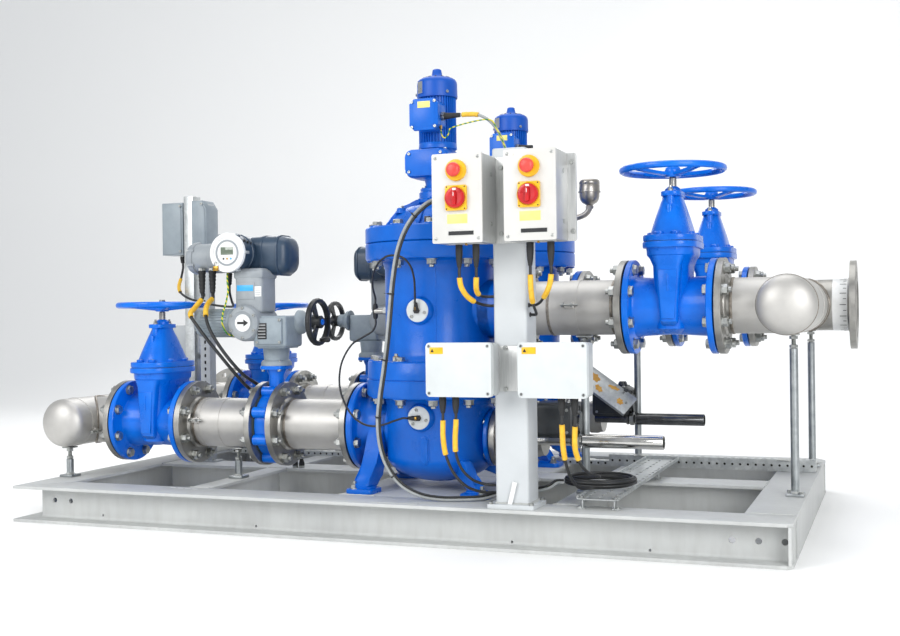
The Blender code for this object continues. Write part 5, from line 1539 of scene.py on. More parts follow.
    # terminal cylinder with a bolted end cap and three cable entries
    addTurned(bm, mm((0, 100), (46, 100), (52, 95), (54, 88), (54, 74), (50, 72), (50, 10),
                     (54, 6), (54, -100), (0, -100)), at(-0.235, 0.01, settings["terminalZ"]),
              facingWay("-X"), 56, grey)
    for t in around(6, 30):
        spot = at(-0.309, 0.01 + 0.05 * cos(t), settings["terminalZ"] + 0.05 * sin(t))
        addRod(bm, 0.0065, 0.02, (spot[0] - way * 0.004, spot[1], spot[2]), facingWay("X"), 14,
               grey, edge=0.001)
        addMesh(bm, socketScrew, (spot[0] - way * 0.014, spot[1], spot[2]), facingWay("-X"), screw)
    # earth wire from the head down to the gearbox
    wire = smoothRoute([at(*spot) for spot in ((-0.128, -0.1, 0.829), (-0.118, -0.118, 0.8),
                                               (-0.112, -0.124, 0.765), (-0.122, -0.122, 0.725),
                                               (-0.134, -0.122, 0.69), (-0.138, -0.12, 0.655),
                                               (-0.132, -0.1, 0.622), (-0.118, -0.07, 0.612))])
    addSweep(bm, wire, 0.003, 8, earth)
    for dx, dy, radius, top, bottom in ((-0.273, -0.03, 0.0135, 0.85, 0.76),
                                        (-0.231, -0.03, 0.0135, 0.85, 0.76),
                                        (-0.2, 0.03, 0.0115, 0.85, 0.79)):
        addBoot(bm, at(dx, dy, 0), top, bottom, radius, rubber, screw)
    finishPiece("actuator_" + side, bm, ["actuatorPaint", "actuatorGrey", "zincBolt",
                                         "silverPlate", "displayGlass", "whitePlastic",
                                         "blackPlastic", "blueLabel", "brass", "blackRubber",
                                         "actuatorSlate", "earthJacket"],
                nodes=["actuator_" + side])


def addBoot(bm, at, top, bottom, radius, rubber, metal):
    # cable entry: lock nut, then a ribbed tapering strain relief
    x, y = at[:2]
    addHex(bm, radius, 0.01, (x, y, top - 0.006), "Z", metal)
    length = top - bottom - 0.012
    profile = [(0, top - 0.01), (radius * 0.93, top - 0.01), (radius, top - 0.013)]
    ribs = 5
    for k in range(ribs):
        share = (k + 1) / (ribs + 1)
        z = top - 0.012 - length * share
        wide = radius * (1 - 0.3 * share)
        profile += [(wide, z + 0.004), (wide * 0.9, z + 0.002), (wide * 0.9, z - 0.001),
                    (wide * 0.98, z - 0.003)]
    profile += [(radius * 0.6, bottom + 0.003), (radius * 0.54, bottom), (0, bottom)]
    addTurned(bm, profile, (x, y, 0), "Z", 24, rubber)


def motorRib(bm):
    addBox(bm, (0.007, 0.0022, 0.108), (0.0006, 0, 0.002), round=0.0006)


def drawSocketScrew(bm):
    addTurned(bm, mm((0, 1.2), (2.2, 1.2), (2.4, 4.6), (4.2, 4.6), (4.8, 4), (4.8, 0), (0, 0)),
              (0, 0, 0), sides=16)


socketScrew = roundCircle(drawSocketScrew, 1, 0.0)


def makeActuatorWheel(side, y, way):
    bm = bmesh.new()
    name = "actuator_wheel_" + side
    start = plan["lugX"] + way * 0.1423
    z = drive["axis"]
    direction = "X" if way == 1 else "-X"
    out = facing[direction]
    hub = Vector((start, y, z))
    addTurned(bm, mm((66, 26.5), (71, 28), (77, 26.8), (80, 22), (80, 14), (77, 9.2), (71, 8),
                     (66, 9.5), (66, 26.5)), hub, direction, 56)
    for k in range(3):
        spin = turns[direction] @ Matrix.Rotation(radians(90 + 120 * k), 4, "Z")
        lean = mm((14, -12.5), (30, -8.5), (52, -9.5), (69, -19), (69, 19), (52, 9.5), (30, 8.5),
                  (14, 12.5))
        addPlate(bm, lean, 0.007, hub + out * 0.0175, spin, 0, 0.0022)
    for k in range(20):
        spin = turns[direction] @ Matrix.Rotation(radians(18 * k), 4, "Z")
        addBox(bm, (0.0035, 0.006, 0.012), hub + out * 0.018 + spin.to_3x3()
               @ Vector((0.0787, 0, 0)), 0, spin, 0.001)
    addTurned(bm, mm((0, 34), (18, 34), (21.5, 31), (22, 2), (20.5, 0), (0, 0)), hub, direction,
              36)
    addTurned(bm, mm((0, 37.6), (8.5, 37.6), (10, 36), (10, 33), (0, 33)), hub, direction, 32, 1)
    grip = hub + Vector((0, 0, -0.06))
    addTurned(bm, mm((0, 62), (5.5, 61.5), (8.5, 58), (9, 50), (7.5, 38), (6, 29), (6, 26),
                     (0, 26)), grip, direction, 28)
    finishPiece(name, bm, ["blackPlastic", "valveEnamel"], body=name,
                nodes=[name])


for side, y, way in (("front", plan["streams"]["front"], 1),
                     ("rear", plan["streams"]["rear"], -1)):
    makeLugValve("lug_valve_" + side, y, lug)
    makeActuator(side, y, way, drive)
    makeActuatorWheel(side, y, way)
print("lug valves and actuators made")

# Strainer vessels: cast bowl, barrel and bolted flanges, branches, feet and sensor pads
cast = {"radius": 0.176, "flange": 0.238, "boltCircle": 0.212, "low": 0.141, "midLow": 0.418,
        "midHigh": 0.53, "topLow": 0.852, "coverLow": 0.905, "branch": 0.094, "drain": 0.052,
        "drainFace": 0.298, "drainZ": 0.286, "drainFlange": 0.0925, "footOut": 0.19,
        "rearFootOut": 0.135, "sensors": (0.69, 0.358), "lineX": 0.052, "plateAt": (0.1195, 0.256),
        "earthAngle": -109}

coverBolts = roundCircle(boltHead(0.021), 12, cast["boltCircle"], 15)
underNuts = roundCircle(nutOnStud(0.02, 0.008), 12, cast["boltCircle"], 15)
drainBolts = roundCircle(nutOnStud(0.0145, 0.008), 4, 0.0725, 45)


def drawSpotFace(bm):
    addTurned(bm, mm((0, 3.5), (22.5, 3.5), (24.5, 1.5), (24.5, -1), (0, -1)), (0, 0, 0), sides=20)


spotFaces = roundCircle(drawSpotFace, 12, cast["boltCircle"], 15)


def addCastFlange(bm, at, direction, rim, thick, hub, neck, bolts, reach):
    addTurned(bm, [(0, 0), (rim * 0.74, 0), (rim * 0.74, -0.002), (rim - 0.003, -0.002),
                   (rim, -0.005), (rim, 0.004 - thick), (rim - 0.004, -thick),
                   (hub + 0.006, -thick - 0.001), (hub, -thick - 0.006),
                   (neck + 0.004, -thick - 0.02), (neck, -thick - 0.034), (neck, -reach + 0.03),
                   (neck + 0.006, -reach + 0.012), (neck + 0.02, -reach), (0, -reach)], at,
              direction, 56)
    addMesh(bm, bolts, Vector(at) - facing[direction] * (thick + 0.0015), opposite[direction], 1)


def addFoot(bm, x, y, sx, sy, footX, footY):
    # cast leg: a deep web that runs down from the bowl and widens into the foot plate
    addPlate(bm, roundedOutline(0.09, 0.09, 0.014), 0.014, (footX, footY, 0.1273), "Z", 0, 0.003)
    reach = hypot(footX - x, footY - y)
    tall = 1.0 if sx < 0 else 0.42
    if sx < 0 and reach > 0.25:
        # inlet side: straight up to the underside of the inlet branch
        reach = abs(footY - y)
        web = [(reach - 0.052, 0.1335), (reach + 0.028, 0.1335), (reach + 0.03, 0.148),
               (reach + 0.008, 0.156), (reach - 0.016, 0.174), (reach - 0.038, 0.204),
               (reach - 0.062, 0.244), (reach - 0.084, 0.29), (reach - 0.104, 0.33), (0.05, 0.33),
               (0.045, 0.25), (0.08, 0.205), (reach - 0.084, 0.168), (reach - 0.076, 0.15)]
        spin = Matrix.Rotation(atan2(footY - y, 0), 4, "Z") @ turns["-Y"]
        addPlate(bm, web, 0.05, (footX, y, 0), spin, 0, 0.008)
    else:
        web = [(reach - 0.05, 0.1335), (reach + 0.028, 0.1335), (reach + 0.03, 0.148)]
        for back, z in ((-0.012, 0.155), (0.006, 0.168), (0.02, 0.19), (0.034, 0.222),
                        (0.048, 0.262), (0.064, 0.315)):
            web.append((reach - back, 0.155 + (z - 0.155) * tall))
        web += [(0.13, 0.155 + 0.175 * tall), (0.125, 0.185), (0.15, 0.165), (reach - 0.08, 0.15)]
        spin = Matrix.Rotation(atan2(footY - y, footX - x), 4, "Z") @ turns["-Y"]
        addPlate(bm, web, 0.046 if sx < 0 else 0.03, (x, y, 0), spin, 0, 0.008)
    addPlate(bm, roundedOutline(0.062, 0.062, 0.018), 0.006,
             (footX - sx * 0.004, footY - sy * 0.004, 0.1372), "Z", 0, 0.002)
    addMesh(bm, footBolt, (footX + sx * 0.022, footY + sy * 0.022, 0.1338), "Z", 1)


footBolt = roundCircle(nutOnStud(0.015, 0.01), 1, 0.0)


def addSensor(bm, x, y, z, connector):
    # round boss on the barrel with a pale disc, three screws and a fitting
    screws, pale, brass, dark = range(1, 5)
    addTurned(bm, mm((0, 26), (37, 26), (42, 22), (45, 10), (52, -12), (58, -30), (0, -30)),
              (x, y, z), "-Y", 44)
    face = y - 0.026
    addTurned(bm, mm((0, 4), (34, 4), (36, 2.5), (36, 0), (0, 0)), (x, face + 0.0005, z), "-Y", 44,
              pale)
    for t in around(3, 105):
        addMesh(bm, socketScrew, (x + 0.026 * cos(t), face - 0.0035, z + 0.026 * sin(t)), "-Y",
                screws)
    if connector == "up":
        addHex(bm, 0.0095, 0.012, (x, face - 0.009, z - 0.001), "-Y", dark)
        addRod(bm, 0.0062, 0.01, (x, face - 0.014, z + 0.006), "Z", 18, brass, edge=0.001)
        addTurned(bm, mm((0, 13.5), (4.8, 13.5), (6.2, 6), (7.2, -2), (7.2, -10), (0, -10)),
                  (x, face - 0.013, z + 0.0112), "Z", 20, dark)
    else:
        addHex(bm, 0.0095, 0.012, (x, face - 0.009, z), "-Y", dark)
        addRod(bm, 0.007, 0.012, (x - 0.006, face - 0.013, z), "X", 18, brass, edge=0.001)
        addTurned(bm, mm((0, 19.5), (4.5, 19.5), (5.8, 10), (7.2, 4), (7.2, -6), (0, -6)),
                  (x - 0.0122, face - 0.013, z), "-X", 20, dark)


def makeVessel(side, y, settings):
    x, r = plan["vesselX"], settings["radius"]
    rim, low = settings["flange"], settings["low"]
    bm = bmesh.new()
    bowl = [(r * sin(t) ** 0.92, low + 0.085 * (1 - cos(t)) ** 0.9)
            for t in (radians(90 * k / 12) for k in reversed(range(13)))]
    midLow, midHigh, topLow = settings["midLow"], settings["midHigh"], settings["topLow"]
    middle = (midLow + midHigh) / 2
    profile = [(0, settings["coverLow"] - 0.001), (rim - 0.003, settings["coverLow"] - 0.001),
               (rim, settings["coverLow"] - 0.004), (rim, topLow + 0.006), (rim - 0.003, topLow),
               (r + 0.018, topLow - 0.001), (r + 0.006, topLow - 0.01), (r, topLow - 0.03),
               (r, midHigh + 0.03), (r + 0.006, midHigh + 0.012), (r + 0.018, midHigh + 0.001),
               (rim - 0.006, midHigh), (rim - 0.003, midHigh - 0.004),
               (rim - 0.003, middle + 0.002), (rim - 0.005, middle + 0.0008),
               (rim - 0.005, middle - 0.0008), (rim, middle - 0.002), (rim, midLow + 0.006),
               (rim - 0.004, midLow), (r + 0.018, midLow - 0.001), (r + 0.006, midLow - 0.01),
               (r, midLow - 0.03)] + bowl
    addTurned(bm, profile, (x, y, 0), "Z", 96)
    for z, direction, mesh in ((midHigh, "Z", coverBolts), (midLow, "-Z", underNuts),
                               (topLow, "-Z", underNuts)):
        addMesh(bm, spotFaces, (x, y, z), direction, 0)
        lift = 0.003 if direction == "Z" else -0.003
        addMesh(bm, mesh, (x, y, z + lift), direction, 1)
    branch = settings["branch"]
    for at, z, direction in ((plan["vesselIn"], plan["lowZ"], "-X"),
                             (plan["vesselOut"], plan["highZ"], "X")):
        addCastFlange(bm, (at, y, z), direction, pipe["rim"], 0.024, 0.106, branch, flangeHeads,
                      0.15)
    for at, z, sign in ((plan["vesselIn"] + 0.09, plan["lowZ"], 1),
                        (plan["vesselOut"] - 0.09, plan["highZ"], -1)):
        addRod(bm, branch, 0.12, (at + sign * 0.055, y, z), "X", 56)
    # drain branch, low on the outlet side
    addCastFlange(bm, (settings["drainFace"], y, settings["drainZ"]), "X", settings["drainFlange"],
                  0.018, 0.062, settings["drain"], drainBolts, 0.08)
    addRod(bm, settings["drain"], 0.16, (x + 0.13, y, settings["drainZ"]), "X", 40)
    addTurned(bm, mm((0, 30), (56, 30), (66, 10), (80, -12), (0, -12)),
              (x + 0.148, y, settings["drainZ"]), "X", 40)
    for sx, sy in fourCorners:
        footY = y + sy * settings["footOut"]
        if side == "rear" and sy > 0:
            # the far feet sit closer in, so that they stand on the beam
            footY = y + settings["rearFootOut"]
        addFoot(bm, x, y, sx, sy, x + sx * settings["footOut"], footY)
    # mould line down the front and back of the barrel, and the bare raised plate on the bowl
    for sy in (-1, 1):
        addBox(bm, (0.003, 0.002, 0.27), (x + settings["lineX"], y + sy * (r * 0.955), 0.69), 0,
               round=0.0008)
    oval = roundedOutline(0.09, 0.031, 0.015)
    plateX, plateZ = settings["plateAt"]
    addPlate(bm, [(v, u) for u, v in reversed(oval)], 0.012, (plateX, y - r + 0.0055, plateZ),
             "-Y", 0, 0.002)
    addPlate(bm, [(v * 0.78, u * 0.9) for u, v in reversed(oval)], 0.004,
             (plateX, y - r - 0.001, plateZ), "-Y", 0, 0.0008)
    upper, lower = settings["sensors"]
    addSensor(bm, x, y - r + 0.012, upper, "up")
    addSensor(bm, x, y - r + 0.012, lower, "left")
    # connector on the inlet side, its lower gland looking down and the upper one up
    addRod(bm, 0.01, 0.06, (x - r - 0.01, y - 0.033, upper), "X", 24, 5, edge=0.0012)
    addHex(bm, 0.0125, 0.012, (x - r - 0.002, y - 0.033, upper), "X", 1)
    addTurned(bm, mm((0, 25), (5.5, 25), (7.5, 20), (8.5, 10), (8.5, -10), (7.5, -20), (5.5, -25),
                     (0, -25)), (x - r - 0.038, y - 0.033, upper), "Z", 24, 4)
    # earth bolt with its ring lug, on top of the middle flange
    t = radians(settings["earthAngle"])
    spot = Vector((x + settings["boltCircle"] * cos(t), y + settings["boltCircle"] * sin(t),
                   midHigh + 0.0025))
    addMesh(bm, footBolt, spot, "Z", 1)
    addTurned(bm, band(0.0065, 0.0105, 0.012, 0.01), spot + Vector((0, 0, 0.004)), "Z", 20, 3)
    finishPiece("vessel_" + side, bm, ["castEnamel", "zincBolt", "lidPlastic", "brass",
                                       "blackRubber", "turnedStainless"],
                nodes=["vessel_" + side])


cover = {"rim": 0.238, "low": 0.905, "high": 0.956, "bossTop": 1.072, "ribs": 8,
         "plugCircle": 0.138, "plugs": (-128, 40, 140)}
pot = {"at": (0.414, 1.13), "radius": 0.036, "root": 0.318}


def makeCover(side, y, settings):
    x = plan["vesselX"]
    rim, high = settings["rim"], settings["high"]
    bm = bmesh.new()
    profile = [(0, settings["bossTop"]), (0.06, settings["bossTop"]),
               (0.062, settings["bossTop"] - 0.002), (0.062, 1.052), (0.0655, 1.046),
               (0.066, 1.032), (0.074, 1.028), (0.098, 1.025), (0.12, 1.018), (0.142, 1.002),
               (0.158, 0.984), (0.168, 0.968), (0.176, 0.96), (0.186, 0.9565), (rim - 0.004, high),
               (rim, high - 0.004), (rim, settings["low"] + 0.003),
               (rim - 0.003, settings["low"] + 0.0006), (0, settings["low"] + 0.0006)]
    addTurned(bm, profile, (x, y, 0), "Z", 96)
    addMesh(bm, spotFaces, (x, y, high), "Z", 0)
    addMesh(bm, coverBolts, (x, y, high + 0.003), "Z", 1)

    def drawRib(part):
        outline = mm((56, 950), (186, 950), (186, 960), (176, 972), (164, 988), (147, 1008),
                     (124, 1025), (100, 1034), (82, 1040), (70, 1050), (56, 1056))
        addPlate(part, outline, 0.012, (0, 0, 0), "-Y", 0, 0.003)

    addMesh(bm, roundCircle(drawRib, settings["ribs"], 0.0, 0), (x, y, 0), "Z", 0)
    # boss flange, a lifting pocket at the front and three plugs on the shoulder
    addTurned(bm, mm((0, 1050), (64, 1050), (70, 1047), (72, 1042), (72, 1036), (0, 1036)),
              (x, y, 0), "Z", 56)
    spot = (x + 0.04, y - 0.186, 0.966)
    addBox(bm, (0.034, 0.024, 0.04), spot, 0, round=0.005, steps=3)
    addBox(bm, (0.02, 0.004, 0.022), (spot[0], spot[1] - 0.0115, spot[2] + 0.002), 2, round=0.001)
    for t in (radians(angle) for angle in settings["plugs"]):
        plug = Vector((x, y, 1.004)) + settings["plugCircle"] * Vector((cos(t), sin(t), 0))
        addTurned(bm, mm((0, 12), (12, 12), (14, 9), (16, -4), (0, -4)), plug, "Z", 24)
        addHex(bm, 0.009, 0.008, plug + Vector((0, 0, 0.015)), "Z", 1)
    if side == "rear":
        for height in (0.953, 0.962):
            addHex(bm, 0.013, 0.008, (pot["root"], y, height), "Z", 1)
    finishPiece("vessel_cover_" + side, bm, ["castEnamel", "zincBolt", "blackPlastic"],
                nodes=["vessel_cover_" + side])


def makePot(y, settings):
    # pressed stainless pot: two cups crimped together at a rim, on a bent tube
    px, pz = settings["at"]
    r = settings["radius"]
    bm = bmesh.new()
    addTurned(bm, [(0, 0.048), (0.024, 0.0478), (0.033, 0.0462), (0.0375, 0.0425), (0.039, 0.036),
                   (0.039, 0.03), (0.038, 0.0285), (0.039, 0.027), (0.039, 0.0035),
                   (r + 0.0055, 0.003), (r + 0.0062, 0.0), (r + 0.0055, -0.003), (0.038, -0.0036),
                   (0.0375, -0.018), (0.0345, -0.03), (0.0275, -0.04), (0.0165, -0.0465),
                   (0.0115, -0.05), (0.0115, -0.058), (0, -0.058)], (px, y, pz), "Z", 56)
    bend = smoothRoute([(u, y, v) for u, v in ((settings["root"], 0.954),
                                               (settings["root"], 0.985), (0.322, 1.006),
                                               (0.334, 1.023), (0.352, 1.033), (0.372, 1.038),
                                               (0.392, 1.045), (0.406, 1.056), (px, 1.071),
                                               (px, 1.078))], 0.004)
    addSweep(bm, bend, 0.0112, 24)
    addHex(bm, 0.015, 0.012, (px, y, 1.0735))
    finishPiece("sample_pot", bm, ["pressedStainless"],
                nodes=["vessel_cover_rear"])


motor = {"base": 1.0723, "statorLow": 1.215, "statorHigh": 1.378, "fins": 40,
         "gear": (0.15, 0.14, 0.092), "gearZ": 1.163, "boxAt": (0.004, -0.092, 1.305),
         "box": (0.098, 0.08, 0.1)}


def makeGearmotor(side, y, settings):
    x = plan["vesselX"]
    bm = bmesh.new()
    paint, fanPaint, screw, silver, label, rubber, steel = range(7)
    base = settings["base"]
    addTurned(bm, mm((0, 12), (46, 12.2), (48, 12), (55, 12), (58, 10), (58, 0.5), (0, 0.5)),
              (x, y, base), "Z", 48)
    for t in around(4, 45):
        addMesh(bm, smallHead, (x + 0.0495 * cos(t), y + 0.0495 * sin(t), base + 0.0115), "Z",
                screw)
    addTurned(bm, mm((0, 1125), (54, 1125), (54, 1119), (50, 1116), (44, 1110), (41.5, 1100),
                     (41.5, 1094), (46, 1086), (48, 1082), (0, 1082)), (x, y, 0), "Z", 48)
    # gearbox: rounded casting with a bolted cover, oil plugs and ribs
    gx, gy, gz = settings["gear"]
    gearAt = Vector((x - 0.018, y, settings["gearZ"]))
    addBox(bm, (gx - 0.004, gy - 0.012, gz), gearAt, paint, "Z", 0.02, 4)
    addPlate(bm, roundedOutline(gx - 0.012, gz - 0.008, 0.022), 0.008,
             gearAt + Vector((0, -gy / 2 + 0.004, 0)), "-Y", 0, 0.003)
    addPlate(bm, roundedOutline(gx - 0.012, gz - 0.008, 0.022), 0.008,
             gearAt + Vector((0, gy / 2 - 0.004, 0)), "-Y", 0, 0.003)
    for sx, sz in fourCorners:
        for way, direction in ((-1, "-Y"), (1, "Y")):
            spot = gearAt + Vector((sx * 0.054, way * (gy / 2 - 0.0005), sz * 0.029))
            addMesh(bm, socketScrew, spot, direction, screw)
    addHex(bm, 0.0105, 0.008, gearAt + Vector((-gx / 2 - 0.001, 0.02, -0.018)), "-X", screw)
    addBox(bm, (0.006, 0.104, 0.06), gearAt + Vector((-gx / 2 + 0.002, 0, 0)), paint, "Z", 0.002)
    addTurned(bm, mm((0, 1217), (62, 1217), (62, 1210), (56, 1206), (52, 1200), (50, 1195),
                     (0, 1195)), (x, y, 0), "Z", 56)
    for t in around(4, 45):
        addMesh(bm, smallHead, (x + 0.055 * cos(t), y + 0.055 * sin(t), 1.21), "-Z", screw)
    # finned stator, end shield and fan cover with its knob
    low, high = settings["statorLow"], settings["statorHigh"]
    addTurned(bm, disc(0.0535, high, low), (x, y, 0), "Z", 56)

    def drawFin(part):
        addBox(part, (0.0095, 0.0022, high - low - 0.006), (0.056, 0, (high + low) / 2), 0,
               round=0.0006)

    addMesh(bm, roundCircle(drawFin, settings["fins"], 0.0), (x, y, 0), "Z", paint)
    addTurned(bm, mm((50, 1228.5), (60, 1228.5), (61, 1227), (61, 1213.5), (50, 1213.5),
                     (50, 1228.5)), (x, y, 0), "Z", 56)
    addTurned(bm, mm((0, 1447), (18, 1446.8), (31, 1444.5), (52, 1438), (60, 1433), (63.5, 1427),
                     (65, 1420), (65.5, 1385), (66, 1379.5), (65.5, 1374.5), (63, 1374),
                     (63, 1376.5), (0, 1376.5)), (x, y, 0), "Z", 64, fanPaint)
    addTurned(bm, mm((0, 1470), (10.5, 1469.8), (14, 1467.2), (15, 1462), (17.5, 1450), (22, 1446),
                     (22, 1443.5), (0, 1443.5)), (x, y, 0), "Z", 40, fanPaint)
    # painted shade: black bars on the fan cover top stand in for its vent slots
    for t in around(12, 15):
        addBox(bm, (0.013, 0.0045, 0.0014), (x + 0.042 * cos(t), y + 0.042 * sin(t), 1.4416), 5,
               Matrix.Rotation(t, 4, "Z") @ Matrix.Rotation(radians(18), 4, "Y"))
    for t in around(3, 80):
        addMesh(bm, socketScrew, (x + 0.0652 * cos(t), y + 0.0652 * sin(t), 1.388),
                Matrix.Rotation(t, 4, "Z") @ turns["X"], screw)
    # nameplate, left bare, riveted to a flat on the left of the fan cover
    t = radians(-124)
    plate = Matrix.Rotation(t, 4, "Z") @ turns["X"]
    spot = Vector((x + 0.066 * cos(t), y + 0.066 * sin(t), 1.405))
    addBox(bm, (0.044, 0.03, 0.005), spot - Vector((cos(t), sin(t), 0)) * 0.0022, fanPaint, plate,
           0.001)
    addBox(bm, (0.038, 0.025, 0.0008), spot + Vector((cos(t), sin(t), 0)) * 0.0004, silver, plate)
    # terminal box: body, clipped-corner lid with four screws, and a bare pale label
    bx, by, bz = settings["box"]
    boxAt = Vector((x, y, 0)) + Vector(settings["boxAt"])
    lidCut = 0.016
    w, h = bx / 2, bz / 2
    octagon = [(-w + lidCut, -h), (w - lidCut, -h), (w, -h + lidCut), (w, h - lidCut),
               (w - lidCut, h), (-w + lidCut, h), (-w, h - lidCut), (-w, -h + lidCut)]
    inner = [(u * 0.93, v * 0.93) for u, v in octagon]
    addPlate(bm, inner, by - 0.018, boxAt + Vector((0, 0.01, 0)), "-Y", paint, 0.002)
    addPlate(bm, octagon, 0.016, boxAt + Vector((0, -by / 2 + 0.0085, 0)), "-Y", paint, 0.004)
    addPlate(bm, [(u * 0.8, v * 0.8) for u, v in octagon], 0.003,
             boxAt + Vector((0, -by / 2 + 0.001, 0)), "-Y", paint, 0.001)
    addBox(bm, (0.06, 0.036, 0.07), boxAt + Vector((0, 0.046, -0.004)), paint, "Z", 0.006)
    for sx, sz in fourCorners:
        addMesh(bm, socketScrew, boxAt + Vector((sx * 0.0385, -by / 2 + 0.0008, sz * 0.0395)),
                "-Y", screw)
    addBox(bm, (0.042, 0.0008, 0.02), boxAt + Vector((0.002, -by / 2 - 0.0008, 0.03)), label, "Z",
           0.0002)
    # cable entry: metal gland, then a long tapered boot
    entry = Vector((x + 0.044, y - 0.095, 1.3))
    addHex(bm, 0.0135, 0.012, entry + Vector((0.012, 0, 0)), "X", screw)
    addTurned(bm, mm((0, 70.3), (6.2, 70.3), (7.2, 66), (8.5, 45), (10.5, 24), (11.8, 16), (12, 8),
                     (0, 8)), entry, "X", 28, rubber)
    addHex(bm, 0.0085, 0.005, boxAt + Vector((bx / 2 - 0.006, 0.0, -0.038)), "X", steel)
    finishPiece("gearmotor_" + side, bm, ["motorPaint", "fanCoverPaint", "zincBolt", "silverPlate",
                                          "yellowLabel", "blackRubber", "brass"],
                nodes=["gearmotor_" + side])


drain = {"face": 0.2983, "rim": 0.0925, "z": 0.286, "tube": 0.0212, "shaft": 0.0165}


def makeDrain(side, y, settings):
    bm = bmesh.new()
    steel, screw, dark, paint, tube, zinc, film = range(7)
    x, z = settings["face"], settings["z"]
    addTurned(bm, [(0, 0), (0.068, 0), (0.068, -0.0015), (settings["rim"] - 0.001, -0.0015),
                   (settings["rim"], -0.003), (settings["rim"], -0.019),
                   (settings["rim"] - 0.001, -0.02), (0.064, -0.02), (0.061, -0.024),
                   (0.06, -0.036), (0.06, -0.05), (0.0575, -0.053), (0.0575, -0.112),
                   (0.06, -0.115), (0.06, -0.14), (0.056, -0.15), (0.055, -0.162), (0, -0.162)],
              (x, y, z), "-X", 52, steel)
    addMesh(bm, drainBolts, (x + 0.02, y, z), "X", screw)
    for t in around(4, 45):
        addRod(bm, 0.0055, 0.062, (x + 0.082, y + 0.055 * cos(t), z + 0.055 * sin(t)), "X", 14,
               screw, edge=0.001)
    # drive housing above the valve, with its cover, ribs and a cable entry
    housing = Vector((0.5, y - 0.01, z + 0.06))
    addBox(bm, (0.138, 0.126, 0.106), housing, paint, "Z", 0.014, 3)
    addBox(bm, (0.112, 0.008, 0.082), housing + Vector((0, -0.0625, 0)), paint, "Z", 0.003)
    addBox(bm, (0.112, 0.1, 0.008), housing + Vector((0, 0, 0.0515)), paint, "Z", 0.003)
    for sx, sz in fourCorners:
        addMesh(bm, socketScrew, housing + Vector((sx * 0.049, -0.0662, sz * 0.034)), "-Y", screw)
        addMesh(bm, socketScrew, housing + Vector((sx * 0.048, sz * 0.042, 0.0552)), "Z", screw)
    for k in range(4):
        addBox(bm, (0.007, 0.006, 0.084), housing + Vector((0.0685, 0.042 - 0.028 * k, 0)), paint,
               "Z", 0.002)
    addTurned(bm, mm((0, 20), (12, 20), (16, 14), (20, 0), (0, 0)),
              housing + Vector((0.03, 0.02, 0.054)), "Z", 24, dark)
    addTurned(bm, mm((0, 18), (34, 18), (40, 13), (40, 0), (0, 0)), (0.566, y - 0.03, z + 0.052),
              "X", 36, dark)
    # shaft housing with a lock nut, then the long tube with a chamfered, hollow end
    axisY = y - 0.05
    addRod(bm, settings["shaft"], 0.15, (0.515, axisY, z), "X", 32, tube, edge=0.001)
    addHex(bm, 0.0235, 0.016, (0.578, axisY, z), "X", screw)
    addHex(bm, 0.021, 0.01, (0.562, axisY, z), "X", dark)
    radius = settings["tube"]
    addTurned(bm, [(0, -0.03), (radius - 0.0035, -0.03), (radius - 0.0035, -0.001),
                   (radius - 0.0025, 0), (radius - 0.0015, 0), (radius, -0.002), (radius, -0.245),
                   (0, -0.245)], (0.84, axisY, z), "X", 48, tube)
    if side == "rear":
        addDrainPlate(bm, y, zinc, film, screw)
    finishPiece("drain_" + side, bm, ["turnedStainless", "zincBolt", "darkChrome", "drivePaint",
                                      "polishedTube" if side == "front" else "darkChrome",
                                      "zincSheet", "orangeFilm", "blackRubber"],
                nodes=["drain_" + side])


def addDrainPlate(bm, y, zinc, film, screw):
    # sloping channel of galvanized sheet with torn remains of protective film
    spin = Matrix.Rotation(0.62, 4, "Y") @ Matrix.Rotation(0.85, 4, "X")
    middle = Vector((0.499, y - 0.095, 0.393))

    def on(u, v, w):
        return middle + spin.to_3x3() @ Vector((u, v, w))

    addBox(bm, (0.204, 0.086, 0.0022), middle, zinc, spin, 0.0006)
    for sy in (-1, 1):
        addBox(bm, (0.204, 0.0022, 0.016), on(0, sy * 0.042, -0.007), zinc, spin, 0.0006)
    for u, v, length, width, lean in ((-0.07, 0.01, 0.05, 0.03, 0.1),
                                      (-0.03, -0.018, 0.036, 0.02, -0.2),
                                      (0.01, 0.022, 0.046, 0.014, 0.3),
                                      (0.06, -0.01, 0.028, 0.022, -0.1)):
        outline = []
        for k in range(14):
            t = 2 * pi * k / 14
            ragged = 1 + 0.22 * sin(k * 2.7) + 0.1 * sin(k * 5.3)
            outline.append((length / 2 * ragged * cos(t), width / 2 * ragged * sin(t)))
        addPlate(bm, outline, 0.0008, on(u, v, 0.0016), spin @ Matrix.Rotation(lean, 4, "Z"), film)
    for u in (-0.08, 0.08):
        addMesh(bm, socketScrew, on(u, 0, 0.001), spin, screw)


for side, y in plan["streams"].items():
    makeVessel(side, y, cast)
    makeCover(side, y, cover)
    makeGearmotor(side, y, motor)
    makeDrain(side, y, drain)
makePot(plan["streams"]["rear"], pot)
print("vessels, gearmotors and drains made")

# Column with its plates, control boxes and junction boxes
post = {"x": 0.4605, "y": -0.687, "wide": 0.1, "low": 0.1203, "top": 1.15, "plateY": -0.74,
        "gland": -0.782, "boxFront": -0.8683, "upperZ": 1.0, "lowerZ": 0.52, "junctionZ": 0.519,
        "junctions": ((0.233, 0.43), (0.508, 0.705)),
        "junctionGlands": (0.269, 0.309, 0.623, 0.66)}


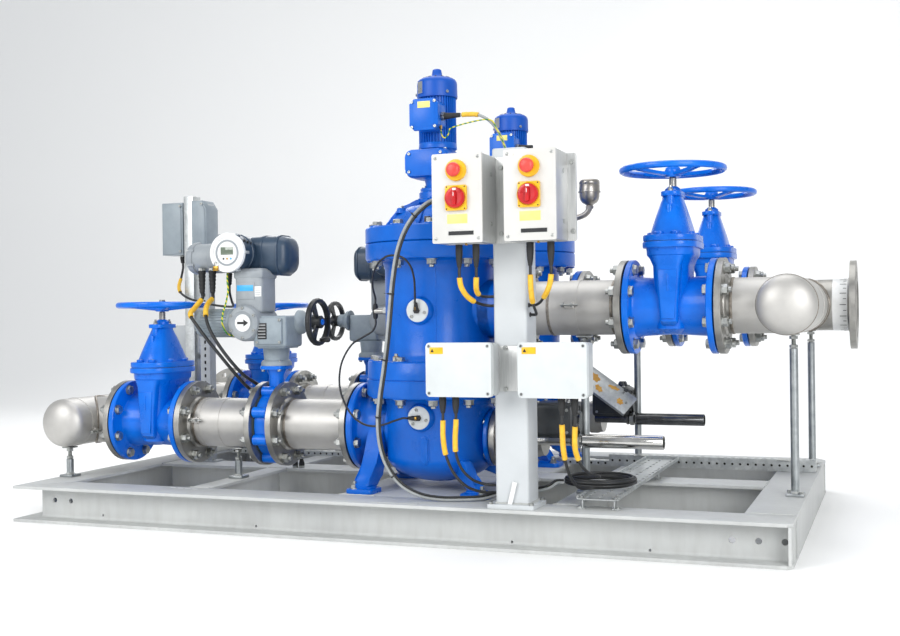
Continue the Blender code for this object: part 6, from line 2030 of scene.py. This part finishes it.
def makeColumn(settings):
    x, y, w = settings["x"], settings["y"], settings["wide"]
    bm = bmesh.new()
    paint, bead, sheet, screw, lid, body, rubber, label, white = range(9)
    low, top = settings["low"], settings["top"]
    addPlate(bm, roundedOutline(w, w, 0.009, 6), top - 0.003 - low - 0.01,
             (x, y, (top - 0.003 + low + 0.01) / 2), "Z", paint)
    addPlate(bm, roundedOutline(w - 0.003, w - 0.003, 0.008, 6), 0.003, (x, y, top - 0.0016), "Z",
             paint, 0.001)
    addPlate(bm, roundedOutline(0.14, 0.13, 0.004), 0.012, (x, y - 0.006, low + 0.006), "Z", paint,
             0.0012)
    foot = [Vector((x + u, y + v, low + 0.013))
            for u, v in rectangle(-w / 2, w / 2, -w / 2, w / 2)]
    for start, end in zip(foot, foot[1:] + foot[:1]):
        addBead(bm, start, end, 0.004, bead)
    for sx in (-1, 1):
        addMesh(bm, smallHead, (x + sx * 0.061, y - 0.061, low + 0.0118), "Z", screw)
        addMesh(bm, smallHead, (x + sx * 0.061, y + 0.05, low + 0.0118), "Z", screw)
    # upper plate behind the control boxes and lower plate behind the junction boxes
    plateY = settings["plateY"]
    addPlate(bm, roundedOutline(0.392, 0.246, 0.006), 0.005,
             (0.466, plateY - 0.0012, settings["upperZ"]), "-Y", sheet, 0.001)
    addBox(bm, (0.09, 0.006, 0.06), (x, plateY + 0.001, settings["upperZ"]), paint, round=0.001)
    addPlate(bm, roundedOutline(0.46, 0.13, 0.006), 0.005,
             (0.469, plateY - 0.0012, settings["lowerZ"]), "-Y", sheet, 0.001)
    for px, pz in ((0.4419, 1.0933), (0.4415, 0.9039), (0.6492, 1.0978), (0.6518, 0.9038),
                   (0.285, 1.112), (0.285, 0.888), (0.448, 0.579), (0.49, 0.579), (0.448, 0.461),
                   (0.49, 0.461)):
        addMesh(bm, plateBolt, (px, plateY - 0.0035, pz), "-Y", screw)
    boxZ = settings["junctionZ"]
    for x0, x1 in settings["junctions"]:
        middle, wide = (x0 + x1) / 2, x1 - x0
        addPlate(bm, roundedOutline(wide - 0.004, 0.15, 0.008), 0.048,
                 (middle, plateY - 0.0275, boxZ), "-Y", body, 0.002)
        addPlate(bm, roundedOutline(wide, 0.154, 0.009), 0.024, (middle, plateY - 0.0685, boxZ),
                 "-Y", lid, 0.0035)
        addPlate(bm, roundedOutline(wide - 0.002, 0.152, 0.008), 0.002,
                 (middle, plateY - 0.0555, boxZ), "-Y", rubber)
        for sx, sz in fourCorners:
            spot = Vector((middle + sx * (wide / 2 - 0.01), plateY - 0.081, boxZ + sz * 0.067))
            addTurned(bm, mm((3.2, 0.4), (5.2, 0.6), (5.8, 0), (5.8, -2), (3.2, -2), (3.2, 0.4)),
                      spot, "-Y", 20, body)
            addRod(bm, 0.0034, 0.002, spot + Vector((0, 0.0002, 0)), "-Y", 16, rubber)
            addBox(bm, (0.0052, 0.0006, 0.001), spot + Vector((0, -0.001, 0)), screw)
        addBox(bm, (0.041, 0.0005, 0.019), (x0 + 0.033, plateY - 0.0812, 0.5735), label, "Z",
               0.0002)
        addPlate(bm, mm((-5.5, -4.5), (5.5, -4.5), (0, 5.5)), 0.0004,
                 (x0 + 0.021, plateY - 0.0817, 0.5735), "-Y", rubber)
    for gx in settings["junctionGlands"]:
        addGlandDown(bm, gx, settings["gland"], 0.444, 0.392, rubber)
    # rubber bushes where leads go into the column
    for side, py, pz in ((-1, -0.69, 1.004), (-1, -0.711, 0.7), (-1, -0.721, 0.726),
                         (1, -0.704, 0.673), (1, -0.716, 0.7), (-1, -0.673, 0.154),
                         (-1, -0.691, 0.178)):
        size = 0.012 if pz > 1 else 0.0068
        addTurned(bm, [(0, 0.003), (size * 0.8, 0.003), (size, 0.0015), (size, -0.0005),
                       (0, -0.0005)], (x + side * w / 2, py, pz), "X" if side > 0 else "-X", 20,
                  rubber)
    addTurned(bm, mm((0, 24), (6.8, 24), (9.5, 18), (11, 10), (11, -2), (0, -2)),
              (0.44, y + w / 2, 1.058), "Y", 24, rubber)
    # thin plastic strip left leaning on the foot of the column
    strip = Matrix.Rotation(radians(14), 4, "Y")
    addBox(bm, (0.0135, 0.003, 0.07), (0.4628, y - w / 2 - 0.006, low + 0.042), white, strip,
           0.0006)
    finishPiece("column", bm, ["columnPaint", "frameBead", "brushedSheet", "zincBolt",
                               "lidPlastic", "boxPlastic", "blackRubber", "yellowPlastic",
                               "whitePlastic"], nodes=["column"])


def addGlandDown(bm, x, y, top, bottom, rubber, radius=0.011):
    addHex(bm, radius, 0.008, (x, y, top - 0.006), "Z", rubber)
    length = top - 0.008 - bottom
    profile = [(0, top - 0.01), (radius * 0.92, top - 0.01), (radius * 0.96, top - 0.014),
               (radius * 0.93, top - 0.01 - length * 0.35),
               (radius * 0.82, top - 0.01 - length * 0.6),
               (radius * 0.62, top - 0.01 - length * 0.85), (radius * 0.52, bottom + 0.001),
               (radius * 0.48, bottom), (0, bottom)]
    addTurned(bm, profile, (x, y, 0), "Z", 24, rubber)


plateBolt = roundCircle(boltHead(0.008), 1, 0.0)
makeColumn(post)

boxes = {"wide": 0.148, "deep": 0.124, "tall": 0.25, "z": 1.0, "stopZ": 1.077, "dialZ": 1.0,
         "at": {"left": 0.352, "right": 0.5635},
         "glands": {"left": (-0.017, 0.034), "right": (-0.0185, 0.0415)}}


def makeControlBox(side, settings, column):
    x, z = settings["at"][side], settings["z"]
    w, d, h = settings["wide"], settings["deep"], settings["tall"]
    front, dialZ = column["boxFront"], settings["dialZ"]
    back = front + d
    bm = bmesh.new()
    sheet, lid, screw, yellow, dark, rubber, label, brass, plate = range(9)
    addPlate(bm, roundedOutline(w - 0.002, h - 0.002, 0.004), d - 0.01,
             (x, back - (d - 0.01) / 2, z), "-Y", sheet, 0.0012)
    addPlate(bm, roundedOutline(w, h, 0.004), 0.0085, (x, front + 0.0048, z), "-Y", lid, 0.0015)
    addPlate(bm, roundedOutline(w - 0.0035, h - 0.0035, 0.003), 0.002, (x, front + 0.0098, z),
             "-Y", dark)
    for sx, sz in fourCorners:
        spot = Vector((x + sx * (w / 2 - 0.011), front + 0.0004, z + sz * (h / 2 - 0.012)))
        addTurned(bm, mm((0, 1.6), (3, 1.5), (4.6, 0.6), (4.8, 0), (0, 0)), spot, "-Y", 20, screw)
        # painted shade: a black bar across each screw head stands in for its slot
        addBox(bm, (0.0056, 0.0006, 0.0009), spot + Vector((0, -0.0015, 0)), dark)
    # stop button collar: yellow disc with the hole that the stem goes into
    addTurned(bm, mm((12.5, -1), (12.5, 11), (14, 12.2), (19, 12.5), (28.5, 10.5), (30, 8.5),
                     (30, -1), (12.5, -1))[::-1], (x, front, settings["stopZ"]), "-Y", 56, yellow)
    # isolator: yellow square with rounded corners
    addPlate(bm, roundedOutline(0.062, 0.07, 0.004), 0.0098, (x, front - 0.0045, dialZ), "-Y",
             yellow, 0.0015)
    addTurned(bm, mm((29.2, 9), (31.8, 11.2), (33, 10.5), (33.5, 8), (29.2, 8), (29.2, 9))[::-1],
              (x, front, dialZ), "-Y", 48, yellow)
    for sx, sz in fourCorners:
        addRod(bm, 0.0022, 0.0006, (x + sx * 0.0265, front - 0.0095, dialZ + sz * 0.0305), "-Y",
               12, dark)
    addBox(bm, (0.06, 0.0006, 0.026), (x + 0.001, front - 0.0001, dialZ - 0.058), label, "Z",
           0.0002)
    addBox(bm, (0.076, 0.0008, 0.013), (x + 0.012, front - 0.0002, z - h / 2 + 0.027), plate, "Z",
           0.0002)
    addBox(bm, (0.0745, 0.0006, 0.0112), (x + 0.012, front - 0.0006, z - h / 2 + 0.027), dark)
    addRod(bm, 0.0042, 0.001, (x - w / 2 + 0.026, front, z + h / 2 - 0.013), "-Y", 20, plate)
    # hinge barrels on the left, fixing lugs at the back
    for sz in (-1, 1):
        addRod(bm, 0.0042, 0.026, (x - w / 2 + 0.0042, front + 0.014, z + sz * 0.085), "Z", 16,
               screw, edge=0.0008)
        addRod(bm, 0.0068, 0.002, (x + w / 2 - 0.0005, back - 0.04, z + sz * 0.07), "X", 18, screw,
               edge=0.0006)
    glandY = front + 0.06
    for dx in settings["glands"][side]:
        addGlandDown(bm, x + dx, glandY, z - h / 2 + 0.001, 0.808, rubber, 0.0108)
    addRod(bm, 0.0045, 0.006, (x + 0.01, glandY - 0.012, z - h / 2 - 0.002), "Z", 14, brass,
           edge=0.001)
    addPlate(bm, roundedOutline(0.11, 0.03, 0.004), 0.002, (x + 0.008, glandY, z - h / 2 - 0.0004),
             "Z", sheet, 0.0006)
    finishPiece("control_box_" + side, bm, ["brushedSheet", "lidPaint", "zincBolt",
                                            "yellowPlastic", "blackPlastic", "blackRubber",
                                            "yellowLabel", "brass", "bareLabel"],
                nodes=["control_box_" + side])


def makeStopButton(side, settings, column):
    x, z, front = settings["at"][side], settings["stopZ"], column["boxFront"]
    bm = bmesh.new()
    addTurned(bm, mm((0, 36), (8, 35.8), (14, 34.6), (17.8, 32.2), (19.6, 29), (20, 26.2),
                     (19.8, 23.6), (18.5, 22.2), (15, 21.6), (11.8, 20), (11.8, 5), (0, 5)),
              (x, front, z), "-Y", 56)
    # three moulded turning marks on the head
    for t in around(3, 30):
        addBox(bm, (0.007, 0.0008, 0.0018), (x + 0.0105 * cos(t), front - 0.0354,
                                             z + 0.0105 * sin(t)), 0, Matrix.Rotation(-t, 4, "Y"),
               0.0003)
    name = "stop_button_" + side
    finishPiece(name, bm, ["stopRed"], body=name, nodes=[name])


def makeDial(side, settings, column):
    x, z, front = settings["at"][side], settings["dialZ"], column["boxFront"]
    bm = bmesh.new()
    start = 0.0103
    addTurned(bm, mm((0, 9.6), (19, 9.6), (24.5, 10), (27.5, 9), (28.8, 6.6), (28.8, 1), (28, 0),
                     (0, 0)), (x, front - start, z), "-Y", 56)
    addPlate(bm, mm((-4.5, -20), (4.5, -20), (6, -15), (5.8, 10), (4.2, 16.5), (0, 20),
                    (-4.2, 16.5), (-5.8, 10), (-6, -15)), 0.016, (x, front - start - 0.009, z),
             "-Y", 0, 0.0022)
    addBox(bm, (0.0016, 0.0006, 0.01), (x, front - start - 0.0172, z + 0.0085), 1)
    addBox(bm, (0.01, 0.0006, 0.0055), (x, front - start - 0.0101, z + 0.0232), 1, round=0.0001)
    name = "isolator_dial_" + side
    finishPiece(name, bm, ["redPlastic", "whitePlastic"], body=name, nodes=[name])


for side in ("left", "right"):
    makeControlBox(side, boxes, post)
    makeStopButton(side, boxes, post)
    makeDial(side, boxes, post)
print("column and boxes made")

# Stand on the middle rail: sheet channel with a perforated strut, two slim enclosures, a box
stand = {"x": -1.03, "y": -0.005, "wide": 0.13, "deep": 0.06, "low": 0.1203, "high": 1.148,
         "strut": 0.988, "casesZ": 1.025, "caseHalf": 0.102}


def holedUnit(pitch, width, thick, slotLong, slotWide):
    # one length of perforated strip round a slot, closed on all sides; u runs along X
    def build(bm):
        steps = 6
        hole = roundedOutline(slotLong, slotWide, min(slotLong, slotWide) / 2 - 0.0001, steps)
        rim = []
        for u, v in hole:
            scale = max(abs(u) / (pitch / 2), abs(v) / (width / 2))
            rim.append((u / scale, v / scale))
        for corner in ((1, 1), (-1, 1), (-1, -1), (1, -1)):
            target = (corner[0] * pitch / 2, corner[1] * width / 2)
            near = min(range(len(rim)), key=lambda k: (rim[k][0] - target[0]) ** 2
                       + (rim[k][1] - target[1]) ** 2)
            rim[near] = target
        rings = [[bm.verts.new((u, v, h)) for u, v in ring]
                 for ring, h in ((hole, thick / 2), (rim, thick / 2), (rim, -thick / 2),
                                 (hole, -thick / 2))]
        count = len(hole)
        for a, b in ((0, 1), (1, 2), (2, 3), (3, 0)):
            for k in range(count):
                n = (k + 1) % count
                bm.faces.new((rings[a][k], rings[b][k], rings[b][n], rings[a][n]))
    return build


def makeStand(settings):
    x, y = settings["x"], settings["y"]
    w, d, low, high = settings["wide"], settings["deep"], settings["low"], settings["high"]
    bm = bmesh.new()
    sheet, grey, screw, rubber, shade, slate = range(6)
    long, casesZ, half = settings["strut"], settings["casesZ"], settings["caseHalf"]
    # folded sheet channel on the left, perforated strut on the right, one foot plate
    addBox(bm, (0.042, d - 0.006, high - low), (x - 0.043, y, (high + low) / 2), sheet,
           round=0.0015)
    strutX = x + 0.021
    unit = alongLine(holedUnit(0.026, 0.04, 0.0024, 0.014, 0.0085), 38, (0.026, 0, 0))
    strutTurn = Matrix(((0, 1, 0, 0), (0, 0, 1, 0), (1, 0, 0, 0), (0, 0, 0, 1)))
    for face in (-1, 1):
        addMesh(bm, unit, (strutX, y + face * 0.02, low + 0.02), strutTurn, grey)
    for sx in (-1, 1):
        addBox(bm, (0.0024, 0.04, long), (strutX + sx * 0.0205, y, low + 0.007 + long / 2), grey,
               round=0.0005)
    # painted shade: a dark box fills the strut's hollow, behind its holes
    addBox(bm, (0.034, 0.03, long - 0.008), (strutX, y, low + 0.007 + long / 2), shade)
    addBox(bm, (w, d, 0.006), (x, y, low + 0.003), grey, round=0.001)
    for sx in (-1, 1):
        addMesh(bm, smallHead, (x + sx * 0.054, y - 0.02, low + 0.006), "Z", screw)
    # two slim sheet-metal enclosures, one beside the channel and one in front of the strut
    for ex, ey, wide, slant in ((-1.158, y + 0.028, 0.094, 0), (-1.016, y - 0.012, 0.056, 0.01)):
        outline = [(-wide / 2, -half), (wide / 2 + slant, -half), (wide / 2 + slant, 0.07),
                   (wide / 2 - slant, half), (-wide / 2, half)]
        addPlate(bm, outline, 0.084, (ex, ey + 0.004, casesZ), "-Y", slate, 0.002)
        inner = [(u * 0.86, v * 0.95) for u, v in outline]
        addPlate(bm, inner, 0.004, (ex, ey - 0.0395, casesZ), "-Y", slate, 0.001)
        for sz in (-1, 1):
            addMesh(bm, socketScrew, (ex + wide / 2 - 0.009, ey - 0.0412, casesZ + sz * 0.088),
                    "-Y", screw)
        addBox(bm, (0.004, 0.07, 0.19), (ex - wide / 2 - 0.001, ey + 0.004, casesZ), slate, "Z",
               0.001)
    for z in (1.06, 0.98):
        addBox(bm, (0.024, 0.02, 0.03), (-1.106, y + 0.01, z), screw, "Z", 0.002)
    # lower plain box with its lid
    at = Vector((-1.15, y + 0.035, 0.575))
    addBox(bm, (0.178, 0.06, 0.144), at + Vector((0, 0.008, 0)), grey, "Z", 0.004)
    addBox(bm, (0.18, 0.018, 0.146), at + Vector((0, -0.031, 0)), grey, "Z", 0.005)
    for sx, sz in fourCorners:
        addMesh(bm, socketScrew, at + Vector((sx * 0.08, -0.0398, sz * 0.063)), "-Y", screw)
    for z in (0.525, 0.625):
        addBox(bm, (0.11, 0.01, 0.02), (-1.085, y + d / 2 - 0.004, z), screw, round=0.001)
    addBoot(bm, (-1.135, 0.02, 0), 0.928, 0.892, 0.0115, rubber, screw)
    finishPiece("rear_stand", bm, ["zincSheet", "boxPlastic", "zincBolt", "blackRubber",
                                   "boreShade", "enclosurePaint"],
                nodes=["rail_mid"])
    bm = bmesh.new()
    for gx, gy in ((-0.588, -0.09), (-0.564, -0.085)):
        addHex(bm, 0.0115, 0.009, (gx, gy, 0.1245), "Z", 0)
        addTurned(bm, mm((0, 150), (6.2, 150), (8, 146), (10.2, 136), (10.5, 128), (0, 128)),
                  (gx, gy, 0), "Z", 24, 1)
    finishPiece("rail_glands", bm, ["zincBolt", "blackRubber"],
                nodes=["rail_mid"])


makeStand(stand)

# Cable way: perforated strut behind the vessels, perforated tray beside the column
cableWay = {"y": 0.285, "low": 0.1203, "wide": 0.041, "trayX": 0.7, "trayY": -0.207,
            "trayWide": 0.12, "trayLong": 0.985, "trayTop": 0.1603, "unit": 0.026, "cells": 19,
            "runs": ((-1.075, 0.505, 0.018), (0.505, 1.225, 0.041)),
            "clips": (-0.9, -0.3, 0.42, 0.62, 1.12), "legs": (-0.68, -0.05)}


def makeCableWay(settings):
    y, low, w = settings["y"], settings["low"], settings["wide"]
    bm = bmesh.new()
    lowRun, highRun = settings["runs"]
    for start, end, tall in (lowRun, highRun):
        length = end - start
        count = int(length / settings["unit"])
        pitch = length / count
        middle = (start + end) / 2
        upright = alongLine(holedUnit(pitch, tall - 0.001, 0.0024, 0.0085, 0.0085), count,
                            (pitch, 0, 0))
        flat = alongLine(holedUnit(pitch, w - 0.005, 0.0024, 0.014, 0.01), count, (pitch, 0, 0))
        for face in (-1, 1):
            addMesh(bm, upright, (start + pitch / 2, y + face * (w / 2 - 0.0013), low + tall / 2),
                    "-Y", 0)
        addMesh(bm, flat, (start + pitch / 2, y, low + tall - 0.0013), "Z", 0)
        # the hollow inside stays in shadow behind the holes
        addBox(bm, (length - 0.008, w - 0.01, tall - 0.008), (middle, y, low + tall / 2), 2)
        for face in (-1, 1):
            addBox(bm, (length, 0.008, 0.002), (middle, y + face * (w / 2 - 0.005), low + 0.001),
                   0, round=0.0004)
        for capX in (start + 0.0013, end - 0.0013):
            addBox(bm, (0.0024, w - 0.002, tall - 0.002), (capX, y, low + tall / 2), 0,
                   round=0.0004)
    for x in settings["clips"]:
        tall = lowRun[2] if x < lowRun[1] else highRun[2]
        addBox(bm, (0.044, w + 0.03, 0.003), (x, y, low + tall - 0.0014), 1, round=0.0006)
        if tall == lowRun[2]:
            addMesh(bm, smallHead, (x, y, low + tall - 0.0002), "Z", 1)
    # tray: floor with rows of slots, folded sides with holes, two hat-shaped legs
    tx, ty, tw, tl = (settings[k] for k in ("trayX", "trayY", "trayWide", "trayLong"))
    top = settings["trayTop"]
    count = settings["cells"]
    pitch = tl / count
    across = Matrix.Rotation(pi / 2, 4, "Z")
    for row in (-1, 0, 1):
        strip = alongLine(holedUnit(pitch, 0.0385, 0.0016, 0.026, 0.008), count, (pitch, 0, 0))
        addMesh(bm, strip, (tx + row * 0.0385, ty - tl / 2 + pitch / 2, 0.15), across, 0)
    sideStrip = alongLine(holedUnit(pitch / 2, 0.011, 0.0016, 0.0075, 0.005), count * 2,
                          (pitch / 2, 0, 0))
    upright = across @ Matrix.Rotation(pi / 2, 4, "X")
    for sx in (-1, 1):
        addMesh(bm, sideStrip, (tx + sx * (tw / 2 - 0.001), ty - tl / 2 + pitch / 4, top - 0.0058),
                upright, 0)
        addRod(bm, 0.0013, tl, (tx + sx * (tw / 2 - 0.0014), ty, top - 0.0012), "Y", 10, 0)
    for legY in settings["legs"]:
        for sx in (-1, 1):
            addBox(bm, (0.004, 0.02, 0.028), (tx + sx * 0.046, legY, low + 0.0145), 0,
                   round=0.0008)
            addBox(bm, (0.02, 0.02, 0.0036), (tx + sx * 0.05, legY, low + 0.0018), 0, round=0.0008)
            addMesh(bm, socketScrew, (tx + sx * 0.0545, legY, low + 0.0034), "Z", 1)
            addHex(bm, 0.006, 0.005, (tx + sx * 0.05, legY, 0.153), "Z", 1)
        addBox(bm, (0.094, 0.02, 0.0036), (tx, legY, low + 0.027), 0, round=0.0008)
    finishPiece("cable_way", bm, ["zincSheet", "zincBolt", "boreShade"],
                nodes=["cable_way"])


makeCableWay(cableWay)
print("stand and cable way made")
